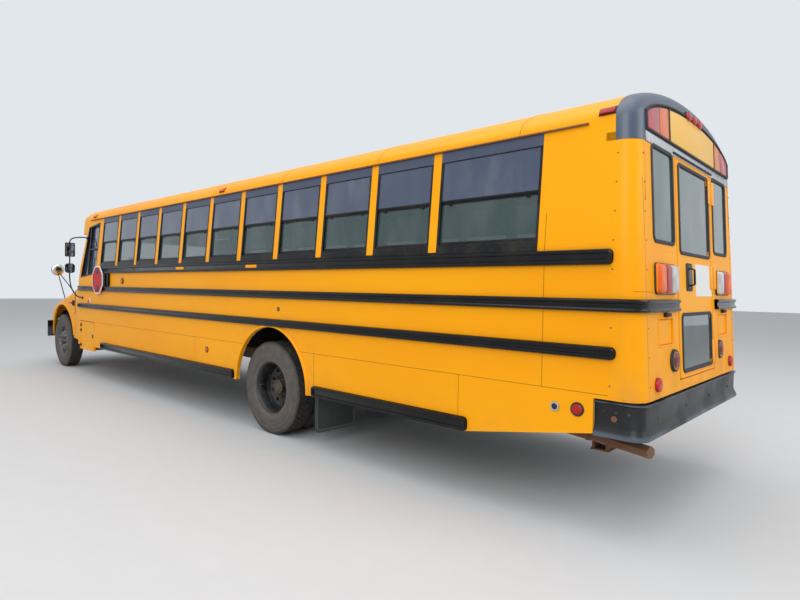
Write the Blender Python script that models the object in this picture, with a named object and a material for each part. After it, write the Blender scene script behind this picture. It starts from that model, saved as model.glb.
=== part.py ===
"""A long-hood school bus, with everything on it that opens, folds, steers or rolls.

Metres. +X points forward, +Y to the left of the driver and +Z up. The origin is on the ground under
the middle of the bus. Lengthwise places are stations: distances forward of the rear bumper's face.
"""

import math

import bmesh
import bpy
from mathutils import Matrix, Vector

# Whole bus
BODY_WIDTH = 2.438
REAR_OVERHANG = 3.994
WHEELBASE = 7.087
FRONT_OVERHANG = 1.04
SKIRT_Z = 0.53
FLOOR_Z = 1.02
SILL_Z = 1.905
GUTTER_Z = 2.73
CROWN_Z = 3.07
TUMBLEHOME = 0.066
WALL = 0.036
SEAM = 0.0004
SWING_GAP = 0.007
HINGE_RADIUS = SWING_GAP - SEAM
OVERRUN = 0.2
ROUND_SIDES = 12

HALF_WIDTH = BODY_WIDTH / 2
TOP_HALF_WIDTH = HALF_WIDTH - TUMBLEHOME
LENGTH = REAR_OVERHANG + WHEELBASE + FRONT_OVERHANG
HALF_LENGTH = LENGTH / 2
LEFT_AND_RIGHT = (("left", 1), ("right", -1))


def at(station):
    """X of a station."""
    return station - HALF_LENGTH


REAR_AXLE_X = at(REAR_OVERHANG)
FRONT_AXLE_X = at(REAR_OVERHANG + WHEELBASE)


def side_y(z):
    """Half width of the outer skin at a height: upright to the sills, leaning in above them."""
    return HALF_WIDTH - TUMBLEHOME * max(0, z - SILL_Z) / (GUTTER_Z - SILL_Z)


# Materials: base colour, roughness, metallic
FINISHES = {
    "yellow": ((0.96, 0.43, 0.004), 0.35, 0.0),
    "black": ((0.012, 0.012, 0.014), 0.3, 0.0),
    "slate": ((0.05, 0.07, 0.1), 0.5, 0.0),
    "glass": ((0.05, 0.06, 0.07), 0.08, 0.0),
    "clear": ((0.75, 0.77, 0.78), 0.08, 0.0),
    "rubber": ((0.03, 0.028, 0.026), 0.85, 0.0),
    "grey": ((0.3, 0.3, 0.3), 0.45, 0.6),
    "steel": ((0.06, 0.055, 0.05), 0.6, 0.5),
    "rust": ((0.12, 0.05, 0.025), 0.85, 0.3),
    "bright": ((0.75, 0.75, 0.76), 0.2, 1.0),
    "vinyl": ((0.02, 0.05, 0.03), 0.6, 0.0),
    "floor": ((0.025, 0.025, 0.027), 0.8, 0.0),
    "red": ((0.6, 0.01, 0.012), 0.35, 0.0),
}


def material(finish):
    """The named material, made the first time that it is asked for."""
    if finish in bpy.data.materials:
        return bpy.data.materials[finish]
    colour, roughness, metallic = FINISHES[finish]
    made = bpy.data.materials.new(finish)
    made.use_nodes = True
    shader = made.node_tree.nodes["Principled BSDF"]
    shader.inputs["Base Color"].default_value = (*colour, 1)
    shader.inputs["Roughness"].default_value = roughness
    shader.inputs["Metallic"].default_value = metallic
    made.diffuse_color = (*colour, 1)
    return made


# Shapes, as meshes in world space
def finished(bm, sharp_degrees=35):
    bmesh.ops.recalc_face_normals(bm, faces=bm.faces)
    mesh = bpy.data.meshes.new("shape")
    bm.to_mesh(mesh)
    bm.free()
    mesh.shade_smooth()
    mesh.set_sharp_from_angle(angle=math.radians(sharp_degrees))
    return mesh


def loft(rings, closed=False):
    """A solid through rings of as many points each, capped at its ends or closed into a loop."""
    bm = bmesh.new()
    made = [[bm.verts.new(point) for point in ring] for ring in rings]
    pairs = list(zip(made, made[1:]))
    if closed:
        pairs.append((made[-1], made[0]))
    for low, high in pairs:
        for i in range(len(low)):
            j = (i + 1) % len(low)
            bm.faces.new((low[i], low[j], high[j], high[i]))
    if not closed:
        bm.faces.new(made[0])
        bm.faces.new(made[-1])
    return finished(bm)


def prism(outline, axis, low, high):
    """An outline drawn square to an axis, in the order of the other two, run from low to high."""
    place = {
        "X": lambda a, b, t: (t, a, b),
        "Y": lambda a, b, t: (a, t, b),
        "Z": lambda a, b, t: (a, b, t),
    }[axis]
    return loft([[place(a, b, t) for a, b in outline] for t in (low, high)])


def box(low, high):
    outline = ((low[0], low[1]), (high[0], low[1]), (high[0], high[1]), (low[0], high[1]))
    return prism(outline, "Z", low[2], high[2])


def rounded(low, high, radius, steps=2):
    """The outline of a rectangle with round corners."""
    corners = (
        (high[0] - radius, high[1] - radius, 0),
        (low[0] + radius, high[1] - radius, 90),
        (low[0] + radius, low[1] + radius, 180),
        (high[0] - radius, low[1] + radius, 270),
    )
    points = []
    for a, b, start in corners:
        for step in range(steps + 1):
            turn = math.radians(start + 90 * step / steps)
            points.append((a + radius * math.cos(turn), b + radius * math.sin(turn)))
    return points


def circle(centre, radius, sides=ROUND_SIDES, turned=0.5):
    """The outline of a circle. Turned by half a side, it has a flat at its bottom."""
    turns = [2 * math.pi * (i + turned) / sides for i in range(sides)]
    return [(centre[0] + radius * math.cos(t), centre[1] + radius * math.sin(t)) for t in turns]


def rod(start, end, radius, sides=8, end_radius=None):
    """A round bar, or a cone, between two points."""
    start, end = Vector(start), Vector(end)
    turn = (end - start).to_track_quat("Z", "Y").to_matrix()
    rings = []
    for centre, r in ((start, radius), (end, radius if end_radius is None else end_radius)):
        rings.append([centre + turn @ Vector((a, b, 0)) for a, b in circle((0, 0), r, sides)])
    return loft(rings)


def tube_path(points, radius, sides=8):
    """A round bar through points, with mitred bends."""
    points = [Vector(p) for p in points]
    rings = []
    for i, point in enumerate(points):
        before = (point - points[max(i - 1, 0)]).normalized()
        after = (points[min(i + 1, len(points) - 1)] - point).normalized()
        along = (before + after).normalized()
        turn = along.to_track_quat("Z", "Y").to_matrix()
        rings.append([point + turn @ Vector((a, b, 0)) for a, b in circle((0, 0), radius, sides)])
    return loft(rings)


def turned_ring(profile, centre, sides, half_turn=0.5):
    """A closed profile of (radius, y) points turned round the Y axis through a centre."""
    rings = []
    for i in range(sides):
        turn = 2 * math.pi * (i + half_turn) / sides
        rings.append(
            [
                (centre[0] + r * math.sin(turn), centre[1] + y, centre[2] - r * math.cos(turn))
                for r, y in profile
            ]
        )
    return loft(rings, closed=True)


def turned_solid(profile, centre, sides):
    """An open profile of (radius, y) points turned round the Y axis, with flat ends."""
    rings = []
    for r, y in profile:
        rings.append([(a, centre[1] + y, b) for a, b in circle((centre[0], centre[2]), r, sides)])
    return loft(rings)


def mirrored(mesh):
    """A copy on the other side of the bus."""
    bm = bmesh.new()
    bm.from_mesh(mesh)
    bmesh.ops.transform(bm, matrix=Matrix.Scale(-1, 4, Vector((0, 1, 0))), verts=bm.verts)
    return finished(bm)


def sided(mesh, side):
    return mesh if side > 0 else mirrored(mesh)


# Objects
def node(name, mesh, finish, pivot=(0, 0, 0), fused=(), cut=()):
    """One sub-part. Its origin is on its pivot. Fused shapes join it, then cut shapes open it."""
    mesh.transform(Matrix.Translation(-Vector(pivot)))
    mesh.name = name
    mesh.materials.append(material(finish))
    made = bpy.data.objects.new(name, mesh)
    made.location = pivot
    bpy.context.scene.collection.objects.link(made)
    for stage, operation, shapes in (("fused", "UNION", fused), ("cut", "DIFFERENCE", cut)):
        if not shapes:
            continue
        helpers = bpy.data.collections.new(f"{name} {stage}")
        helpers.hide_render = True
        bpy.context.scene.collection.children.link(helpers)
        for shape in shapes:
            helper = bpy.data.objects.new(f"{name} {stage}", shape)
            helper.hide_render = True
            helper.display_type = "WIRE"
            helpers.objects.link(helper)
        boolean = made.modifiers.new(stage.title(), "BOOLEAN")
        boolean.operation = operation
        boolean.operand_type = "COLLECTION"
        boolean.collection = helpers
        boolean.solver = "EXACT"
    return made


# Stop arm
STOP_HINGE_S = 8.55
STOP_SIGN_S = 8.87
STOP_Z = 1.68
STOP_RADIUS = 0.249
STOP_THICK = 0.006
STOP_BARREL = 0.014
STOP_BARREL_HALF = 0.085
BRACKET_S = (8.46, 9.14)
BRACKET_Z = (1.577, 1.785)
BRACKET_DEPTH = 0.035

# Body shell
WALL_FRONT_S = 9.93
ROOF_FRONT_S = 9.6
PILLAR_FOOT = (9.93, 1.66)
PILLAR_HEAD = (9.655, 2.5)
TAIL_RISE_S = 1.335
TAIL_RISE_Z = 0.17
TAIL_RISE_FROM_S = 0.33
WINDOW_PITCH = 0.724
PILLAR = 0.083
FIRST_PILLAR_S = 1.66
REAR_WINDOW_S = 0.755
WINDOW_LOW_Z = 1.925
WINDOW_HIGH_Z = 2.675
LEFT_WINDOWS = 10
RIGHT_WINDOWS = 9
LAST_RIGHT_WINDOW = 0.47
DRIVER_WINDOW = ((9.07, 1.8), (9.82, 1.73), (9.56, 2.6), (9.07, 2.65))
ARCH_RADIUS = 0.651
ARCH_FLANGE = 0.03
ARCH_S = 3.947
ARCH_SIDES = 32
RAIL_PROUD = 0.02
WRAP_RAIL_Y = 0.505
# Rub rails: rear end, front end, low and high
RUB_RAILS = (
    (0.22, 9.05, 1.79, 1.889),
    (0.1, 9.9, 1.49, 1.572),
    (0.19, 9.9, 1.187, 1.267),
)
SKIRT_RAILS = ((1.32, 3.2, 0.5525, 0.638), (4.66, 8.8, 0.5525, 0.638))
DOORWAY_S = (8.84, 9.56)
DOORWAY_Z = (0.4, 2.56)
BATTERY_BAY_S = (9.15, 9.825)
BATTERY_BAY_Z = (0.454, 0.955)
BATTERY_SKIRT_Z = 0.44


def wall_section():
    """The (y, z) outline of the left wall's panel."""
    inner_top = TOP_HALF_WIDTH - WALL
    inner = HALF_WIDTH - WALL
    return (
        (HALF_WIDTH, SKIRT_Z),
        (HALF_WIDTH, SILL_Z),
        (TOP_HALF_WIDTH, GUTTER_Z),
        (inner_top, GUTTER_Z),
        (inner, SILL_Z),
        (inner, SKIRT_Z),
    )


def across_wall(outline):
    """A cutter through the left wall from an outline of (station, z) points."""
    points = [(at(s), z) for s, z in outline]
    return prism(points, "Y", TOP_HALF_WIDTH - OVERRUN, HALF_WIDTH + OVERRUN)


def rectangle(across, up):
    return ((across[0], up[0]), (across[1], up[0]), (across[1], up[1]), (across[0], up[1]))


def rail(rear_s, front_s, low, high):
    """A rub rail: a flat bar with round ends, half sunk in the panel."""
    outline = rounded((at(rear_s), low), (at(front_s), high), (high - low) / 2 - SEAM)
    return prism(outline, "Y", HALF_WIDTH - WALL / 2, HALF_WIDTH + RAIL_PROUD)


def window_outlines(count):
    """Each side window's (rear, front) stations, from the back."""
    spans = [(REAR_WINDOW_S, FIRST_PILLAR_S)]
    for i in range(count):
        rear = FIRST_PILLAR_S + WINDOW_PITCH * i
        spans.append((rear + PILLAR, rear + WINDOW_PITCH))
    return spans


LEFT_SPANS = window_outlines(LEFT_WINDOWS)
LAST_PILLAR_S = FIRST_PILLAR_S + WINDOW_PITCH * RIGHT_WINDOWS
RIGHT_SPANS = window_outlines(RIGHT_WINDOWS) + [
    (LAST_PILLAR_S + PILLAR, LAST_PILLAR_S + PILLAR + LAST_RIGHT_WINDOW)
]
CORNER = 0.05


def side_wall(name, side):
    spans = LEFT_SPANS if side > 0 else RIGHT_SPANS
    panel = prism(wall_section(), "X", at(0), at(WALL_FRONT_S))
    fused = [rail(*row) for row in RUB_RAILS]
    fused += [rail(*row) for row in SKIRT_RAILS]
    flange = circle((at(ARCH_S), SKIRT_Z), ARCH_RADIUS + ARCH_FLANGE, ARCH_SIDES, 0)
    flange = flange[: ARCH_SIDES // 2 + 1]
    fused.append(prism(flange, "Y", HALF_WIDTH - WALL / 2, HALF_WIDTH + RAIL_PROUD / 2))
    low = -OVERRUN
    front = WALL_FRONT_S + OVERRUN
    cut = [
        across_wall(circle((ARCH_S, SKIRT_Z), ARCH_RADIUS, ARCH_SIDES)),
        across_wall(
            (
                (low, SKIRT_Z - OVERRUN),
                (TAIL_RISE_S, SKIRT_Z - OVERRUN),
                (TAIL_RISE_S, SKIRT_Z),
                (TAIL_RISE_FROM_S, SKIRT_Z + TAIL_RISE_Z),
                (low, SKIRT_Z + TAIL_RISE_Z),
            )
        ),
        across_wall(
            (
                PILLAR_FOOT,
                PILLAR_HEAD,
                (ROOF_FRONT_S, PILLAR_HEAD[1]),
                (ROOF_FRONT_S, GUTTER_Z + OVERRUN),
                (front, GUTTER_Z + OVERRUN),
                (front, PILLAR_FOOT[1]),
            )
        ),
    ]
    seam = [(REAR_BUMPER_SIDE_S + SEAM, z) for z in (SKIRT_Z - OVERRUN, REAR_LEAN_FROM_Z)]
    seam += [(seam_x(z) + HALF_LENGTH, z) for z in (REAR_LEAN_FROM_Z, CAP_LOW_Z - SEAM)]
    seam += [(CAP_FRONT_S, z) for z in (CAP_LOW_Z - SEAM, CROWN_Z)]
    cut.append(across_wall([(low, SKIRT_Z - OVERRUN), *seam, (low, CROWN_Z)]))
    for rear_s, front_s in spans:
        outline = rounded((rear_s, WINDOW_LOW_Z), (front_s, WINDOW_HIGH_Z), CORNER, 1)
        cut.append(across_wall(outline))
    bay_s, bay_z = (BATTERY_BAY_S, BATTERY_BAY_Z) if side > 0 else (DOORWAY_S, DOORWAY_Z)
    cut.append(across_wall(rectangle(bay_s, bay_z)))
    if side > 0:
        cut.append(across_wall(DRIVER_WINDOW))
        plate = rectangle([at(s) for s in BRACKET_S], BRACKET_Z)
        fused.append(prism(plate, "Y", HALF_WIDTH - WALL / 2, HALF_WIDTH + BRACKET_DEPTH))
    if side < 0:
        panel = mirrored(panel)
        fused = [mirrored(shape) for shape in fused]
        cut = [mirrored(shape) for shape in cut]
    return node(name, panel, "yellow", fused=fused, cut=cut)


# Rear wall, in sections from the skirt up, and the caps at the roof's ends
REAR_LEAN_SHARE = 0.052
REAR_SKIN_S = 0.022
REAR_BUMPER_SIDE_S = 0.33
REAR_LEAN_FROM_Z = 0.93
REAR_CORNER = 0.12
REAR_CORNER_STEPS = 4
CAP_LOW_Z = 2.64
CAP_FRONT_S = 0.31
CAP_EDGE = 0.12
REAR_DOOR_Y = (-0.455, 0.465)
REAR_DOOR_Z = (1.0, 2.61)
REAR_PANE_Y = (0.515, 0.935)
REAR_PANE_Z = (1.955, 2.585)
REAR_CUT_DEPTH = 0.3
LAMP_PROUD = 0.018
# Rear lamps, as the middle's y and z, then half the width and half the height; round without a height
REAR_LAMPS = (
    (0.742, 1.71, 0.2, 0.098),
    (0.6, 1.152, 0.064, 0),
    (0.943, 1.023, 0.043, 0),
)
PLATE_PANEL = (0.59, 0.89, 1.26, 1.45)
PLATE_DEPTH = 0.012
CAP_LAMP_Z = 2.752
CAP_LAMPS_Y = (0.675, 0.895)
CAP_LAMP_RADIUS = 0.092
CAP_LAMP_PANEL = (0.585, 0.99, 2.655, 2.85)
CAP_SIGN_HALF = 0.54
TOP_LAMPS_Y = (-0.14, 0, 0.14)
TOP_LAMP_HALF = 0.032
TOP_LAMP_Z = (2.885, 2.925)
FRONT_CAP_S = (ROOF_FRONT_S + SEAM, 10.0)
FRONT_CAP_LOW_Z = PILLAR_HEAD[1] + SEAM
FRONT_CAP_EDGE = 0.2
VISOR = 0.07
VISOR_WALL = 0.01
FRONT_SIGN_Z = (2.585, 2.745)
ROOF_WALL = 0.03
ROOF_STEPS = 12


def rear_x(z):
    """X of the rear wall's skin at a height: it leans forward as it rises."""
    return at(REAR_SKIN_S) + REAR_LEAN_SHARE * max(0, z - REAR_LEAN_FROM_Z)


def seam_x(z):
    """X of the leaning seam between the rear wall and a side wall."""
    return rear_x(z) + REAR_CORNER + SEAM


def rear_section(z):
    """The rear wall's plan at a height: a shallow U with round corners and the wall's thickness."""
    back, side = rear_x(z), side_y(z)
    points = []
    for inset in (0, WALL):
        radius = REAR_CORNER - inset
        arc = []
        for step in range(REAR_CORNER_STEPS + 1):
            turn = math.radians(90 * step / REAR_CORNER_STEPS)
            arc.append(
                (
                    back + REAR_CORNER - radius * math.sin(turn),
                    side - REAR_CORNER + radius * math.cos(turn),
                )
            )
        whole = arc + [(x, -y) for x, y in reversed(arc)]
        points += whole if not inset else whole[::-1]
    return [(x, y, z) for x, y in points]


def through_rear(outline, proud=OVERRUN, depth=REAR_CUT_DEPTH):
    """A shape from a (y, z) outline that lies on the leaning rear skin, proud of it and into it."""
    rings = []
    for shift in (-proud, depth):
        rings.append([(rear_x(z) + shift, y, z) for y, z in outline])
    return loft(rings)


def wrap_rail():
    """The middle rub rail where it runs round the left rear corner onto the rear wall."""
    rings = []
    for z in RUB_RAILS[1][2:]:
        back, edge = rear_x(z), side_y(z)
        outline = []
        for reach in (RAIL_PROUD, -RAIL_PROUD / 2):
            radius = REAR_CORNER + reach
            band = [(back - reach, WRAP_RAIL_Y)]
            for step in range(REAR_CORNER_STEPS + 1):
                turn = math.radians(90 * step / REAR_CORNER_STEPS)
                across = edge - REAR_CORNER + radius * math.sin(turn)
                band.append((back + REAR_CORNER - radius * math.cos(turn), across))
            outline += band if reach > 0 else band[::-1]
        rings.append([(x, y, z) for x, y in outline])
    return loft(rings)


def rear_wall():
    fused, cut = [], []
    cut.append(through_rear(rectangle(REAR_DOOR_Y, REAR_DOOR_Z)))
    for _, side in LEFT_AND_RIGHT:
        pane = rounded(
            (REAR_PANE_Y[0], REAR_PANE_Z[0]), (REAR_PANE_Y[1], REAR_PANE_Z[1]), CORNER
        )
        cut.append(through_rear([(side * y, z) for y, z in pane]))
        for y, z, half_wide, half_high in REAR_LAMPS:
            if half_high:
                outline = rounded(
                    (y - half_wide, z - half_high), (y + half_wide, z + half_high), LAMP_PROUD
                )
            else:
                outline = circle((y, z), half_wide)
            outline = [(side * a, b) for a, b in outline]
            fused.append(through_rear(outline, LAMP_PROUD, WALL / 2))
        left, right, low, high = PLATE_PANEL
        fused.append(sided(wrap_rail(), side))
        recess = rounded((left, low), (right, high), PLATE_DEPTH)
        cut.append(through_rear([(side * y, z) for y, z in recess], OVERRUN, PLATE_DEPTH))
    shell = loft([rear_section(z) for z in (REAR_LEAN_FROM_Z, SILL_Z, CAP_LOW_Z - SEAM)])
    return node("rear_wall", shell, "yellow", fused=fused, cut=cut)


def roof_arc(half_width, base_z, rise, steps=ROOF_STEPS):
    """The roof's outline from left to right, as (y, z)."""
    turns = [math.pi * i / steps for i in range(steps + 1)]
    return [(half_width * math.cos(t), base_z + rise * math.sin(t)) for t in turns]


def cap_section(x, inset, low_z):
    """A closed end's outline at a place along the bus, drawn in from the roof's by an inset."""
    low_half = side_y(low_z) - inset
    arc = roof_arc(TOP_HALF_WIDTH - inset, GUTTER_Z, CROWN_Z - GUTTER_Z - inset)
    return [(x, y, z) for y, z in [(low_half, low_z)] + arc + [(-low_half, low_z)]]


def rear_cap():
    """The closed end of the roof, rounded down to the leaning panel that carries the lamps."""
    rings = []
    for turn_degrees in (90, 65, 40, 15, 0):
        turn = math.radians(turn_degrees)
        inset = CAP_EDGE * (1 - math.sin(turn))
        forward = CAP_EDGE * (1 - math.cos(turn))
        ring = cap_section(0, inset, CAP_LOW_Z)
        rings.append([(rear_x(z) + forward, y, z) for _, y, z in ring])
    rings.insert(0, cap_section(at(CAP_FRONT_S) - SEAM, 0, CAP_LOW_Z))
    fused = []
    for _, side in LEFT_AND_RIGHT:
        low, high = CAP_LAMP_PANEL[2:]
        panel = rounded((CAP_LAMP_PANEL[0], low), (CAP_LAMP_PANEL[1], high), CORNER)
        fused.append(through_rear([(side * y, z) for y, z in panel], LAMP_PROUD / 2, CAP_EDGE / 2))
        for y in CAP_LAMPS_Y:
            lamp = circle((side * y, CAP_LAMP_Z), CAP_LAMP_RADIUS, ROUND_SIDES)
            fused.append(through_rear(lamp, LAMP_PROUD, CAP_EDGE / 2))
    sign = rectangle((-CAP_SIGN_HALF, CAP_SIGN_HALF), CAP_LAMP_PANEL[2:])
    fused.append(through_rear(sign, LAMP_PROUD / 2, CAP_EDGE / 2))
    for y in TOP_LAMPS_Y:
        lamp = rectangle((y - TOP_LAMP_HALF, y + TOP_LAMP_HALF), TOP_LAMP_Z)
        fused.append(through_rear(lamp, LAMP_PROUD, CAP_EDGE / 2))
    return node("rear_cap", loft(rings), "slate", fused=fused)


def visor_outline(centre):
    """A hood over a round lamp: the upper half of a ring."""
    half = ROUND_SIDES // 2 + 1
    outer = circle(centre, CAP_LAMP_RADIUS + VISOR_WALL, ROUND_SIDES, 0)[:half]
    inner = circle(centre, CAP_LAMP_RADIUS - VISOR_WALL / 2, ROUND_SIDES, 0)[:half]
    return outer + inner[::-1]


def front_cap():
    """The closed front of the roof above the windshield, with hooded lamps at its corners."""
    back, front = (at(s) for s in FRONT_CAP_S)
    rings = [cap_section(back, 0, FRONT_CAP_LOW_Z)]
    for turn_degrees in (90, 65, 40, 15, 0):
        turn = math.radians(turn_degrees)
        inset = FRONT_CAP_EDGE * (1 - math.sin(turn))
        ahead = FRONT_CAP_EDGE * (1 - math.cos(turn))
        rings.append(cap_section(front - ahead, inset, FRONT_CAP_LOW_Z))
    fused = []
    for _, side in LEFT_AND_RIGHT:
        for y in CAP_LAMPS_Y:
            centre = (side * y, CAP_LAMP_Z - CAP_LAMP_RADIUS)
            lamp = circle(centre, CAP_LAMP_RADIUS, ROUND_SIDES)
            fused.append(prism(lamp, "X", front - CAP_EDGE, front + LAMP_PROUD))
            fused.append(prism(visor_outline(centre), "X", front - CAP_EDGE, front + VISOR))
    sign = rectangle((-CAP_SIGN_HALF, CAP_SIGN_HALF), FRONT_SIGN_Z)
    fused.append(prism(sign, "X", front - CAP_EDGE, front + LAMP_PROUD / 2))
    return node("front_cap", loft(rings), "yellow", fused=fused)


# Roof, with its two hatches
HATCHES_S = (2.75, 7.05)
HATCH_HALF = 0.3
HATCH_CURB = 0.045
HATCH_CURB_Z = 3.088
HATCH_LID_RISE = (0.0005, 0.03)
HATCH_LIP = 0.025


def roof():
    outer = roof_arc(TOP_HALF_WIDTH, GUTTER_Z + SEAM, CROWN_Z - GUTTER_Z)
    inner = roof_arc(TOP_HALF_WIDTH - ROOF_WALL, GUTTER_Z + SEAM, CROWN_Z - GUTTER_Z - ROOF_WALL)
    shell = prism(outer + inner[::-1], "X", at(CAP_FRONT_S), at(ROOF_FRONT_S))
    fused, cut = [], []
    low = CROWN_Z - HATCH_CURB - ROOF_WALL
    for station in HATCHES_S:
        x = at(station)
        fused.append(
            box(
                (x - HATCH_HALF, -HATCH_HALF, low),
                (x + HATCH_HALF, HATCH_HALF, HATCH_CURB_Z),
            )
        )
        clear = HATCH_HALF - HATCH_CURB
        cut.append(box((x - clear, -clear, low - OVERRUN), (x + clear, clear, CROWN_Z + OVERRUN)))
    return node("roof", shell, "yellow", fused=fused, cut=cut)


def hatch(name, station):
    """A lid that lifts at its front edge, on a hinge along its rear edge."""
    x = at(station)
    half = HATCH_HALF + HATCH_LIP
    low, high = (HATCH_CURB_Z + rise for rise in HATCH_LID_RISE)
    base = rounded((x - half, -half), (x + half, half), CORNER, 2)
    inner = half - HATCH_LIP
    top = rounded((x - inner, -inner), (x + inner, inner), CORNER, 2)
    rings = []
    for outline, z in ((base, low), (base, (low + high) / 2), (top, high)):
        rings.append([(a, b, z) for a, b in outline])
    return node(name, loft(rings), "yellow", pivot=(x - half, 0, low))


# Floor, with its wheel housings, and the side windows
FLOOR_THICKNESS = 0.05
FLOOR_FRONT_S = 9.925
HOUSING_S = (3.34, 4.66)
HOUSING_Y = 0.52
HOUSING_Z = 1.2
HOUSING_WALL = 0.012
STEP_WELL_Y = -0.62
RUNNER_S = (0.4, 8.5)
RUNNER_HALF = 0.2
RUNNER_THICK = 0.006
SASH_DEPTH = 0.03
SASH_FRAME = 0.022
SASH_BAR_Z = 2.31
GLASS_THICKNESS = 0.005
BAND_Z = (1.9, 2.7)


def floor():
    half = HALF_WIDTH - WALL - SEAM
    low, high = FLOOR_Z - FLOOR_THICKNESS, FLOOR_Z
    rear = rear_x(FLOOR_Z) + WALL + SEAM
    plate = box((rear + REAR_CORNER, -half, low), (at(FLOOR_FRONT_S), half, high))
    inner = (
        (at(HOUSING_S[0]), HOUSING_Y, low - OVERRUN),
        (at(HOUSING_S[1]), half + OVERRUN, HOUSING_Z - HOUSING_WALL),
    )
    outer = (
        (at(HOUSING_S[0]) - HOUSING_WALL, HOUSING_Y - HOUSING_WALL, low),
        (at(HOUSING_S[1]) + HOUSING_WALL, half, HOUSING_Z),
    )
    tail_half = HALF_WIDTH - REAR_CORNER
    fused = [box((rear, -tail_half, low), (rear + REAR_CORNER * 2, tail_half, high))]
    cut = []
    for _, side in LEFT_AND_RIGHT:
        fused.append(sided(box(*outer), side))
        cut.append(sided(box(*inner), side))
    ends = [at(s) for s in RUNNER_S]
    fused.append(box((ends[0], -RUNNER_HALF, low), (ends[1], RUNNER_HALF, high + RUNNER_THICK)))
    well = (at(DOORWAY_S[0] - SEAM), -half - OVERRUN, low - OVERRUN)
    cut.append(box(well, (at(DOORWAY_S[1] + SEAM), STEP_WELL_Y, high + OVERRUN)))
    return node("floor", plate, "floor", fused=fused, cut=cut)


def inside_y(z, inset):
    return side_y(z) - WALL - inset


def leaning_strip(rear_s, front_s, low, high, near, far):
    """A bar against a side wall's inner face, from near to far inside it."""
    section = [
        (inside_y(low, near), low),
        (inside_y(high, near), high),
        (inside_y(high, far), high),
        (inside_y(low, far), low),
    ]
    return prism(section, "X", at(rear_s), at(front_s))


def window_band(name, side):
    """The split sashes of one side, joined behind the pillars, with a bar across each window."""
    spans = LEFT_SPANS if side > 0 else RIGHT_SPANS
    near, far = SEAM, SEAM + SASH_DEPTH
    strip = leaning_strip(
        spans[0][0] - SASH_FRAME, spans[-1][1] + SASH_FRAME, *BAND_Z, near, far
    )
    cut = []
    for rear_s, front_s in spans:
        left, right = rear_s + SASH_FRAME, front_s - SASH_FRAME
        for low, high in (
            (WINDOW_LOW_Z + SASH_FRAME, SASH_BAR_Z - SASH_FRAME / 2),
            (SASH_BAR_Z + SASH_FRAME / 2, WINDOW_HIGH_Z - SASH_FRAME / 2),
        ):
            cut.append(across_wall(rectangle((left, right), (low, high))))
    return node(name, sided(strip, side), "black", cut=[sided(c, side) for c in cut])


def window_glass(name, side):
    """One side's panes, as a sheet against the inner faces of the sashes."""
    spans = LEFT_SPANS if side > 0 else RIGHT_SPANS
    near = SASH_DEPTH + 2 * SEAM
    sheet = leaning_strip(
        spans[0][0], spans[-1][1], WINDOW_LOW_Z, WINDOW_HIGH_Z, near, near + GLASS_THICKNESS
    )
    return node(name, sided(sheet, side), "glass")


def driver_glass():
    outline = [(at(s), z) for s, z in DRIVER_WINDOW]
    rings = []
    for deeper in (0, GLASS_THICKNESS):
        rings.append([(x, inside_y(z, SEAM + deeper), z) for x, z in outline])
    return node("driver_window", loft(rings), "glass")


def rear_glass(name, side):
    rings = []
    grown = rounded(
        (REAR_PANE_Y[0] - SASH_FRAME, REAR_PANE_Z[0] - SASH_FRAME),
        (REAR_PANE_Y[1] + SASH_FRAME, REAR_PANE_Z[1] + SASH_FRAME),
        CORNER,
        2,
    )
    for deeper in (SEAM, SEAM + GLASS_THICKNESS):
        rings.append([(rear_x(z) + WALL + deeper, side * y, z) for y, z in grown])
    return node(name, loft(rings), "glass")


# Chassis
AXLE_SIDES = 24
TYRE_RADIUS = 0.51
AXLE_Z = TYRE_RADIUS * math.cos(math.pi / AXLE_SIDES)
TYRE_HALF = 0.1275
BEAD_RADIUS = 0.2845
RIM_RADIUS = 0.284
RIM_WALL = 0.014
FRAME_Y = 0.43
FRAME_HALF = 0.04
FRAME_Z = (0.66, 0.92)
FRAME_S = (0.1, 11.985)
JACK_PAD_S = (8.3, 8.55)
JACK_PAD = 0.008
CROSS_S = (0.5, 2.2, 3.0, 4.9, 6.4, 8.0, 9.6, 11.2)
CROSS_HALF = 0.04
CROSS_Z = (0.69, 0.77)
BEAM_S = (0.9, 2.0, 3.1, 4.9, 6.2, 7.5, 8.7)
BEAM_HALF = 0.03
TRAY_S = (9.17, 9.8)
TRAY_SETBACK = 0.049
TRAY_Y = (FRAME_Y + FRAME_HALF + SEAM, HALF_WIDTH - TRAY_SETBACK)
TRAY_Z = (0.47, 0.94)
TRAY_WALL = 0.01
SPRING_HALF = 0.7
SPRING_LEAF = 0.055
SPRING_TIP = 0.025
SPRING_SIDE = 0.035
HANGER = 0.045
HOUSING_TUBE = 0.07
HOUSING_END_Y = 0.6
BOWL_RADIUS = 0.19
BOWL_HALF = 0.12
SHAFT_RADIUS = 0.045
SHAFT_Z = 0.58
SHAFT_FRONT_S = 9.0
KINGPIN_Y = 0.88
KNUCKLE_RADIUS = 0.04
KNUCKLE_HALF = 0.13
FORK = 0.022
BEAM_DROP = 0.1
BEAM_BAR = 0.04
SPINDLE_RADIUS = 0.055
FRONT_WHEEL_Y = 1.02
FRONT_HUB_Y = 0.935
REAR_WHEELS_Y = (0.73, 1.06)
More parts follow.
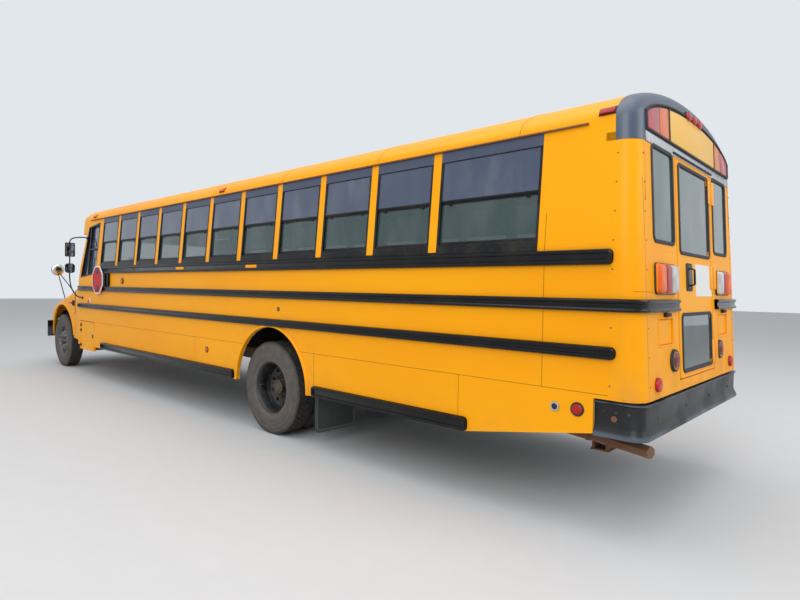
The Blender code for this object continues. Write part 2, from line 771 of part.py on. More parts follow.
# Dual rim, as radius and y from the axle's end outwards
DUAL_RIM = (
    (0.12, 0.6006),
    (0.12, 0.87),
    (0.262, 0.87),
    (0.27, 0.612),
    (0.284, 0.612),
    (0.284, 1.178),
    (0.27, 1.178),
    (0.262, 0.92),
    (0.13, 0.9),
    (0.13, 1.03),
    (0.105, 1.05),
    (0.1, 1.11),
)
STEER_RIM = (
    (0.12, 0.9355),
    (0.13, 1.03),
    (0.255, 1.03),
    (0.27, 0.905),
    (0.284, 0.905),
    (0.284, 1.135),
    (0.27, 1.135),
    (0.258, 1.07),
    (0.17, 1.055),
    (0.135, 1.065),
    (0.115, 1.13),
    (0.06, 1.145),
)
# Tyre section, half of it, as radius and distance from its middle
TYRE_HALF_SECTION = (
    (BEAD_RADIUS, 0.098),
    (0.395, TYRE_HALF),
    (0.465, 0.121),
    (0.502, 0.098),
    (TYRE_RADIUS, 0.07),
)


def frame():
    rails, fused = None, []
    for _, side in LEFT_AND_RIGHT:
        shape = sided(
            box(
                (at(FRAME_S[0]), FRAME_Y - FRAME_HALF, FRAME_Z[0]),
                (at(FRAME_S[1]), FRAME_Y + FRAME_HALF, FRAME_Z[1]),
            ),
            side,
        )
        if rails is None:
            rails = shape
        else:
            fused.append(shape)
    for s in CROSS_S:
        x = at(s)
        reach = FRAME_Y
        fused.append(box((x - CROSS_HALF, -reach, CROSS_Z[0]), (x + CROSS_HALF, reach, CROSS_Z[1])))
    top = FLOOR_Z - FLOOR_THICKNESS - SEAM
    reach = HALF_WIDTH - WALL - SEAM
    for s in BEAM_S:
        x = at(s)
        low = FRAME_Z[1] - BEAM_HALF
        fused.append(box((x - BEAM_HALF, -reach, low), (x + BEAM_HALF, reach, top)))
    near, far = FRAME_Y - FRAME_HALF, FRAME_Y + FRAME_HALF
    ends = [at(s) for s in JACK_PAD_S]
    for _, side in LEFT_AND_RIGHT:
        pad = box((ends[0], near, FRAME_Z[0] - JACK_PAD), (ends[1], far, FRAME_Z[0] + JACK_PAD))
        fused.append(sided(pad, side))
    return node("frame", rails, "steel", fused=fused)


def battery_tray():
    """An open box for the batteries, bolted to the side of the left rail behind its door."""
    low = (at(TRAY_S[0]), TRAY_Y[0], TRAY_Z[0])
    high = (at(TRAY_S[1]), TRAY_Y[1], TRAY_Z[1])
    inside = box(
        (low[0] + TRAY_WALL, low[1] + TRAY_WALL, low[2] + TRAY_WALL),
        (high[0] - TRAY_WALL, high[1] + OVERRUN, high[2] - TRAY_WALL),
    )
    return node("battery_tray", box(low, high), "steel", cut=[inside])


def leaf_spring(x, seat_z):
    """One leaf spring and its hangers, from its seat on the axle up to the frame rail."""
    top = FRAME_Z[0] - SEAM
    tip = top - HANGER
    outline = [
        (x - SPRING_HALF, top),
        (x - SPRING_HALF, tip - SPRING_TIP),
        (x - SPRING_HALF / 2, (tip + seat_z) / 2 - SPRING_TIP / 2),
        (x, seat_z),
        (x + SPRING_HALF / 2, (tip + seat_z) / 2 - SPRING_TIP / 2),
        (x + SPRING_HALF, tip - SPRING_TIP),
        (x + SPRING_HALF, top),
        (x + SPRING_HALF - HANGER, top),
        (x + SPRING_HALF - HANGER, tip),
        (x, seat_z + SPRING_LEAF),
        (x - SPRING_HALF + HANGER, tip),
        (x - SPRING_HALF + HANGER, top),
    ]
    return prism(outline, "Y", FRAME_Y - SPRING_SIDE, FRAME_Y + SPRING_SIDE)


def rear_axle():
    x = REAR_AXLE_X
    tube = rod((x, -HOUSING_END_Y, AXLE_Z), (x, HOUSING_END_Y, AXLE_Z), HOUSING_TUBE, ROUND_SIDES)
    bowl = turned_solid(
        (
            (HOUSING_TUBE * 1.2, -BOWL_HALF),
            (BOWL_RADIUS, -BOWL_HALF / 2),
            (BOWL_RADIUS, BOWL_HALF / 2),
            (HOUSING_TUBE * 1.2, BOWL_HALF),
        ),
        (x, 0, AXLE_Z),
        ROUND_SIDES,
    )
    spring = leaf_spring(x, AXLE_Z + HOUSING_TUBE / 2)
    mid = at(CROSS_S[4])
    shaft = tube_path(
        ((x, 0, AXLE_Z), (mid, 0, SHAFT_Z), (at(SHAFT_FRONT_S), 0, SHAFT_Z)), SHAFT_RADIUS
    )
    hanger = box(
        (mid - CROSS_HALF, -CROSS_HALF, SHAFT_Z),
        (mid + CROSS_HALF, CROSS_HALF, CROSS_Z[0] - SEAM),
    )
    fused = [bowl, spring, mirrored(spring), shaft, hanger]
    return node("rear_axle", tube, "steel", fused=fused)


def front_axle():
    x = FRONT_AXLE_X
    low = AXLE_Z - KNUCKLE_HALF - SEAM - FORK
    high = AXLE_Z + KNUCKLE_HALF + SEAM
    end = KINGPIN_Y - KNUCKLE_RADIUS - SEAM
    bar = box(
        (x - BEAM_BAR, -end, low),
        (x + BEAM_BAR, end, low + BEAM_DROP),
    )
    spring = leaf_spring(x, low + BEAM_DROP - FORK)
    fused = [spring, mirrored(spring)]
    reach = KINGPIN_Y + KNUCKLE_RADIUS
    for _, side in LEFT_AND_RIGHT:
        post = box((x - BEAM_BAR, end - BEAM_DROP / 2, low), (x + BEAM_BAR, end, high + FORK))
        fused.append(sided(post, side))
        for z in (low, high):
            eye = box((x - BEAM_BAR, end - FORK, z), (x + BEAM_BAR, reach, z + FORK))
            fused.append(sided(eye, side))
    return node("front_axle", bar, "steel", fused=fused)


def knuckle(name, side):
    x = FRONT_AXLE_X
    pin = rod(
        (x, KINGPIN_Y, AXLE_Z - KNUCKLE_HALF),
        (x, KINGPIN_Y, AXLE_Z + KNUCKLE_HALF),
        KNUCKLE_RADIUS,
        16,
    )
    spindle = rod((x, KINGPIN_Y, AXLE_Z), (x, FRONT_HUB_Y, AXLE_Z), SPINDLE_RADIUS, ROUND_SIDES)
    pivot = (x, side * KINGPIN_Y, AXLE_Z)
    return node(name, sided(pin, side), "steel", pivot=pivot, fused=[sided(spindle, side)])


def rim(name, side, axle_x, profile):
    shape = turned_solid(profile, (axle_x, 0, AXLE_Z), AXLE_SIDES)
    finish = "black" if profile is DUAL_RIM else "grey"
    return node(name, sided(shape, side), finish, pivot=(axle_x, 0, AXLE_Z))


def tyre(name, side, axle_x, middle_y):
    half = list(TYRE_HALF_SECTION)
    profile = half + [(r, -y) for r, y in reversed(half)]
    shape = turned_ring(profile, (axle_x, middle_y, AXLE_Z), AXLE_SIDES)
    return node(name, sided(shape, side), "rubber", pivot=(axle_x, 0, AXLE_Z))


# What hangs on the chassis
ENGINE_LOW = (10.5, -0.33, 0.7704)
ENGINE_HIGH = (11.5, 0.33, 1.22)
TANK_S = (5.3, 6.9)
TANK_SETBACK = 0.199
TANK_Y = (FRAME_Y + FRAME_HALF + SEAM, HALF_WIDTH - TANK_SETBACK)
TANK_Z = (0.5, 0.88)
TANK_CORNER = 0.06
PIPE_RADIUS = 0.04
MUFFLER_RADIUS = 0.12
MUFFLER_S = (6.5, 7.6)
MUFFLER_SIDES = 16
MUFFLER_Z = 0.74
PIPE_S = (6.6, 4.9, 3.2, 2.3, 0.95, 0.3, 0.03)
PIPE_Y = (0.57, 0.535, 0.535, 0.66, 0.8, 0.93, 1.02)
PIPE_Z = (0.78, 0.79, 0.79, 0.72, 0.62, 0.6, 0.596)
FLAP_S = 3.25
FLAP_Y = (0.6, 1.15)
FLAP_Z = (0.14, 0.7)
FLAP_THICK = 0.006
FLAP_BAR_Z = 0.66
FLAP_BAR = 0.02



def engine():
    low = (at(ENGINE_LOW[0]), ENGINE_LOW[1], ENGINE_LOW[2])
    return node("engine", box(low, (at(ENGINE_HIGH[0]), *ENGINE_HIGH[1:])), "steel")


def fuel_tank():
    outline = rounded((-TANK_Y[1], TANK_Z[0]), (-TANK_Y[0], TANK_Z[1]), TANK_CORNER)
    return node("fuel_tank", prism(outline, "X", at(TANK_S[0]), at(TANK_S[1])), "black")


def exhaust():
    route = [(at(s), y, z) for s, y, z in zip(PIPE_S, PIPE_Y, PIPE_Z)]
    flat = MUFFLER_RADIUS * math.cos(math.pi / MUFFLER_SIDES)
    y, z = FRAME_Y + FRAME_HALF + SEAM + flat, MUFFLER_Z
    ends = [(at(s), y, z) for s in MUFFLER_S]
    muffler = rod(*ends, MUFFLER_RADIUS, MUFFLER_SIDES)
    return node("exhaust", tube_path(route, PIPE_RADIUS), "rust", fused=[muffler])


def mud_flap(name, side):
    x = at(FLAP_S)
    inner = FRAME_Y + FRAME_HALF + SEAM
    flap = box((x - FLAP_THICK, FLAP_Y[0], FLAP_Z[0]), (x + FLAP_THICK, FLAP_Y[1], FLAP_Z[1]))
    bar = box((x - FLAP_BAR, inner, FLAP_BAR_Z), (x + FLAP_BAR, FLAP_Y[1], FLAP_Z[1]))
    return node(name, sided(flap, side), "rubber", fused=[sided(bar, side)])


# Bumpers
REAR_BUMPER_Z = (0.685, 0.915)
REAR_BUMPER_HALF = HALF_WIDTH
BUMPER_PLATE = 0.016
BUMPER_CORNER = 0.06
BUMPER_CHANNEL = 0.05
FRONT_BUMPER_Z = (0.52, 0.85)
FRONT_BUMPER_SETBACK = 0.079
FRONT_BUMPER_HALF = HALF_WIDTH - FRONT_BUMPER_SETBACK
FRONT_BUMPER_BACK_S = 11.9856
FRONT_BUMPER_SWEEP = 0.1


def bent_plan(half, face_x, back_x, plate, inward):
    """A bumper's plan: a face across the bus whose ends are bent back round a corner."""
    points = []
    for inset in (0, plate):
        radius = BUMPER_CORNER - inset
        arc = [(back_x, half - inset)]
        for step in range(4):
            turn = math.radians(30 * step)
            arc.append(
                (
                    face_x + inward * (BUMPER_CORNER - radius * math.sin(turn)),
                    half - BUMPER_CORNER + radius * math.cos(turn),
                )
            )
        whole = arc + [(x, -y) for x, y in reversed(arc)]
        points += whole if not inset else whole[::-1]
    return points


def rear_bumper():
    """A pressed channel: a bent face with its upper and lower lips turned in, held by the rails."""
    low, high = REAR_BUMPER_Z
    plan = bent_plan(REAR_BUMPER_HALF, at(0), at(REAR_BUMPER_SIDE_S), BUMPER_PLATE, 1)
    mount_x = at(FRAME_S[0]) - SEAM
    fused = []
    for _, side in LEFT_AND_RIGHT:
        horn = box(
            (at(BUMPER_PLATE / 2), FRAME_Y - FRAME_HALF, FRAME_Z[0] + CROSS_HALF),
            (mount_x, FRAME_Y + FRAME_HALF, FRAME_Z[1] - CROSS_HALF),
        )
        fused.append(sided(horn, side))
    lip = box(
        (at(BUMPER_PLATE / 2), -REAR_BUMPER_HALF + BUMPER_CORNER, low),
        (at(BUMPER_CHANNEL), REAR_BUMPER_HALF - BUMPER_CORNER, low + BUMPER_PLATE),
    )
    fused.append(lip)
    return node("rear_bumper", prism(plan, "Z", low, high), "black", fused=fused)


def front_bumper():
    low, high = FRONT_BUMPER_Z
    face = at(LENGTH)
    half = FRONT_BUMPER_HALF
    back = at(FRONT_BUMPER_BACK_S)
    sweep = FRONT_BUMPER_SWEEP
    front = [(face, -half / 2), (face, half / 2), (face - sweep, half)]
    inner = [(x - BUMPER_PLATE, y) for x, y in front]
    plan = [(face - sweep, -half)] + front + inner[::-1] + [(face - sweep - BUMPER_PLATE, -half)]
    fused = []
    for _, side in LEFT_AND_RIGHT:
        horn = box(
            (back, FRAME_Y - FRAME_HALF, FRAME_Z[0]),
            (face - BUMPER_PLATE / 2, FRAME_Y + FRAME_HALF, FRONT_BUMPER_Z[1] - CROSS_HALF),
        )
        fused.append(sided(horn, side))
    return node("front_bumper", prism(plan, "Z", low, high), "black", fused=fused)


# Cowl and windshield
COWL_S = (9.9304, 10.32)
COWL_Z = 0.6
COWL_BACK_TOP_Z = 1.655
COWL_FRONT_TOP_Z = 1.6
COWL_SHOULDER_Z = (1.64, 1.5)
COWL_CROWN_HALF = 0.72
COWL_WALL = 0.02
COWL_SETBACK = 0.069
COWL_FRONT_HALF = HALF_WIDTH - COWL_SETBACK
SHIELD_SETBACK = 0.089
SHIELD_HALF = HALF_WIDTH - SHIELD_SETBACK
SHIELD_THICK = 0.012
SHIELD_BULGE = 0.13
SHIELD_STEPS = 8
SHIELD_FOOT = (9.945, 1.6565)
SHIELD_HEAD = (9.67, PILLAR_HEAD[1])


def cowl_ring(x, half, shoulder_z, crown_z, low_z, inset):
    half = half - inset
    crown = COWL_CROWN_HALF - inset
    top = crown_z - inset
    shoulder = shoulder_z - inset
    ring = [(half, low_z), (half, shoulder - inset), (half - COWL_WALL, shoulder)]
    ring += [(crown, (shoulder + top) / 2), (crown / 2, top)]
    ring += [(-y, z) for y, z in reversed(ring)]
    return [(x, y, z) for y, z in ring]


def cowl():
    """The fixed shell between the cab and the hood, open towards the cab."""
    back, front = (at(s) for s in COWL_S)
    outer = loft(
        [
            cowl_ring(back, HALF_WIDTH - SEAM, COWL_SHOULDER_Z[0], COWL_BACK_TOP_Z, COWL_Z, 0),
            cowl_ring(front, COWL_FRONT_HALF, COWL_SHOULDER_Z[1], COWL_FRONT_TOP_Z, COWL_Z, 0),
        ]
    )
    inner = loft(
        [
            cowl_ring(
                back - OVERRUN, HALF_WIDTH, COWL_SHOULDER_Z[0], COWL_BACK_TOP_Z, COWL_Z - OVERRUN, COWL_WALL
            ),
            cowl_ring(
                front - COWL_WALL,
                COWL_FRONT_HALF,
                COWL_SHOULDER_Z[1],
                COWL_FRONT_TOP_Z,
                COWL_Z - OVERRUN,
                COWL_WALL,
            ),
        ]
    )
    slots = []
    for _, side in LEFT_AND_RIGHT:
        slot = box(
            (front - OVERRUN, FRAME_Y - FRAME_HALF - SEAM, COWL_Z - OVERRUN),
            (front + OVERRUN, FRAME_Y + FRAME_HALF + SEAM, FRAME_Z[1] + SEAM),
        )
        slots.append(sided(slot, side))
    return node("cowl", outer, "yellow", cut=[inner, *slots])


def shield_ring(station, z, thick):
    """The glass's plan at a height: a shallow arc across the bus."""
    points = []
    for inset in (0, thick):
        arc = []
        for i in range(SHIELD_STEPS + 1):
            share = 2 * i / SHIELD_STEPS - 1
            x = at(station) + SHIELD_BULGE * (1 - share * share) - inset
            arc.append((x, share * SHIELD_HALF, z))
        points += arc if not inset else arc[::-1]
    return points


def windshield():
    rings = [shield_ring(*SHIELD_FOOT, SHIELD_THICK), shield_ring(*SHIELD_HEAD, SHIELD_THICK)]
    return node("windshield", loft(rings), "clear")


# Hood, one shell with the fenders, tilting forward
HOOD_PIVOT = (12.0, 0.885)
HOOD_BARREL = HOOD_PIVOT[0] - FRAME_S[1] - SEAM
HOOD_LUG_Z = (0.932, 0.972)
HOOD_LUG_S = 11.95
HOOD_REAR_S = 10.335
HOOD_WALL = 0.022
HOOD_ARCH_RADIUS = 0.705
HOOD_ARCH_Z = 0.5
HOOD_CROWN_SHARE = 0.62
HOOD_RELIEF_STEPS = 4
# Hood sections: station, setback from the body's side, low edge, shoulder and crown heights
HOOD_SECTIONS = (
    (HOOD_REAR_S, 0.069, 0.6, 1.5, 1.6),
    (10.7, 0.069, 0.6, 1.395, 1.56),
    (11.33, 0.074, 0.6, 1.235, 1.46),
    (11.75, 0.109, 0.56, 1.12, 1.36),
    (11.9, 0.169, 0.72, 1.06, 1.3),
    (11.965, 0.259, 0.93, 1.01, 1.22),
)
GRILLE_Y = 0.42
GRILLE_Z = (0.955, 1.165)
GRILLE_SLATS = 6
GRILLE_SLAT = 0.012
GRILLE_S = (11.935, 11.975)
GRILLE_FRAME = 0.02
HEADLAMP_Y = 0.7
HEADLAMP_HALF = (0.19, 0.085)
HEADLAMP_Z = 1.0


def hood_ring(section, inset, shift=0, drop=0):
    station, setback, low, shoulder, crown = section
    x = at(station) + shift
    half = HALF_WIDTH - setback - inset
    shoulder = shoulder - inset
    top = crown - inset
    middle = shoulder + (top - shoulder) / 2
    share = HOOD_CROWN_SHARE
    ring = [(half, low - drop), (half, shoulder - CORNER), (half - CORNER, shoulder)]
    ring += [(half * share, middle), (half * share - CORNER, middle + (top - middle) * share)]
    ring += [(half * share / 2, top)]
    ring += [(-y, z) for y, z in reversed(ring)]
    return [(x, y, z) for y, z in ring]


def hood_hinge():
    """One of the two lugs that turn on the ends of the frame rails: a shelf, an upright and a round foot."""
    x, z = at(HOOD_PIVOT[0]), HOOD_PIVOT[1]
    foot = circle((x, z), HOOD_BARREL, AXLE_SIDES, 0)[AXLE_SIDES // 2 :]
    front, back = x + HOOD_BARREL, x - HOOD_BARREL
    low, high = HOOD_LUG_Z
    shelf = at(HOOD_LUG_S)
    outline = [*foot, (front, z), (front, high), (shelf, high), (shelf, low), (back, low)]
    return prism(outline, "Y", GRILLE_Y + SWING_GAP, FRAME_Y + FRAME_HALF - SEAM)


def hood_relief():
    """The slice of the hood's rear edge, below its hinge, that would swing back into the cowl."""
    station, pivot_z = HOOD_PIVOT
    low = HOOD_SECTIONS[0][2] - SWING_GAP
    edge = []
    for step in range(1, HOOD_RELIEF_STEPS + 1):
        drop = (pivot_z - low) * step / HOOD_RELIEF_STEPS
        reach = station - HOOD_REAR_S
        edge.append((at(station - math.sqrt(reach**2 - drop**2)), pivot_z - drop))
    back = at(HOOD_REAR_S) - OVERRUN
    across = HALF_WIDTH + OVERRUN
    return prism([*edge, (back, low), (back, edge[0][1])], "Y", -across, across)


def hood():
    outer = loft([hood_ring(section, 0) for section in HOOD_SECTIONS])
    inner = [hood_ring(HOOD_SECTIONS[0], HOOD_WALL, -OVERRUN, OVERRUN)]
    inner += [hood_ring(section, HOOD_WALL, 0, OVERRUN) for section in HOOD_SECTIONS[:-1]]
    inner.append(hood_ring(HOOD_SECTIONS[-1], HOOD_WALL, -HOOD_WALL, OVERRUN))
    cut = [loft(inner)]
    arch = circle((FRONT_AXLE_X, HOOD_ARCH_Z), HOOD_ARCH_RADIUS, ARCH_SIDES)
    cut.append(prism(arch, "Y", -HALF_WIDTH - OVERRUN, HALF_WIDTH + OVERRUN))
    cut.append(
        box(
            (at(GRILLE_S[0]) - OVERRUN, -GRILLE_Y - SEAM, GRILLE_Z[0] - SEAM),
            (at(LENGTH), GRILLE_Y + SEAM, GRILLE_Z[1] + SEAM),
        )
    )
    nose_gap = FRAME_Y + FRAME_HALF + SWING_GAP
    cut.append(
        box(
            (at(HOOD_SECTIONS[-2][0]), -nose_gap, FRAME_Z[0]),
            (at(FRAME_S[1]) - SEAM, nose_gap, FRAME_Z[1] + SWING_GAP),
        )
    )
    cut.append(hood_relief())
    fused = []
    for _, side in LEFT_AND_RIGHT:
        low = (side * HEADLAMP_Y - HEADLAMP_HALF[0], HEADLAMP_Z - HEADLAMP_HALF[1])
        high = (side * HEADLAMP_Y + HEADLAMP_HALF[0], HEADLAMP_Z + HEADLAMP_HALF[1])
        lamp = rounded(low, high, CORNER)
        fused.append(prism(lamp, "X", at(GRILLE_S[0]) - HOOD_WALL, at(GRILLE_S[1])))
    for _, side in LEFT_AND_RIGHT:
        fused.append(sided(hood_hinge(), side))
        for station in ARM_FEET_S:
            foot_z = hood_z(station, ARM_FOOT_Y) + BOSS_PROUD
            foot = (at(station), ARM_FOOT_Y, foot_z)
            fused.append(sided(rod((*foot[:2], foot_z - CORNER), foot, BOSS_RADIUS), side))
    pivot = (at(HOOD_PIVOT[0]), 0, HOOD_PIVOT[1])
    return node("hood", outer, "yellow", pivot=pivot, fused=fused, cut=cut)


def grille():
    """A frame with slats across it, filling the hood's nose."""
    low = (-GRILLE_Y, GRILLE_Z[0])
    high = (GRILLE_Y, GRILLE_Z[1])
    x0, x1 = (at(s) for s in GRILLE_S)
    frame_shape = prism(rectangle((low[0], high[0]), (low[1], high[1])), "X", x0, x1)
    pitch = (GRILLE_Z[1] - GRILLE_Z[0] - GRILLE_FRAME * 2) / GRILLE_SLATS
    cut = []
    for i in range(GRILLE_SLATS):
        base = GRILLE_Z[0] + GRILLE_FRAME + pitch * i
        slot = (base + GRILLE_SLAT / 2, base + pitch - GRILLE_SLAT / 2)
        outline = rectangle((-GRILLE_Y + GRILLE_FRAME, GRILLE_Y - GRILLE_FRAME), slot)
        cut.append(prism(outline, "X", x0 - OVERRUN, x1 + OVERRUN))
    pivot = (at(HOOD_PIVOT[0]), 0, HOOD_PIVOT[1])
    return node("grille", frame_shape, "black", pivot=pivot, cut=cut)


# Crossview and driver's mirrors
BALL_PLACE = (11.6, 1.07, 1.885)
BALL_RADIUS = 0.115
BALL_DEPTH = 0.09
BALL_SIDES = 16
BALL_SHARES = ((0, 0.9), (0.3, 1.0), (0.7, 0.75), (1.0, 0.3))
ARM_RADIUS = 0.009
ARM_SIDES = 6
ARM_FEET_S = (10.75, 11.25)
ARM_FOOT_Y = 1.04
BOSS_RADIUS = 0.022
BOSS_PROUD = 0.012
ARM_SHOE = 0.025
MIRROR_S = 9.9
MIRROR_REACHES = (0.066, 0.231)
MIRROR_Y = tuple(HALF_WIDTH + reach for reach in MIRROR_REACHES)
MIRROR_Z = (2.09, 2.34)
MIRROR_DEPTH = 0.06
LOWER_MIRROR_Z = (1.8, 1.97)
MIRROR_ARM_FEET = ((9.7, 1.36), (9.635, 2.42))


def hood_z(station, y):
    """The height of the hood's skin over a fender, outside its crown."""
    for before, after in zip(HOOD_SECTIONS, HOOD_SECTIONS[1:]):
        if before[0] <= station <= after[0]:
            share = (station - before[0]) / (after[0] - before[0])
            mixed = [a + (b - a) * share for a, b in zip(before[1:], after[1:])]
            setback, _, shoulder, crown = mixed
            half = HALF_WIDTH - setback
            inner = half * HOOD_CROWN_SHARE
            climb = (half - CORNER - y) / (half - CORNER - inner)
            return shoulder + (crown - shoulder) / 2 * climb
    raise ValueError("that station is off the hood")


def crossview(name, side):
    """A round convex mirror held in front of the windshield by two bars that stand on the hood."""
    s, y, z = BALL_PLACE
    x = at(s)
    rings = []
    for depth_share, radius_share in BALL_SHARES:
        outline = circle((y, z), BALL_RADIUS * radius_share, BALL_SIDES)
        rings.append([(x + BALL_DEPTH * depth_share, a, b) for a, b in outline])
    ball = loft(rings)
    fused = []
    for station in ARM_FEET_S:
        foot_z = hood_z(station, ARM_FOOT_Y) + BOSS_PROUD + SEAM
        foot = (at(station), ARM_FOOT_Y, foot_z)
        knee = (*foot[:2], foot_z + ARM_SHOE)
        fused.append(tube_path((foot, knee, (x + BALL_DEPTH / 3, y, z)), ARM_RADIUS, ARM_SIDES))
    pivot = (at(HOOD_PIVOT[0]), 0, HOOD_PIVOT[1])
    return node(
        name,
        sided(ball, side),
        "black",
        pivot=pivot,
        fused=[sided(shape, side) for shape in fused],
    )


def mirror(name, side):
    """A flat mirror over a small convex one, on arms from the body's corner."""
    x = at(MIRROR_S)
    heads = []
    for (low, high), corner in ((MIRROR_Z, CORNER / 2), (LOWER_MIRROR_Z, CORNER)):
        outline = rounded((MIRROR_Y[0], low), (MIRROR_Y[1], high), corner)
        heads.append(prism(outline, "X", x, x + MIRROR_DEPTH))
    head, lower = heads
    middle = (MIRROR_Y[0] + MIRROR_Y[1]) / 2
    post = rod(
        (x + MIRROR_DEPTH / 2, middle, LOWER_MIRROR_Z[0] + CORNER),
        (x + MIRROR_DEPTH / 2, middle, MIRROR_Z[1] - CORNER),
        ARM_RADIUS,
    )
    fused = [lower, post]
    reach_z = (LOWER_MIRROR_Z[0] + CORNER, MIRROR_Z[1] - CORNER)
    for (foot_s, foot_z), z in zip(MIRROR_ARM_FEET, reach_z):
        foot_y = side_y(foot_z) + ARM_RADIUS
        fused.append(
            rod((at(foot_s), foot_y, foot_z), (x + MIRROR_DEPTH / 2, middle, z), ARM_RADIUS)
        )
    return node(name, sided(head, side), "black", fused=[sided(shape, side) for shape in fused])


# Doors
LEAF_SETBACKS = (0.104, 0.072)
LEAF_Y = tuple(HALF_WIDTH - setback for setback in LEAF_SETBACKS)
LEAF_Z = (0.415, 2.545)
LEAF_FRAME = 0.05
LEAF_PANES_Z = ((0.62, 1.42), (1.5, 2.45))
PANE_THICKNESS = 0.005


def door_leaf(name, rear_s, front_s, hinge_s):
    """A leaf of the entrance door: a frame round two tall openings."""
    shape = box((at(rear_s), -LEAF_Y[1], LEAF_Z[0]), (at(front_s), -LEAF_Y[0], LEAF_Z[1]))
    cut = []
    for low, high in LEAF_PANES_Z:
        opening = rounded((at(rear_s) + LEAF_FRAME, low), (at(front_s) - LEAF_FRAME, high), CORNER / 2)
        cut.append(prism(opening, "Y", -LEAF_Y[1] - OVERRUN, -LEAF_Y[0] + OVERRUN))
    pivot = (at(hinge_s), -LEAF_Y[1], LEAF_Z[0])
    pin = rod(pivot, (pivot[0], pivot[1], DOORWAY_Z[1] - SEAM), HINGE_RADIUS)
    return node(name, shape, "black", pivot=pivot, fused=[pin], cut=cut)


def leaf_glass(name, rear_s, front_s, hinge_s):
    inner = -LEAF_Y[0] + SEAM
    low = (at(rear_s) + LEAF_FRAME / 2, inner, LEAF_PANES_Z[0][0] - LEAF_FRAME / 2)
    high = (at(front_s) - LEAF_FRAME / 2, inner + PANE_THICKNESS, LEAF_PANES_Z[1][1] + LEAF_FRAME / 2)
    return node(name, box(low, high), "glass", pivot=(at(hinge_s), -LEAF_Y[1], LEAF_Z[0]))


REAR_LEAF_S = (DOORWAY_S[0] + SWING_GAP, (DOORWAY_S[0] + DOORWAY_S[1] - SWING_GAP) / 2)
FRONT_LEAF_S = ((DOORWAY_S[0] + DOORWAY_S[1] + SWING_GAP) / 2, DOORWAY_S[1] - SWING_GAP)

EXIT_THICK = 0.034
EXIT_PANES_Z = ((1.06, 1.455), (1.92, 2.54))
EXIT_PANE_Y = (-0.37, 0.38)
EXIT_HINGE_Y = REAR_DOOR_Y[0] + SWING_GAP
EXIT_HINGES_Z = (1.15, 1.75, 2.45)
EXIT_HINGE_HALF = 0.1


def rear_panel(outline, shift, thick):
    """A sheet parallel to the leaning rear skin."""
    rings = [[(rear_x(z) + shift + t, y, z) for y, z in outline] for t in (0, thick)]
    return loft(rings)


def rear_door():
    low = (EXIT_HINGE_Y, REAR_DOOR_Z[0] + SWING_GAP)
    high = (REAR_DOOR_Y[1] - SWING_GAP, REAR_DOOR_Z[1] - SWING_GAP)
    outline = rounded(low, high, CORNER / 2)
    cut = []
    for bottom, top in EXIT_PANES_Z:
        pane = rounded((EXIT_PANE_Y[0], bottom), (EXIT_PANE_Y[1], top), CORNER)
        cut.append(through_rear(pane))
    pivot = (rear_x(REAR_DOOR_Z[0]), EXIT_HINGE_Y, REAR_DOOR_Z[0])
    pins = []
    for z in EXIT_HINGES_Z:
        ends = [(rear_x(end), EXIT_HINGE_Y, end) for end in (z - EXIT_HINGE_HALF, z + EXIT_HINGE_HALF)]
        pins.append(rod(*ends, HINGE_RADIUS))
    panel = rear_panel(outline, 0, EXIT_THICK)
    return node("rear_door", panel, "yellow", pivot=pivot, fused=pins, cut=cut)


def rear_door_glass():
    low = (EXIT_PANE_Y[0] - SASH_FRAME, EXIT_PANES_Z[0][0] - SASH_FRAME)
    high = (EXIT_PANE_Y[1] + SASH_FRAME, EXIT_PANES_Z[1][1] + SASH_FRAME)
    pivot = (rear_x(REAR_DOOR_Z[0]), EXIT_HINGE_Y, REAR_DOOR_Z[0])
    sheet = rear_panel(rounded(low, high, CORNER, 2), EXIT_THICK + SEAM, PANE_THICKNESS)
    return node("rear_door_glass", sheet, "glass", pivot=pivot)


def battery_door():
    low = (at(BATTERY_BAY_S[0]) + SWING_GAP, HALF_WIDTH - EXIT_THICK, BATTERY_BAY_Z[0])
    high = (at(BATTERY_BAY_S[1]) - SWING_GAP, HALF_WIDTH, BATTERY_BAY_Z[1] - SWING_GAP)
    pivot = (high[0], high[1], low[2])
    pin = rod(pivot, high, HINGE_RADIUS)
    return node("battery_door", box(low, high), "yellow", pivot=pivot, fused=[pin])


def stop_arm():
    """A blank octagon on a hinge barrel, folded flat along the body."""
    y = HALF_WIDTH + BRACKET_DEPTH + STOP_BARREL + SEAM
    x = at(STOP_HINGE_S)
    octagon = circle((at(STOP_SIGN_S), STOP_Z), STOP_RADIUS, 8)
    sign = prism(octagon, "Y", y - STOP_THICK, y + STOP_THICK)
    barrel = rod((x, y, STOP_Z - STOP_BARREL_HALF), (x, y, STOP_Z + STOP_BARREL_HALF), STOP_BARREL, 16)
    arm = box(
        (x, y - STOP_THICK, STOP_Z - STOP_BARREL_HALF / 2),
        (at(STOP_SIGN_S), y + STOP_THICK, STOP_Z + STOP_BARREL_HALF / 2),
    )
    return node("stop_arm", sign, "red", pivot=(x, y, STOP_Z), fused=[barrel, arm])


# Cabin
BENCH_WIDTH = 0.96
BENCH_INSET = 0.004
BENCH_ROWS = 11
BENCH_FIRST_S = 0.72
BENCH_BASE_Z = 1.34
BENCH_TOP_Z = 1.46
BENCH_BACK_Z = 1.88
BENCH_DEPTH = 0.4
BENCH_BACK = 0.09
BENCH_RAKE = 0.1
LEG_SETBACKS = (0.859, 0.799)
LEG_Y = tuple(HALF_WIDTH - setback for setback in LEG_SETBACKS)
LEG_HALF = 0.03
TRACK = 0.02
WALL_RAIL_Z = (1.3, 1.345)


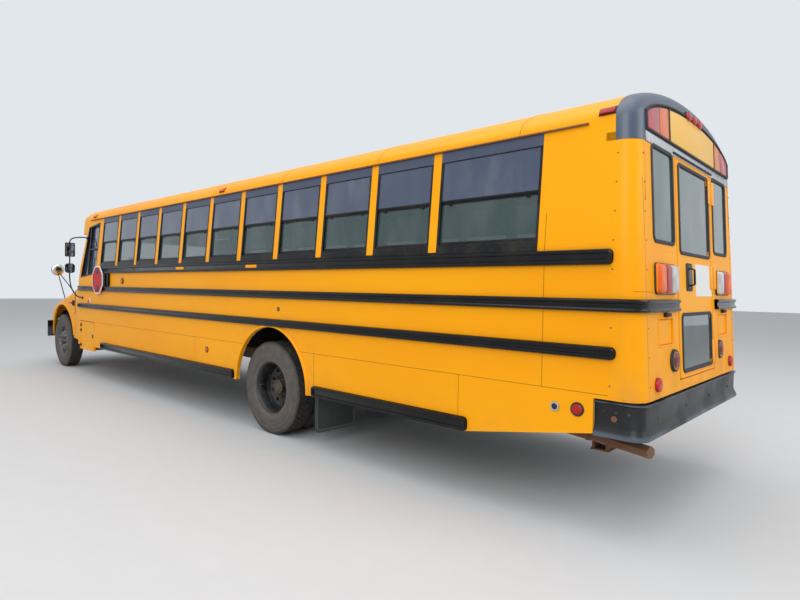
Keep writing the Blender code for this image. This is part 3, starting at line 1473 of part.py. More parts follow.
def bench(station):
    """A bench's side outline, seat and back in one."""
    x = at(station)
    outline = (
        (x, BENCH_BASE_Z),
        (x + BENCH_BACK + BENCH_DEPTH, BENCH_BASE_Z),
        (x + BENCH_BACK + BENCH_DEPTH, BENCH_TOP_Z),
        (x + BENCH_BACK, BENCH_TOP_Z),
        (x + BENCH_BACK - BENCH_RAKE, BENCH_BACK_Z),
        (x - BENCH_RAKE, BENCH_BACK_Z),
    )
    outer = HALF_WIDTH - WALL - BENCH_INSET
    return prism(outline, "Y", outer - BENCH_WIDTH, outer)


def benches(name, side):
    outer = HALF_WIDTH - WALL - BENCH_INSET
    fused = []
    first, last = BENCH_FIRST_S, BENCH_FIRST_S + WINDOW_PITCH * (BENCH_ROWS - 1)
    ends = (at(first), at(last) + BENCH_BACK + BENCH_DEPTH)
    for row in range(BENCH_ROWS):
        station = BENCH_FIRST_S + WINDOW_PITCH * row
        fused.append(bench(station))
        x = at(station) + BENCH_BACK + BENCH_DEPTH / 2
        fused.append(
            box(
                (x - LEG_HALF, LEG_Y[0], FLOOR_Z + SEAM),
                (x + LEG_HALF, LEG_Y[1], BENCH_BASE_Z + TRACK),
            )
        )
    track = box((ends[0], LEG_Y[0], FLOOR_Z + SEAM), (ends[1], LEG_Y[1], FLOOR_Z + TRACK))
    low, high = WALL_RAIL_Z
    fused.append(box((ends[0], outer - CORNER, low), (ends[1], outer + BENCH_INSET / 2, high)))
    return node(name, sided(track, side), "vinyl", fused=[sided(shape, side) for shape in fused])


DRIVER_SEAT_S = 8.8
DRIVER_SEAT_Y = (0.42, 0.9)
DRIVER_POST_HALF = 0.12
DASH_S = (9.62, 9.9)
DASH_Z = (1.3, 1.64)
DASH_HALF = 1.1
WHEEL_CENTRE = (9.48, 0.66, 1.62)
WHEEL_RADIUS = 0.22
WHEEL_GRIP = 0.014
WHEEL_SPOKE = 0.009
COLUMN_RADIUS = 0.025
WHEEL_TILT = 35


def driver_seat():
    x = at(DRIVER_SEAT_S)
    outline = (
        (x, BENCH_BASE_Z),
        (x + BENCH_BACK + BENCH_DEPTH, BENCH_BASE_Z),
        (x + BENCH_BACK + BENCH_DEPTH, BENCH_TOP_Z),
        (x + BENCH_BACK, BENCH_TOP_Z),
        (x + BENCH_BACK - BENCH_RAKE, BENCH_BACK_Z + BENCH_RAKE * 2),
        (x - BENCH_RAKE, BENCH_BACK_Z + BENCH_RAKE * 2),
    )
    seat = prism(outline, "Y", *DRIVER_SEAT_Y)
    middle = sum(DRIVER_SEAT_Y) / 2
    post_x = x + BENCH_BACK + BENCH_DEPTH / 2
    post = box(
        (post_x - DRIVER_POST_HALF, middle - DRIVER_POST_HALF, FLOOR_Z + SEAM),
        (post_x + DRIVER_POST_HALF, middle + DRIVER_POST_HALF, BENCH_BASE_Z + TRACK),
    )
    return node("driver_seat", seat, "vinyl", fused=[post])


def dashboard():
    """The panel under the windshield, with the steering column and its wheel."""
    x0, x1 = (at(s) for s in DASH_S)
    outline = ((x0, DASH_Z[0]), (x1, FLOOR_Z + SEAM), (x1, DASH_Z[1]), (x0 + CORNER, DASH_Z[1]))
    panel = prism(outline, "Y", -DASH_HALF, DASH_HALF)
    s, y, z = WHEEL_CENTRE
    centre = Vector((at(s), y, z))
    tilt = math.radians(WHEEL_TILT)
    along = Vector((math.cos(tilt), 0, -math.sin(tilt)))
    turn = along.to_track_quat("Z", "Y").to_matrix()
    rings = []
    for a, b in circle((0, 0), WHEEL_RADIUS, 24):
        out = turn @ Vector((a, b, 0)).normalized()
        middle = centre + out * WHEEL_RADIUS
        rings.append([middle + out * p + along * q for p, q in circle((0, 0), WHEEL_GRIP, 6)])
    wheel = loft(rings, closed=True)
    reach = turn @ Vector((WHEEL_RADIUS, 0, 0))
    spoke = rod(centre - reach, centre + reach, WHEEL_SPOKE, 5)
    cross = rod(centre, centre + turn @ Vector((0, WHEEL_RADIUS, 0)), WHEEL_SPOKE, 5)
    column = rod(centre - along * WHEEL_GRIP, centre + along * WHEEL_RADIUS * 1.4, COLUMN_RADIUS)
    return node("dashboard", panel, "black", fused=[wheel, spoke, cross, column])


STEP_EDGES_Y = (1.1, 0.93, 0.775, 0.6204)
STEP_THICK = 0.02


def step_well():
    """Folded treads from the doorway up to the floor, with a cheek at each end."""
    rise = (FLOOR_Z - LEAF_Z[0]) / len(STEP_EDGES_Y)
    low = LEAF_Z[0] + STEP_THICK
    top, under = [], []
    for i, (outer, inner) in enumerate(zip(STEP_EDGES_Y, STEP_EDGES_Y[1:])):
        z = low + rise * i
        top += [(-outer, z), (-inner, z)]
        under += [(-outer + STEP_THICK, z - STEP_THICK), (-inner + STEP_THICK, z - STEP_THICK)]
    top.append((-STEP_EDGES_Y[-1], FLOOR_Z))
    under[0] = (-STEP_EDGES_Y[0], low - STEP_THICK)
    under.append((-STEP_EDGES_Y[-1] + STEP_THICK, FLOOR_Z - FLOOR_THICKNESS - SEAM))
    top[-1] = (-STEP_EDGES_Y[-1], FLOOR_Z - FLOOR_THICKNESS - SEAM)
    x0, x1 = at(DOORWAY_S[0]), at(DOORWAY_S[1])
    tread = prism(top + under[::-1], "X", x0, x1)
    cheek_outline = (
        (-STEP_EDGES_Y[0], low - STEP_THICK),
        (-STEP_EDGES_Y[0], FLOOR_Z - FLOOR_THICKNESS - SEAM),
        (-STEP_EDGES_Y[-1], FLOOR_Z - FLOOR_THICKNESS - SEAM),
        (-STEP_EDGES_Y[-1], low + rise),
    )
    cheeks = []
    for a, b in ((x0 - STEP_THICK, x0 + STEP_THICK / 4), (x1 - STEP_THICK / 4, x1 + STEP_THICK)):
        cheeks.append(prism(cheek_outline, "X", a, b))
    return node("step_well", tread, "black", fused=cheeks)


def build():
    for old in list(bpy.data.objects):
        bpy.data.objects.remove(old)
    frame()
    battery_tray()
    rear_axle()
    front_axle()
    engine()
    fuel_tank()
    exhaust()
    floor()
    step_well()
    rear_wall()
    rear_cap()
    roof()
    front_cap()
    cowl()
    windshield()
    driver_glass()
    rear_bumper()
    front_bumper()
    hood()
    grille()
    for name, side in LEFT_AND_RIGHT:
        side_wall(f"side_wall_{name}", side)
        window_band(f"window_frames_{name}", side)
        window_glass(f"window_glass_{name}", side)
        rear_glass(f"rear_glass_{name}", side)
        mud_flap(f"mud_flap_{name}", side)
        crossview(f"crossview_mirror_{name}", side)
        mirror(f"side_mirror_{name}", side)
        knuckle(f"knuckle_{name}", side)
        rim(f"front_wheel_{name}", side, FRONT_AXLE_X, STEER_RIM)
        tyre(f"front_tyre_{name}", side, FRONT_AXLE_X, FRONT_WHEEL_Y)
        rim(f"rear_wheel_{name}", side, REAR_AXLE_X, DUAL_RIM)
        for place, middle_y in zip(("inner", "outer"), REAR_WHEELS_Y):
            tyre(f"rear_tyre_{name}_{place}", side, REAR_AXLE_X, middle_y)
        benches(f"benches_{name}", side)
    for name, span, hinge_s in (
        ("rear", REAR_LEAF_S, REAR_LEAF_S[0]),
        ("front", FRONT_LEAF_S, FRONT_LEAF_S[1]),
    ):
        door_leaf(f"door_leaf_{name}", *span, hinge_s)
        leaf_glass(f"door_glass_{name}", *span, hinge_s)
    rear_door()
    rear_door_glass()
    battery_door()
    stop_arm()
    driver_seat()
    dashboard()
    for name, station in zip(("rear", "front"), HATCHES_S):
        hatch(f"roof_hatch_{name}", station)


build()
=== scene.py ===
"""The looks of a school bus: its shaped pieces, their finishes, a plain stage and the camera."""

import math

import bmesh
import bpy
from mathutils import Matrix, Vector


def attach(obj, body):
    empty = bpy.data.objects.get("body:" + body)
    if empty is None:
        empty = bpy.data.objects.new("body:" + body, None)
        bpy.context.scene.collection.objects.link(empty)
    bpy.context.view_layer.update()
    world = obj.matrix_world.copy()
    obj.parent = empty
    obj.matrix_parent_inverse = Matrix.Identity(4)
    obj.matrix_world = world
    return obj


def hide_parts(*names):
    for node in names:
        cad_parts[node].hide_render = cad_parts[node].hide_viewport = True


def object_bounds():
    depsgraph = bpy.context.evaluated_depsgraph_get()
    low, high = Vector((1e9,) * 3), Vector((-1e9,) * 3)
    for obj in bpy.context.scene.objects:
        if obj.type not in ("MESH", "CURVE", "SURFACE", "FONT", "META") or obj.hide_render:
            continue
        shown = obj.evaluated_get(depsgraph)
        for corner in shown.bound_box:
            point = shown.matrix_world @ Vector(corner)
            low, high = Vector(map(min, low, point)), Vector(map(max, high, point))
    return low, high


bl_info = {
    "name": "School Bus Looks",
    "version": (1, 0, 0),
    "blender": (4, 5, 0),
    "location": "3D View > Sidebar > Bus",
    "description": "Dresses the frame of a school bus with its panels, windows, lamps, wheels and seats",
    "category": "Object",
}

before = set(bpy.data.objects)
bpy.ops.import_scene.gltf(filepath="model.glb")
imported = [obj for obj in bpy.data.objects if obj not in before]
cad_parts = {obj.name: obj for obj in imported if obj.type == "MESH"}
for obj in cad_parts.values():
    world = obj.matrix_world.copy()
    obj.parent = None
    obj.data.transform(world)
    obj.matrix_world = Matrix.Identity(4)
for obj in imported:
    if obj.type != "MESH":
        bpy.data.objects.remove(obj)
CAD_BOX = [list(corner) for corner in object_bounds()]

REAR_X = CAD_BOX[0][0]
SIDE_Y = 1.219
GUTTER_Z = 2.73
CROWN_Z = 3.07
SILL_Z = 1.905
TOP_Y = 1.153
BACK_LEAN = 0.052
BACK_FOOT_Z = 0.93
BACK_FOOT = 0.022
ROOF_RISE = CROWN_Z - GUTTER_Z
ROOF_STEPS = 48
ROOF_LAPS_S = (0.95, 2.4, 3.85, 5.3, 6.75, 8.2)
FRONT_AXLE_S = 11.081
REAR_AXLE_S = 3.994
AXLE_Z = 0.5055
SIDES = (("left", 1), ("right", -1))


def at(station):
    """A distance forward of the rear bumper's face, as a place along the bus."""
    return REAR_X + station


def side_y(z):
    """The half width of the side at a height: upright below the windows, leaning in above them."""
    share = min(max((z - SILL_Z) / (GUTTER_Z - SILL_Z), 0), 1)
    return SIDE_Y - (SIDE_Y - TOP_Y) * share


def rear_x(z):
    """The rear skin's place at a height: it leans forward as it rises."""
    return at(BACK_FOOT + BACK_LEAN * max(z - BACK_FOOT_Z, 0))


# Shader maths


def tint(red, green, blue):
    """A colour as it is read off a screen, turned into the values that a shader takes."""
    values = [channel / 255 for channel in (red, green, blue)]
    return (*[v / 12.92 if v <= 0.04045 else ((v + 0.055) / 1.055) ** 2.4 for v in values], 1)


class Number:
    """A number that changes over a surface. Sums with it add their Math nodes."""

    def __init__(self, finish, socket):
        self.finish = finish
        self.socket = socket

    def maths(self, operation, *values):
        made = self.finish.node("ShaderNodeMath", {"operation": operation}, dict(enumerate(values)))
        return Number(self.finish, made.outputs[0])

    def __add__(self, other):
        return self.maths("ADD", self, other)

    __radd__ = __add__

    def __mul__(self, other):
        return self.maths("MULTIPLY", self, other)

    __rmul__ = __mul__

    def __sub__(self, other):
        return self.maths("SUBTRACT", self, other)

    def __rsub__(self, other):
        return self.maths("SUBTRACT", other, self)

    def __truediv__(self, other):
        return self.maths("DIVIDE", self, other)

    def __pow__(self, other):
        return self.maths("POWER", self, other)

    def __abs__(self):
        return self.maths("ABSOLUTE", self)

    def __gt__(self, other):
        return self.maths("GREATER_THAN", self, other)

    def __lt__(self, other):
        return self.maths("LESS_THAN", self, other)

    def either(self, other):
        return self.maths("MAXIMUM", self, other)

    def sine(self):
        return self.maths("SINE", self)

    def fade(self, low, high):
        """0 below low and 1 above high, with a soft step between. It falls where low is the larger."""
        ends = {1: min(low, high), 2: max(low, high), 3: float(low > high), 4: float(low < high)}
        made = self.finish.node(
            "ShaderNodeMapRange", {"interpolation_type": "SMOOTHSTEP"}, {0: self, **ends},
        )
        return Number(self.finish, made.outputs[0])

    def within(self, low, high):
        return (self > low) * (self < high)

    def line(self, place, half):
        """1 within a thin line at a place."""
        return abs(self - place) < half


class Finish:
    """One material's nodes, with the object's own coordinates to hand."""

    def __init__(self, name, roughness=0.4, metallic=0.0, coat=0.0, coat_roughness=0.08, **fixed):
        self.material = bpy.data.materials.new(name)
        self.material.use_nodes = True
        self.tree = self.material.node_tree
        self.shader = self.tree.nodes["Principled BSDF"]
        for socket, value in (
            ("Roughness", roughness), ("Metallic", metallic), ("Coat Weight", coat),
            ("Coat Roughness", coat_roughness),
        ):
            self.shader.inputs[socket].default_value = value
        for socket, value in fixed.items():
            self.shader.inputs[socket.replace("_", " ")].default_value = value
        self.place = self.node("ShaderNodeTexCoord").outputs["Object"]
        split = self.node("ShaderNodeSeparateXYZ", {}, {0: self.place})
        self.x, self.y, self.z = [Number(self, socket) for socket in split.outputs]
        self.bumps = None

    def node(self, kind, settings=None, values=None):
        """Adds one node: its settings first, then a value or a link for each socket."""
        made = self.tree.nodes.new(kind)
        for name, value in (settings or {}).items():
            setattr(made, name, value)
        for name, value in (values or {}).items():
            self.feed(made.inputs[name], value)
        return made

    def feed(self, socket, value):
        if isinstance(value, Number):
            value = value.socket
        if isinstance(value, bpy.types.NodeSocket):
            self.tree.links.new(value, socket)
        else:
            socket.default_value = value

    def noise(self, scale, detail=3.0, stretch=(1, 1, 1)):
        """Cloudy noise from 0 to 1, drawn out along an axis where stretch is small there."""
        moved = self.node("ShaderNodeMapping", {}, {"Vector": self.place, "Scale": stretch})
        made = self.node(
            "ShaderNodeTexNoise", {}, {"Vector": moved.outputs[0], "Scale": scale, "Detail": detail},
        )
        return Number(self, made.outputs[0])

    def cells(self, scale, feature="F1"):
        made = self.node(
            "ShaderNodeTexVoronoi", {"feature": feature}, {"Vector": self.place, "Scale": scale},
        )
        return Number(self, made.outputs[0])

    def mixed(self, factor, first, second):
        """The first colour, going over to the second as the factor rises."""
        made = self.node("ShaderNodeMix", {"data_type": "RGBA"}, {0: factor, 6: first, 7: second})
        return made.outputs[2]

    def colour(self, value):
        self.feed(self.shader.inputs["Base Color"], value)

    def set(self, socket, value):
        self.feed(self.shader.inputs[socket], value)

    def bump(self, height, distance, strength=1.0):
        values = {"Height": height, "Distance": distance, "Strength": strength}
        if self.bumps:
            values["Normal"] = self.bumps.outputs[0]
        self.bumps = self.node("ShaderNodeBump", {}, values)
        self.set("Normal", self.bumps.outputs[0])

    def from_axle(self, x, z):
        """The distance from a line that runs across the bus."""
        return ((self.x - x) ** 2 + (self.z - z) ** 2) ** 0.5


# Finishes

DUST = tint(150, 128, 92)
INSIDE = tint(186, 188, 184)
SKIRT_SEAM_Z = 0.957


def painted(name):
    """One of the bus's paints, as its settings give it."""
    return (*getattr(bpy.context.scene.bus_paint, name), 1.0)


def body_paint(name):
    """Glossy paint that has deepened in clouds: the finish, its clouds and its colour."""
    made = Finish(name, roughness=0.38, coat=0.05, coat_roughness=0.12, Specular_IOR_Level=0.16)
    cloud = made.noise(0.8, 4, (0.5, 1, 1.4))
    base = made.mixed(cloud.fade(0.35, 0.7) * 0.45, painted("yellow"), painted("deep_yellow"))
    return made, cloud, base


def settled(made, cloud, low, base):
    """The finish with its colour, duller where it is dirty, over slightly wavy sheet metal."""
    made.colour(base)
    made.set("Roughness", 0.36 + cloud * 0.08 + low * 0.25)
    made.bump(made.noise(2.1, 2, (1, 1, 1.6)), 0.003, 0.3)
    return made


def paint(name, seams=()):
    """Body paint, dusty low down, with dark panel seams across its length."""
    made, cloud, base = body_paint(name)
    streak = made.noise(9, 3, (1, 1, 0.06)).fade(0.56, 0.72)
    speck = made.noise(46, 3).fade(0.62, 0.7)
    low = made.z.fade(1.05, 0.5) * made.noise(5, 5).fade(0.34, 0.7)
    grime = (low * 0.22 + streak * 0.05 + speck * made.z.fade(1.4, 0.6) * 0.14).fade(0, 1)
    base = made.mixed(grime, base, DUST)
    seam = None
    for place in seams:
        line = made.x.line(place, 0.0018)
        seam = line if seam is None else seam.either(line)
    if seam is not None:
        base = made.mixed(seam * 0.75, base, painted("black"))
        made.bump(1 - seam, 0.002)
    return settled(made, cloud, low, base)


def side_paint():
    """The side panels' paint, with black rub rails, the dashes on them and the skirt's seam."""
    made, cloud, base = body_paint("side_panel_paint")
    across = abs(made.y)
    rail = across > SIDE_Y + 0.012
    streak = made.noise(8, 3, (1, 1, 0.05)).fade(0.55, 0.72)
    low = made.z.fade(0.98, 0.5) * made.noise(5, 5).fade(0.3, 0.66)
    splash = made.from_axle(at(REAR_AXLE_S), 0.5).fade(1.15, 0.66) * made.noise(11, 5).fade(0.4, 0.62)
    grime = (low * 0.2 + streak * 0.05 + splash * 0.22).fade(0, 1)
    base = made.mixed(grime, base, DUST)
    outside = across > SIDE_Y - 0.02
    seam = made.z.line(SKIRT_SEAM_Z, 0.0016)
    for place, foot, top in ((1.41, 0.5, 0.957), (3.19, 0.5, 0.957), (0.7, 0.957, 2.56), (5.6, 0.5, 0.957)):
        seam = seam.either(made.x.line(at(place), 0.0016) * made.z.within(foot, top))
    seam = seam * outside
    base = made.mixed(seam * 0.8, base, painted("black"))
    scuff = made.noise(30, 4, (0.3, 1, 1)).fade(0.6, 0.72) * 0.5
    rubber = made.mixed(scuff, painted("black"), tint(74, 72, 70))
    base = made.mixed(rail, base, rubber)
    skin = SIDE_Y - (made.z - SILL_Z).either(0) * (SIDE_Y - TOP_Y) / (GUTTER_Z - SILL_Z)
    base = made.mixed(across < skin - 0.02, base, INSIDE)
    made.bump(1 - seam, 0.003)
    return settled(made, cloud, low, base)


def rear_paint():
    """The rear panel's paint, with the black rail that runs round its corners."""
    made, cloud, base = body_paint("rear_panel_paint")
    streak = made.noise(10, 3, (1, 1, 0.06)).fade(0.55, 0.72)
    low = made.z.fade(1.2, 0.93) * made.noise(6, 5).fade(0.35, 0.66)
    base = made.mixed(low * 0.2 + streak * 0.06, base, DUST)
    skin = (made.z - BACK_FOOT_Z) * BACK_LEAN + at(BACK_FOOT)
    proud = (skin - made.x > 0.012).either(abs(made.y) > SIDE_Y + 0.0012)
    rail = proud * made.z.within(1.488, 1.574)
    seam = abs(abs(made.y) - 1.1) < 0.0016
    seam = seam.either(abs(made.z - 1.62) < 0.0014) * (made.x < at(0.1))
    base = made.mixed(seam * 0.7, base, painted("black"))
    base = made.mixed(rail, base, painted("black"))
    base = made.mixed((made.x > at(0.135)) * (abs(made.y) < 1.09), base, INSIDE)
    made.bump(1 - seam, 0.002)
    return settled(made, cloud, low, base)


def black_enamel(name="black_enamel", roughness=0.18, dust=0.06):
    """Black paint or trim with a film of dust."""
    made = Finish(name, roughness=roughness, coat=0.12, coat_roughness=0.08, Specular_IOR_Level=0.2)
    film = made.noise(3.2, 5).fade(0.42, 0.75)
    fine = made.noise(38, 3).fade(0.5, 0.75)
    base = made.mixed((film * 0.6 + fine * 0.4) * dust, painted("black"), tint(112, 104, 92))
    made.colour(base)
    made.set("Roughness", roughness + film * 0.16)
    made.bump(made.noise(120, 2), 0.0006, 0.3)
    return made


def slate(name="slate_cap", colour=(66, 78, 98), faded=(112, 118, 124)):
    """Blue-grey plastic, as on the rear cap, faded and dusty."""
    made = Finish(name, roughness=0.42, coat=0.1)
    film = made.noise(2.3, 5).fade(0.35, 0.75)
    streak = made.noise(10, 3, (1, 1, 0.1)).fade(0.52, 0.72)
    base = made.mixed(film * 0.35 + streak * 0.14, tint(*colour), tint(*faded))
    made.colour(base)
    made.set("Roughness", 0.38 + film * 0.2)
    made.bump(made.noise(60, 3), 0.0008, 0.3)
    return made


def rubber(name="seal_rubber", colour=(26, 26, 28), roughness=0.6):
    made = Finish(name, roughness=roughness)
    film = made.noise(24, 4).fade(0.45, 0.75)
    made.colour(made.mixed(film * 0.3, tint(*colour), tint(96, 92, 84)))
    made.set("Roughness", roughness + film * 0.15)
    made.bump(made.noise(220, 2), 0.0004, 0.4)
    return made


def tyre_rubber(name, axle_x):
    """Road tyre rubber: dusty brown tread and walls, darker by the rim."""
    made = Finish(name, roughness=0.78)
    reach = made.from_axle(axle_x, AXLE_Z)
    dirt = made.noise(12, 6).fade(0.34, 0.68)
    smear = made.noise(40, 4).fade(0.45, 0.7)
    tread = reach.fade(0.46, 0.505)
    rim = reach.fade(0.36, 0.29)
    mud = (dirt * 0.16 + smear * 0.1 + 0.42 - tread * 0.25 + rim * 0.1).fade(0, 1)
    made.colour(made.mixed(mud, tint(30, 30, 31), tint(112, 104, 97)))
    made.set("Roughness", 0.7 + dirt * 0.2)
    made.bump(made.noise(150, 3), 0.001, 0.5)
    return made


def rim_paint(name, axle_x, colour, dark, rust):
    """Enamel on a steel wheel, dirty in its dish, with rust round its hub and nuts."""
    made = Finish(name, coat=0.15)
    reach = made.from_axle(axle_x, AXLE_Z)
    dirt = made.noise(14, 6).fade(0.36, 0.7)
    spot = made.noise(34, 5).fade(0.5, 0.66)
    base = made.mixed(dirt * 0.5, tint(*colour), tint(*dark))
    rusty = (spot * 0.5 + reach.fade(0.15, 0.07) * dirt * 0.9) * rust
    base = made.mixed(rusty.fade(0, 1), base, tint(112, 58, 32))
    made.colour(base)
    made.set("Roughness", 0.36 + dirt * 0.25 + rusty * 0.3)
    made.bump(made.noise(70, 4), 0.0012, 0.4)
    return made


def steel(name, colour, rust=0.5, dust=0.4, roughness=0.55):
    """Painted or bare chassis steel with blooms of rust and road dust."""
    made = Finish(name, roughness=roughness)
    bloom = made.noise(7, 6).fade(0.5, 0.66)
    pit = made.noise(60, 4).fade(0.5, 0.7)
    film = made.noise(4, 5).fade(0.4, 0.7)
    base = made.mixed(film * dust, tint(*colour), tint(120, 108, 90))
    base = made.mixed((bloom * (0.6 + pit * 0.4)) * rust, base, tint(104, 54, 30))
    made.colour(base)
    made.set("Roughness", roughness + bloom * 0.25)
    made.bump(bloom * 0.6 + pit * 0.4, 0.0012, 0.5)
    return made


def bright_metal(name, colour=(196, 198, 200), roughness=0.3):
    """Zinc or aluminium, a little dull and streaked."""
    made = Finish(name, roughness=roughness, metallic=1.0)
    film = made.noise(26, 4, (1, 1, 0.3)).fade(0.4, 0.75)
    made.colour(made.mixed(film * 0.4, tint(*colour), tint(120, 116, 108)))
    made.set("Roughness", roughness + film * 0.25)
    made.bump(made.noise(160, 2), 0.0004, 0.3)
    return made


def glass(name, colour, alpha):
    """Window glass: tinted, see-through by its alpha, with a film of dust."""
    made = Finish(name, coat=1.0, coat_roughness=0.02)
    film = made.noise(5, 5, (1, 1, 0.4)).fade(0.4, 0.8)
    made.colour(made.mixed(film * 0.25, tint(*colour), tint(128, 134, 138)))
    made.set("Alpha", alpha + film * 0.08)
    made.set("Roughness", 0.03 + film * 0.1)
    return made


def lens(name, colour):
    """A coloured lamp lens with fine prisms moulded inside it."""
    made = Finish(name, roughness=0.25, coat=0.15, coat_roughness=0.03, Specular_IOR_Level=0.36)
    prisms = (made.z * 420).sine() * (made.y * 420).sine()
    shade = made.noise(9, 2).fade(0.3, 0.8)
    deep = tuple(channel * 0.62 for channel in colour)
    base = made.mixed(shade * 0.5 + prisms.fade(-0.2, 1) * 0.3, tint(*colour), tint(*deep))
    made.colour(base)
    made.bump(prisms, 0.0006, 0.5)
    return made


def vinyl(name, colour, worn):
    """Seat covering with a leathery grain and rubbed spots."""
    made = Finish(name, roughness=0.46, coat=0.08)
    grain = made.cells(420, "F1")
    rubbed = made.noise(6, 4).fade(0.45, 0.75)
    made.colour(made.mixed(rubbed * 0.5, tint(*colour), tint(*worn)))
    made.set("Roughness", 0.4 + rubbed * 0.2)
    made.bump(grain, 0.0006, 0.5)
    made.bump(made.noise(9, 3), 0.004, 0.3)
    return made


def ribbed_mat():
    """Black rubber flooring with ribs along the aisle, and worn paths."""
    made = Finish("floor_mat", roughness=0.7)
    rib = (made.y * 2 * math.pi / 0.012).sine().fade(-0.3, 0.5)
    worn = made.noise(4, 4, (0.4, 1, 1)).fade(0.4, 0.7)
    made.colour(made.mixed(worn * 0.4, tint(34, 34, 36), tint(92, 88, 80)))
    made.bump(rib, 0.0015, 0.7)
    return made


def sheeting(name, colour):
    """Reflective sheeting on a sign or a blank panel."""
    made = Finish(name, coat=0.04, Specular_IOR_Level=0.2)
    cell = made.cells(260, "DISTANCE_TO_EDGE").fade(0.02, 0.0)
    film = made.noise(7, 4).fade(0.4, 0.75)
    pale = tuple(min(255, channel * 0.8 + 44) for channel in colour)
    made.colour(made.mixed(film * 0.3 + cell * 0.12, tint(*colour), tint(*pale)))
    made.set("Roughness", 0.4 + film * 0.12)
    return made


def bumper_black():
    """Black bumper steel, paler blue-grey in patches along its foot, with a painted highlight in blue-grey
    along its top edge.
    """
    made = Finish("bumper_black", Specular_IOR_Level=0.36)
    cloud = made.noise(3, 4).fade(0.4, 0.7)
    chip = made.noise(26, 5).fade(0.62, 0.68)
    foot = made.z.fade(0.74, 0.7) * made.noise(2.4, 4).fade(0.3, 0.55)
    # Painted highlight: the top edge of the lip is painted a paler blue-grey in patches, where light catches
    # it.
    lip = made.z.fade(0.896, 0.908) * made.noise(7, 3).fade(0.25, 0.5)
    base = made.mixed(cloud * 0.4, tint(18, 18, 20), tint(44, 45, 47))
    # Blue-grey over the foot's patches, the lip's painted highlight and a few chips.
    base = made.mixed((foot * 0.7 + lip * 0.5 + chip * 0.1).fade(0, 1), base, tint(92, 102, 114))
    made.colour(base)
    made.set("Roughness", 0.34 + cloud * 0.2)
    made.bump(made.noise(40, 3), 0.0008, 0.3)
    return made


# Shapes


def rounded(low, high, radius, steps=4):
    """A rectangle's outline with round corners, anticlockwise."""
    points = []
    for turn, x, y in (
        (180, low[0], low[1]), (270, high[0], low[1]), (0, high[0], high[1]), (90, low[0], high[1]),
    ):
        centre = (x + radius if x == low[0] else x - radius, y + radius if y == low[1] else y - radius)
        for step in range(steps + 1):
            angle = math.radians(turn + 90 * step / steps)
            points.append((centre[0] + radius * math.cos(angle), centre[1] + radius * math.sin(angle)))
    return points


def circle(centre, radius, sides=24, turned=0.0):
    turns = [2 * math.pi * (i + turned) / sides for i in range(sides)]
    return [(centre[0] + radius * math.cos(t), centre[1] + radius * math.sin(t)) for t in turns]


def inset(outline, distance):
    """The outline drawn in by a distance, from an anticlockwise one."""
    moved = []
    for index, point in enumerate(outline):
        here = Vector(point)
        before, after = here - Vector(outline[index - 1]), Vector(
            outline[(index + 1) % len(outline)]
        ) - here
        normals = [Vector((-edge.y, edge.x)).normalized() for edge in (before, after) if edge.length > 1e-9]
        middle = sum(normals, Vector((0, 0))).normalized()
        moved.append(tuple(here + middle * distance / max(middle.dot(normals[0]), 0.5)))
    return moved


def on_rear(y, z, out):
    """A place on the leaning rear face."""
    return (rear_x(z) - out, y, z)


def on_side(side):
    """Places on a side: along the bus, up, and out from the skin."""
    return lambda x, z, out: (x, side * (side_y(z) + out), z)


def upright(place):
    """The same places, taken as along, out and up, the order of a bar's corners."""
    return lambda along, out, up: place(along, up, out)


def mirrored(outline, side):
    """An outline on the left, or its mirror image on the right, anticlockwise either way."""
    return [(side * y, z) for y, z in outline][::side]


def on_level(across, level):
    """Places on an upright plane that faces along the bus, at a given x."""
    return lambda y, z, out: (level + across * out, y, z)


def roof_arc(half_width, base_z, rise):
    """The roof's outline from left to right, as (y, z)."""
    turns = [math.pi * i / ROOF_STEPS for i in range(ROOF_STEPS + 1)]
    return [(half_width * math.cos(t), base_z + rise * math.sin(t)) for t in turns]


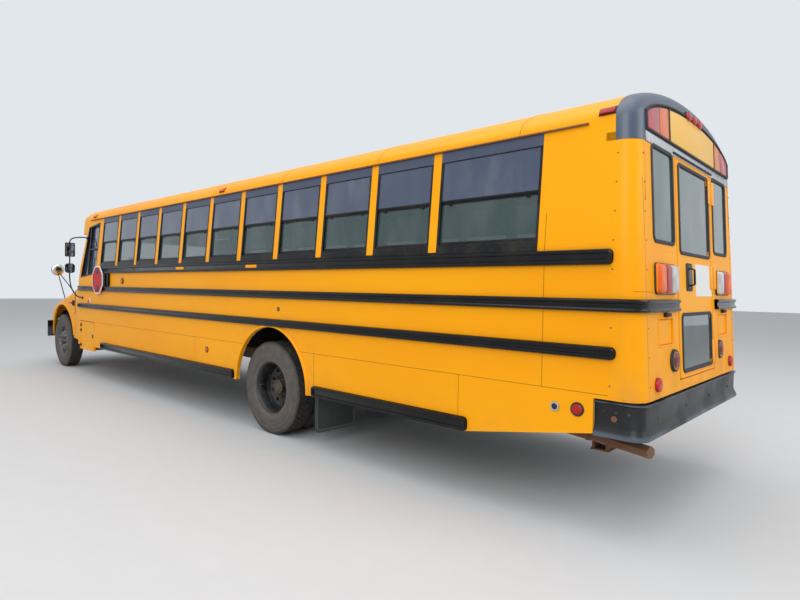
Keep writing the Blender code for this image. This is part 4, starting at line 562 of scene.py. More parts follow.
class Shape:
    """A mesh in the making. Each method adds one closed form, in the finish of that number."""

    def __init__(self):
        self.mesh = bmesh.new()

    def loft(self, rings, look=0, closed=False):
        """A skin over a row of outlines, with its ends filled in, or closed round to the first."""
        rows = [[self.mesh.verts.new(point) for point in ring] for ring in rings]
        pairs = list(zip(rows, rows[1:]))
        if closed:
            pairs.append((rows[-1], rows[0]))
        for first, second in pairs:
            for i in range(len(first)):
                j = (i + 1) % len(first)
                self.face((first[i], first[j], second[j], second[i]), look)
        if not closed:
            self.face(rows[0][::-1], look)
            self.face(rows[-1], look)

    def face(self, corners, look):
        self.mesh.faces.new(corners).material_index = look

    def plate(self, outline, place, thick, look=0, edge=0.0, back=0.0):
        """A plate on a surface: its outline, how far it stands out, and its face's rounded edge."""
        edge = min(edge, thick * 0.9)
        steps = [(0, -back), (0, thick - edge)]
        if edge:
            steps += [(edge * 0.3, thick - edge * 0.3), (edge, thick)]
        rings = []
        for drawn_in, out in steps:
            ring = inset(outline, drawn_in) if drawn_in else outline
            rings.append([place(u, v, out) for u, v in ring])
        self.loft(rings, look)

    def frame(self, outline, place, width, thick, look=0, edge=0.0, back=0.0):
        """A closed band that follows an outline, inwards from it."""
        edge = min(edge, thick * 0.9, width * 0.45)
        section = [(0, -back), (0, thick - edge)]
        if edge:
            section += [(edge * 0.3, thick - edge * 0.3), (edge, thick), (width - edge, thick)]
            section += [(width - edge * 0.3, thick - edge * 0.3)]
        section += [(width, thick - edge), (width, -back)]
        rings = []
        for drawn_in, out in section:
            ring = inset(outline, drawn_in) if drawn_in else outline
            rings.append([place(u, v, out) for u, v in ring])
        self.loft(rings, look, closed=True)

    def bar(self, low, high, edge=0.004, look=0, place=None, segments=2):
        """A box with its edges rounded over."""
        before = set(self.mesh.faces)
        size = [max(b - a, 1e-5) for a, b in zip(low, high)]
        middle = [(a + b) / 2 for a, b in zip(low, high)]
        made = bmesh.ops.create_cube(
            self.mesh, size=1, matrix=Matrix.Translation(middle) @ Matrix.Diagonal((*size, 1)),
        )
        if edge:
            edges = dict.fromkeys(e for v in made["verts"] for e in v.link_edges)
            offset = min(edge, min(size) * 0.45)
            bmesh.ops.bevel(
                self.mesh, geom=list(edges), offset=offset, segments=segments, affect="EDGES", profile=0.5,
            )
        fresh = set(self.mesh.faces) - before
        for face in fresh:
            face.material_index = look
        if place:
            for vert in {v for face in fresh for v in face.verts}:
                vert.co = place(*vert.co)

    def tube(self, points, radius, look=0, sides=10, closed=False):
        """A round bar through some points."""
        points = [Vector(point) for point in points]
        rings = []
        side = None
        for index, point in enumerate(points):
            if closed:
                along = points[(index + 1) % len(points)] - points[index - 1]
            else:
                along = points[min(index + 1, len(points) - 1)] - points[max(index - 1, 0)]
            along.normalize()
            if side is None:
                helper = Vector((0, 0, 1)) if abs(along.z) < 0.9 else Vector((1, 0, 0))
                side = along.cross(helper).normalized()
            side = (side - along * side.dot(along)).normalized()
            up = along.cross(side)
            here = radius[index] if isinstance(radius, (list, tuple)) else radius
            turns = [2 * math.pi * i / sides for i in range(sides)]
            rings.append(
                [tuple(point + side * here * math.cos(t) + up * here * math.sin(t)) for t in turns]
            )
        self.loft(rings, look, closed=closed)

    def lathe(self, profile, centre, side, look=0, sides=64):
        """A turned form: a profile of (radius, outward) about a line across the bus."""
        x, y, z = centre
        rings = []
        for i in range(sides):
            turn = 2 * math.pi * i / sides
            rings.append(
                [(x + r * math.cos(turn), y + side * out, z + r * math.sin(turn)) for r, out in profile]
            )
        self.loft(rings, look, closed=True)

    def dome(self, centre, direction, radius, rise, look=0, sides=20, rings=5):
        """A low round cap that stands on a surface."""
        out = Vector(direction).normalized()
        helper = Vector((0, 0, 1)) if abs(out.z) < 0.9 else Vector((1, 0, 0))
        side = out.cross(helper).normalized()
        up = out.cross(side)
        rows = []
        for step in range(rings):
            lift = math.pi / 2 * step / rings
            across, high = radius * math.cos(lift), rise * math.sin(lift)
            turns = [2 * math.pi * i / sides for i in range(sides)]
            rows.append(
                [
                    tuple(
                        Vector(
                            centre
                        ) + side * across * math.cos(t) + up * across * math.sin(t) + out * high
                    ) for t in turns
                ]
            )
        self.loft(rows, look)

    def made(self, name, finishes, body="root", slot="black_trim", replaces=(), angle=35):
        """Turns the shape into a piece that rides on a body."""
        bmesh.ops.recalc_face_normals(self.mesh, faces=list(self.mesh.faces))
        data = bpy.data.meshes.new(name)
        self.mesh.to_mesh(data)
        self.mesh.free()
        return piece(name, data, finishes, body, slot, replaces, angle)


def piece(name, data, finishes, body="root", slot="black_trim", replaces=(), angle=35):
    """An object at the origin with smooth faces, riding on a body."""
    for number, finish in enumerate(finishes):
        if number < len(data.materials):
            data.materials[number] = FINISHES[finish]
        else:
            data.materials.append(FINISHES[finish])
    data.shade_smooth()
    data.set_sharp_from_angle(angle=math.radians(angle))
    made = bpy.data.objects.new(name, data)
    bpy.context.scene.collection.objects.link(made)
    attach(made, body)
    if replaces:
        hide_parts(*replaces)
    return made


FINISHES = {}


def applied(made):
    """The piece with its modifiers worked into its mesh."""
    bpy.context.view_layer.update()
    graph = bpy.context.evaluated_depsgraph_get()
    fresh = bpy.data.meshes.new_from_object(made.evaluated_get(graph))
    for modifier in list(made.modifiers):
        made.modifiers.remove(modifier)
    made.data = fresh
    return made


def block(low, high):
    """A plain block, to cut with."""
    shape = Shape()
    shape.bar(low, high, 0)
    return mesh_of(shape)


def cut_by(mesh, cutter):
    """A mesh with another cut out of it."""
    pair = [bpy.data.objects.new("working_shape", data) for data in (mesh, cutter)]
    for helper in pair:
        bpy.context.scene.collection.objects.link(helper)
    boolean = pair[0].modifiers.new("Cut", "BOOLEAN")
    boolean.operation = "DIFFERENCE"
    boolean.object = pair[1]
    boolean.solver = "EXACT"
    applied(pair[0])
    fresh = pair[0].data
    for helper in pair:
        bpy.data.objects.remove(helper)
    return fresh


def mesh_of(shape):
    """The shape as a plain mesh, to work on further."""
    bmesh.ops.recalc_face_normals(shape.mesh, faces=list(shape.mesh.faces))
    data = bpy.data.meshes.new("working_shape")
    shape.mesh.to_mesh(data)
    shape.mesh.free()
    return data


# Repeats


def new_tree(name, sockets):
    """A Geometry Nodes tree with named inputs, and one geometry going in and out."""
    tree = bpy.data.node_groups.new(name, "GeometryNodeTree")
    tree.interface.new_socket("Geometry", in_out="INPUT", socket_type="NodeSocketGeometry")
    for label, kind in sockets:
        tree.interface.new_socket(label, in_out="INPUT", socket_type=kind)
    tree.interface.new_socket("Geometry", in_out="OUTPUT", socket_type="NodeSocketGeometry")
    return tree, tree.nodes.new("NodeGroupInput"), tree.nodes.new("NodeGroupOutput")


def tree_node(tree, kind, settings=None, values=None):
    made = tree.nodes.new(kind)
    for name, value in (settings or {}).items():
        setattr(made, name, value)
    for name, value in (values or {}).items():
        if isinstance(value, bpy.types.NodeSocket):
            tree.links.new(value, made.inputs[name])
        else:
            made.inputs[name].default_value = value
    return made


def finish_tree(tree, copies, given, out):
    """Realizes the copies and gives them their finish."""
    solid = tree_node(tree, "GeometryNodeRealizeInstances", {}, {0: copies})
    smooth = tree_node(tree, "GeometryNodeSetShadeSmooth", {}, {0: solid.outputs[0]})
    dressed = tree_node(
        tree, "GeometryNodeSetMaterial", {}, {0: smooth.outputs[0], "Material": given.outputs["Finish"]},
    )
    tree.links.new(dressed.outputs[0], out.inputs[0])


def stud_tree():
    """Low domed heads, one on each point, that face along the point's own direction."""
    sockets = (
        ("Radius", "NodeSocketFloat"), ("Height", "NodeSocketFloat"), ("Finish", "NodeSocketMaterial"),
    )
    tree, given, out = new_tree("Studs", sockets)
    ball = tree_node(tree, "GeometryNodeMeshUVSphere", {}, {"Segments": 8, "Rings": 5, "Radius": 1.0})
    facing = tree_node(
        tree, "GeometryNodeInputNamedAttribute", {"data_type": "FLOAT_VECTOR"}, {"Name": "facing"},
    )
    turn = tree_node(
        tree, "FunctionNodeAlignRotationToVector", {"axis": "Z"}, {"Vector": facing.outputs[0]},
    )
    size = tree_node(
        tree, "ShaderNodeCombineXYZ", {},
        {0: given.outputs["Radius"], 1: given.outputs["Radius"], 2: given.outputs["Height"]},
    )
    copies = tree_node(
        tree, "GeometryNodeInstanceOnPoints", {},
        {
            "Points": given.outputs["Geometry"],
            "Instance": ball.outputs[0],
            "Rotation": turn.outputs[0],
            "Scale": size.outputs[0],
        },
    )
    finish_tree(tree, copies.outputs[0], given, out)
    return tree


def copies_tree():
    """Copies of a pattern, one on each point, turned by the point's own rotation."""
    sockets = (("Pattern", "NodeSocketObject"), ("Finish", "NodeSocketMaterial"))
    tree, given, out = new_tree("Copies", sockets)
    pattern = tree_node(tree, "GeometryNodeObjectInfo", {}, {"Object": given.outputs["Pattern"]})
    turn = tree_node(
        tree, "GeometryNodeInputNamedAttribute", {"data_type": "FLOAT_VECTOR"}, {"Name": "turn"},
    )
    copies = tree_node(
        tree, "GeometryNodeInstanceOnPoints", {},
        {
            "Points": given.outputs["Geometry"],
            "Instance": pattern.outputs["Geometry"],
            "Rotation": turn.outputs[0],
        },
    )
    finish_tree(tree, copies.outputs[0], given, out)
    return tree


def row_tree():
    """Copies of a pattern in a straight row, as many as its count and as far apart as its pitch."""
    sockets = (("Pattern", "NodeSocketObject"), ("Count", "NodeSocketInt"), ("Pitch", "NodeSocketFloat"))
    tree, given, out = new_tree("Row", sockets)
    pattern = tree_node(tree, "GeometryNodeObjectInfo", {}, {"Object": given.outputs["Pattern"]})
    step = tree_node(tree, "ShaderNodeCombineXYZ", {}, {0: given.outputs["Pitch"]})
    line = tree_node(
        tree, "GeometryNodeMeshLine", {}, {"Count": given.outputs["Count"], "Offset": step.outputs[0]},
    )
    copies = tree_node(
        tree, "GeometryNodeInstanceOnPoints", {},
        {"Points": line.outputs[0], "Instance": pattern.outputs["Geometry"]},
    )
    solid = tree_node(tree, "GeometryNodeRealizeInstances", {}, {0: copies.outputs[0]})
    tree.links.new(solid.outputs[0], out.inputs[0])
    return tree


def grown(name, points, tree, inputs, attributes=()):
    """The plain mesh that a Geometry Nodes tree makes from some points."""
    data = bpy.data.meshes.new(name)
    data.from_pydata([tuple(point) for point in points], [], [])
    for label, values in attributes:
        layer = data.attributes.new(label, "FLOAT_VECTOR", "POINT")
        for item, value in zip(layer.data, values):
            item.vector = value
    helper = bpy.data.objects.new(name, data)
    bpy.context.scene.collection.objects.link(helper)
    modifier = helper.modifiers.new("Repeat", "NODES")
    modifier.node_group = tree
    for socket in tree.interface.items_tree:
        if socket.in_out == "INPUT" and socket.name in inputs:
            modifier[socket.identifier] = inputs[socket.name]
    applied(helper)
    fresh = helper.data
    bpy.data.objects.remove(helper)
    return fresh


def studs(name, rows, radius, finish, body="root", height=None, slot="yellow"):
    """Rivet or bolt heads at places that each have a direction."""
    radius = radius * bpy.context.scene.bus_fittings.rivet_size
    inputs = {"Radius": radius, "Height": height or radius * 0.5, "Finish": FINISHES[finish]}
    points = [point for point, _ in rows]
    data = grown(name, points, stud_tree(), inputs, [("facing", [out for _, out in rows])])
    return piece(name, data, [finish], body, slot)


def copied(name, pattern, points, turns, finish, body, slot):
    """Copies of one shape at places, each with its own turn."""
    helper = bpy.data.objects.new("pattern", mesh_of(pattern))
    bpy.context.scene.collection.objects.link(helper)
    inputs = {"Pattern": helper, "Finish": FINISHES[finish]}
    data = grown(name, points, copies_tree(), inputs, [("turn", turns)])
    bpy.data.objects.remove(helper)
    return piece(name, data, [finish], body, slot)


def row_of(name, pattern, count, pitch, finishes, **settings):
    """A row of one shape along the bus, keeping its several finishes."""
    data = mesh_of(pattern)
    for finish in finishes:
        data.materials.append(FINISHES[finish])
    helper = bpy.data.objects.new("pattern", data)
    bpy.context.scene.collection.objects.link(helper)
    inputs = {"Pattern": helper, "Count": count, "Pitch": pitch}
    grown_mesh = grown(name, [(0, 0, 0)], row_tree(), inputs)
    bpy.data.objects.remove(helper)
    return piece(name, grown_mesh, finishes, **settings)


# Stage and finishes

CAMERA_AT = (-7.2502, 4.7246, 1.6095)
CAMERA_TURNS = (-47.331, 1.0888, 0.9927)
GROUND_REACH = 60


def make_ground(scene, wanted):
    """The pale floor, one wide square."""
    corners = [(x * GROUND_REACH, y * GROUND_REACH, 0) for x, y in ((-1, -1), (1, -1), (1, 1), (-1, 1))]
    data = bpy.data.meshes.new("floor_stage")
    data.from_pydata(corners, [], [(0, 1, 2, 3)])
    made = Finish("stage_floor", roughness=0.85)
    made.colour(made.mixed(made.noise(6, 5) * 0.3, (*wanted.floor_colour, 1), tint(188, 189, 190)))
    data.materials.append(made.material)
    floor = bpy.data.objects.new("floor_stage", data)
    scene.collection.objects.link(floor)


def make_world(scene, wanted):
    """A pale sky that the camera sees, also in gloss and through glass, and softer light from it."""
    world = bpy.data.worlds.new("pale_sky")
    world.use_nodes = True
    tree = world.node_tree
    ground_light = tree.nodes["Background"]
    ground_light.inputs["Color"].default_value = (0.95, 0.97, 1.0, 1)
    ground_light.inputs["Strength"].default_value = 0.62
    seen = tree.nodes.new("ShaderNodeBackground")
    seen.inputs["Color"].default_value = (*wanted.sky_colour, 1)
    seen.inputs["Strength"].default_value = 1.0
    ray = tree.nodes.new("ShaderNodeLightPath")
    shown = ray.outputs["Is Camera Ray"]
    for kind in ("Is Glossy Ray", "Is Transmission Ray"):
        either = tree.nodes.new("ShaderNodeMath")
        either.operation = "MAXIMUM"
        tree.links.new(shown, either.inputs[0])
        tree.links.new(ray.outputs[kind], either.inputs[1])
        shown = either.outputs[0]
    mix = tree.nodes.new("ShaderNodeMixShader")
    tree.links.new(shown, mix.inputs[0])
    tree.links.new(ground_light.outputs[0], mix.inputs[1])
    tree.links.new(seen.outputs[0], mix.inputs[2])
    tree.links.new(mix.outputs[0], tree.nodes["World Output"].inputs[0])
    scene.world = world


def make_lamps(scene, wanted):
    """Three soft lamps: above, on the left and behind."""
    for name, place, size, power, aim in (
        ("sky_light", (-2, 3, 14), 16, 1150, (0, 0, 0)), ("left_light", (-9, 14, 9), 9, 900, (0, 0, 1.5)),
        ("rear_light", (-15, -3, 7), 7, 420, (-6, 0, 1.6)),
    ):
        lamp = bpy.data.lights.new(name, "AREA")
        lamp.size = size
        lamp.energy = power * wanted.lamp_level
        made = bpy.data.objects.new(name, lamp)
        made.location = place
        made.rotation_euler = (Vector(aim) - Vector(place)).to_track_quat("-Z", "Y").to_euler()
        scene.collection.objects.link(made)


def make_camera(scene, wanted):
    """The camera where the photo was taken from, held level apart from its small roll."""
    heading, pitch, roll = (math.radians(turn) for turn in CAMERA_TURNS)
    ahead = Vector(
        (math.cos(heading) * math.cos(pitch), math.sin(heading) * math.cos(pitch), -math.sin(pitch))
    )
    right = Vector((math.sin(heading), -math.cos(heading), 0))
    up = right.cross(ahead)
    across = right * math.cos(roll) + up * math.sin(roll)
    above = up * math.cos(roll) - right * math.sin(roll)
    lens = bpy.data.cameras.new("photo_camera")
    lens.sensor_width = 36
    lens.lens = wanted.lens
    lens.clip_end = 200
    camera = bpy.data.objects.new("photo_camera", lens)
    camera.matrix_world = Matrix.Translation(CAMERA_AT) @ Matrix(
        (across, above, -ahead)
    ).transposed().to_4x4()
    scene.collection.objects.link(camera)
    scene.camera = camera


def make_stage():
    """The ground, the world, the lamps and the camera."""
    scene = bpy.context.scene
    scene.view_settings.view_transform = "Standard"
    for make in (make_ground, make_world, make_lamps, make_camera):
        make(scene, scene.bus_stage)


def make_finishes():
    """Every finish, kept by name."""
    front_x, rear_axle_x = at(FRONT_AXLE_S), at(REAR_AXLE_S)
    made = {
        "yellow": paint("body_yellow"),
        "hood_yellow": paint("hood_yellow"),
        "roof_yellow": paint("roof_yellow", seams=[at(s) for s in (*ROOF_LAPS_S, 9.3)]),
        "side": side_paint(),
        "rear": rear_paint(),
        "black": black_enamel(),
        "bumper": bumper_black(),
        "sash": black_enamel("sash_black", 0.35, 0.25),
        "slate": slate(),
        "header": slate("header_slate", (58, 66, 88), (78, 86, 102)),
        "seal": rubber(),
        "flap": rubber("flap_rubber", (54, 58, 57), 0.6),
        "worn_flap": rubber("worn_flap_rubber", (92, 100, 100), 0.6),
        "front_tyre": tyre_rubber("front_tyre_rubber", front_x),
        "rear_tyre": tyre_rubber("rear_tyre_rubber", rear_axle_x),
        "front_rim": rim_paint("front_rim_grey", front_x, (92, 93, 95), (66, 62, 58), 0.3),
        "rear_rim": rim_paint("rear_rim_black", rear_axle_x, (22, 22, 24), (60, 58, 56), 0.25),
        "hub_brown": steel("hub_brown", (74, 62, 50), rust=0.5, dust=0.5, roughness=0.6),
        "front_hub": steel("front_hub_black", (30, 30, 32), rust=0.2, dust=0.3, roughness=0.5),
        "chassis": steel("chassis_black", (34, 33, 33), rust=0.45),
        "rust": steel("rusty_steel", (112, 74, 50), rust=0.9, dust=0.5, roughness=0.8),
        "zinc": bright_metal("dull_zinc"),
        "mirror_shell": black_enamel("mirror_shell", 0.4, 0.5),
        "chrome": bright_metal("bright_chrome", (226, 228, 230), 0.06),
        "mirror": bright_metal("mirror_glass", (214, 220, 226), 0.03),
        "tinted": glass("tinted_glass", (54, 68, 96), 0.86),
        "lower_pane": glass("lower_pane_glass", (52, 78, 78), 0.55),
        "rear_pane": glass("rear_pane_glass", (54, 82, 82), 0.82),
        "clear": glass("clear_glass", (96, 112, 112), 0.14),
        "amber": lens("amber_lens", (246, 104, 4)),
        "red": lens("red_lens", (186, 8, 16)),
        "clear_lens": lens("clear_lens", (214, 216, 214)),
        "pink": lens("faded_red_lens", (196, 88, 96)),
        "peach": lens("faded_amber_lens", (230, 120, 66)),
        "dark_red": lens("dark_red_lens", (112, 30, 22)),
        "vinyl": vinyl("bench_vinyl", (38, 66, 52), (64, 92, 76)),
        "driver_vinyl": vinyl("driver_seat_cloth", (52, 56, 62), (78, 82, 88)),
        "dash_grey": rubber("dashboard_plastic", (62, 64, 68), 0.55),
        "gauge": rubber("gauge_face", (16, 17, 20), 0.3),
        "lining": sheeting("cabin_lining", (206, 208, 204)),
        "mat": ribbed_mat(),
        "sign_amber": sheeting("blank_amber_sign", (236, 186, 92)),
        "sign_red": sheeting("blank_red_sign", (184, 14, 24)),
        "white": sheeting("white_sheeting", (226, 226, 222)),
        "trim_brown": steel("gutter_brown", (120, 72, 26), rust=0.3, dust=0.2),
    }
    FINISHES.update({name: finish.material for name, finish in made.items()})


CAD_FINISHES = {
    "side": ("side_wall_left", "side_wall_right"),
    "rear": ("rear_wall",),
    "yellow": (
        "cowl", "front_cap", "rear_door", "battery_door", "roof_hatch_front", "roof_hatch_rear", "roof",
    ),
    "hood_yellow": ("hood",),
    "slate": ("rear_cap",),
    "black": (
        "crossview_mirror_left", "crossview_mirror_right", "dashboard", "door_leaf_front", "door_leaf_rear",
        "fuel_tank", "grille", "side_mirror_left", "side_mirror_right", "step_well",
    ),
    "bumper": ("front_bumper", "rear_bumper"),
    "sash": ("window_frames_left", "window_frames_right"),
    "chassis": (
        "frame", "battery_tray", "front_axle", "rear_axle", "knuckle_left", "knuckle_right", "engine",
    ),
    "rust": ("exhaust",),
    "flap": ("mud_flap_left", "mud_flap_right"),
    "tinted": (
        "door_glass_front", "door_glass_rear", "driver_window", "window_glass_left", "window_glass_right",
    ),
    "rear_pane": ("rear_door_glass", "rear_glass_left", "rear_glass_right"),
    "clear": ("windshield",),
    "sign_red": ("stop_arm",),
    "mat": ("floor",),
    "vinyl": ("benches_left", "benches_right", "driver_seat"),
    "front_rim": ("front_wheel_left", "front_wheel_right"),
    "rear_rim": ("rear_wheel_left", "rear_wheel_right"),
    "front_tyre": ("front_tyre_left", "front_tyre_right"),
    "rear_tyre": (
        "rear_tyre_left_inner", "rear_tyre_left_outer", "rear_tyre_right_inner", "rear_tyre_right_outer",
    ),
}


def dress_frame():
    """The CAD nodes' own finishes."""
    for finish, nodes in CAD_FINISHES.items():
        for name in nodes:
            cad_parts[name].material_slots[0].material = FINISHES[finish]


# Windows

WINDOW_PITCH = 0.724
PILLAR = 0.083
FIRST_PILLAR_S = 1.66
REAR_WINDOW_S = 0.755
WINDOW_Z = (1.908, 2.724)
BAR_Z = 2.31
WINDOW_FINISHES = ("sash", "header", "tinted", "lower_pane", "zinc", "seal")


def rectangle(x0, x1, z0, z1):
    """A plain rectangle's outline, anticlockwise."""
    return [(x0, z0), (x1, z0), (x1, z1), (x0, z1)]


def window(shape, side, rear_end, front_end):
    """One split window: its black frame and header, two sashes and their panes, set back from the skin."""
    place = on_side(side)
    low, high = WINDOW_Z
    jamb, deep = 0.02, 0.03

    def strip(x0, x1, z0, z1, back, front, look, edge=0.002):
        shape.bar((x0, back, z0), (x1, front, z1), edge, look, upright(place), segments=1)

    strip(rear_end, rear_end + jamb, low, high, -deep, 0.003, 0)
    strip(front_end - jamb, front_end, low, high, -deep, 0.003, 0)
    strip(rear_end - 0.04, rear_end + jamb, low, high, -0.05, -0.032, 0)
    strip(front_end - jamb, front_end + 0.04, low, high, -0.05, -0.032, 0)
    strip(rear_end, front_end, low, low + 0.058, -0.004, 0.0035, 0)
    strip(rear_end, front_end, high - 0.092, high, -0.004, 0.0035, 1)
    strip(rear_end, front_end, low + 0.03, low + 0.06, -deep, -0.004, 0)
    strip(rear_end, front_end, high - 0.098, high - 0.03, -deep, -0.004, 0)
    left, right = rear_end + jamb, front_end - jamb
    strip(left, right, BAR_Z - 0.004, BAR_Z + 0.014, -0.02, -0.003, 0)
    strip(left, right, BAR_Z - 0.016, BAR_Z - 0.004, -0.03, -0.012, 0)
    strip(left + 0.01, right - 0.01, BAR_Z - 0.02, BAR_Z - 0.016, -0.022, -0.0145, 5, 0.001)
    strip(left, right, low + 0.06, low + 0.078, -0.03, -0.012, 0)
    strip(left + 0.01, right - 0.01, low + 0.078, low + 0.082, -0.024, -0.0155, 5, 0.001)
    for x in (left + 0.07, right - 0.1):
        strip(x, x + 0.03, BAR_Z - 0.03, BAR_Z - 0.012, -0.014, -0.006, 0, 0.003)
    strip(left - 0.004, right + 0.004, BAR_Z + 0.01, high - 0.09, -0.0105, -0.0075, 2, 0)
    strip(left - 0.004, right + 0.004, low + 0.07, BAR_Z - 0.01, -0.0225, -0.0195, 3, 0)


def make_windows():
    """Both sides' windows: a row of like ones and the odd ones at the ends."""
    first = at(FIRST_PILLAR_S + PILLAR)
    width = WINDOW_PITCH - PILLAR
    for name, side in SIDES:
        count = 10 if side > 0 else 9
        pattern = Shape()
        window(pattern, side, first, first + width)
        row_of(
            f"window_row_{name}", pattern, count, WINDOW_PITCH, WINDOW_FINISHES, slot="tinted_glass",
            replaces=(f"window_frames_{name}", f"window_glass_{name}"),
        )
        ends = Shape()
        window(ends, side, at(REAR_WINDOW_S), at(FIRST_PILLAR_S))
        if side < 0:
            start = first + WINDOW_PITCH * count
            window(ends, side, start, start + 0.47)
        ends.made(f"end_windows_{name}", WINDOW_FINISHES, slot="tinted_glass")
        trim = Shape()
        place = on_side(side)
        front = at(8.95) if side > 0 else at(8.7)
        trim.bar((at(REAR_WINDOW_S), -0.002, 1.889), (front, 0.006, 1.909), 0.002, 0, upright(place))
        trim.bar((at(0.43), -0.004, 2.716), (at(9.5), 0.02, 2.729), 0.004, 1, upright(place))
        trim.made(f"sill_and_gutter_{name}", ("sash", "trim_brown"), slot="black_trim")


def make_driver_window():
    """The driver's window: its black frame, the post between its panes, and the quarter pane's seal."""
    place = on_side(1)
    outline = [(at(s), z) for s, z in ((9.06, 1.79), (9.83, 1.72), (9.568, 2.61), (9.06, 2.66))]
    shape = Shape()
    shape.frame(outline, place, 0.026, 0.005, 0, 0.002, back=0.034)
    shape.bar((at(9.46), -0.03, 1.77), (at(9.5), -0.002, 2.62), 0.003, 0, upright(place))
    shape.bar((at(9.09), -0.028, 2.2), (at(9.46), -0.008, 2.225), 0.003, 0, upright(place))
    shape.made("driver_window_frame", ("sash",))


# Rear crown, its sign and warning lamps

CROWN_LOW_Z = 2.585
CORNER_RADIUS = 0.12
PANEL_ARC = (1.07, 2.73, 0.225)
PANEL_LOW_Z = 2.66


def crown_ring(turn):
    """The crown's outline where its rounded rear edge has turned so far, from face to side."""
    drawn, forward = 1 - math.sin(turn), CORNER_RADIUS * (1 - math.cos(turn))
    ring = []
    low_half = side_y(CROWN_LOW_Z) - CORNER_RADIUS * drawn + 0.003
    arc = []
    for i in range(ROOF_STEPS + 1):
        around = math.pi * i / ROOF_STEPS
        depth = CORNER_RADIUS - (CORNER_RADIUS - 0.075) * math.sin(around)
        half, rise = TOP_Y - depth * drawn + 0.003, ROOF_RISE - depth * drawn + 0.003
        arc.append((half * math.cos(around), GUTTER_Z + rise * math.sin(around)))
    section = [(low_half, CROWN_LOW_Z), *arc, (-low_half, CROWN_LOW_Z)]
    for y, z in section:
        ring.append((rear_x(z) - 0.003 + forward, y, z))
    return ring


def panel_top(y, under=0.0):
    half, base, rise = PANEL_ARC
    return base + rise * math.sqrt(max(1 - (y / half) ** 2, 0)) - under


def panel_outline(y0, y1, low, under, steps=10):
    """A panel's outline on the rear face, with its top along the crown's arc. It runs anticlockwise."""
    across = [y1 + (y0 - y1) * i / steps for i in range(steps + 1)]
    return [(y0, low), (y1, low), *[(y, panel_top(y, under)) for y in across]]


def make_crown():
    """The slate crown at the rear, with its blank sign, warning lamps, top lamps and riveted band."""
    rings = [crown_ring(math.radians(9 * step)) for step in range(11)]
    shape = Shape()
    last = [(x + 0.02, y, z) for x, y, z in rings[-1]]
    shape.loft([*rings, last])
    front = at(0.3096)
    arc = roof_arc(TOP_Y, GUTTER_Z, ROOF_RISE)
    low_half = side_y(CROWN_LOW_Z)
    section = [(low_half, CROWN_LOW_Z), *arc, (-low_half, CROWN_LOW_Z)]
    yellow = [[(rear_x(z) + CORNER_RADIUS, y, z) for y, z in section], [(front, y, z) for y, z in section]]
    shape.loft(yellow, 1)
    shape.made("rear_crown", ("slate", "yellow"), slot="slate_cap", replaces=("rear_cap",))
    board = Shape()
    whole = panel_outline(-1.035, 1.035, PANEL_LOW_Z, 0, 40)
    board.plate(whole, on_rear, 0.006, 0, 0.002, back=0.02)
    board.frame(whole, on_rear, 0.014, 0.016, 0, 0.005, back=0.01)
    board.plate(panel_outline(-0.56, 0.56, PANEL_LOW_Z + 0.018, 0.03, 30), on_rear, 0.013, 1, 0.003)
    for _, side in SIDES:
        for near, far, look in ((0.592, 0.775, 3), (0.79, 1.0, 2)):
            low, high = sorted((side * near, side * far))
            lamp = panel_outline(low, high, PANEL_LOW_Z + 0.018, 0.026, 12)
            board.plate(lamp, on_rear, 0.012, look, 0.004)
        board.bar(
            (0.578 * side - 0.006, 0, PANEL_LOW_Z), (0.578 * side + 0.006, 0.015, 2.905), 0.003, 0,
            upright(on_rear),
        )
    for y in (-0.14, 0.0, 0.14):
        top = panel_top(y)
        board.plate(
            rounded((y - 0.04, top - 0.032), (y + 0.04, top + 0.022), 0.008), on_rear, 0.03, 4, 0.008,
        )
        board.frame(
            rounded((y - 0.045, top - 0.037), (y + 0.045, top + 0.027), 0.01), on_rear, 0.006, 0.012, 0,
        )
    board.plate(rectangle(-1.03, 1.03, 2.588, 2.652), on_rear, 0.004, 5, 0.001, back=0.004)
    board.made(
        "rear_sign_panel", ("seal", "sign_amber", "pink", "peach", "red", "zinc"), slot="signal_red",
        angle=50,
    )
    rows = [(on_rear(-1.0 + 2.0 * i / 24, 2.63, 0.004), REARWARD) for i in range(25)]
    studs("rear_band_rivets", rows, 0.006, "zinc", slot="black_trim")


# Rear face

TAIL_LENSES = (("amber", 0.872, 0.13), ("red", 0.742, 0.126), ("clear_lens", 0.613, 0.128))
REAR_PANE = ((0.503, 1.943), (0.947, 2.597))
REAR_HINGES_Z = (1.15, 1.75, 2.45)
REARWARD = (-1, 0, 0.05)


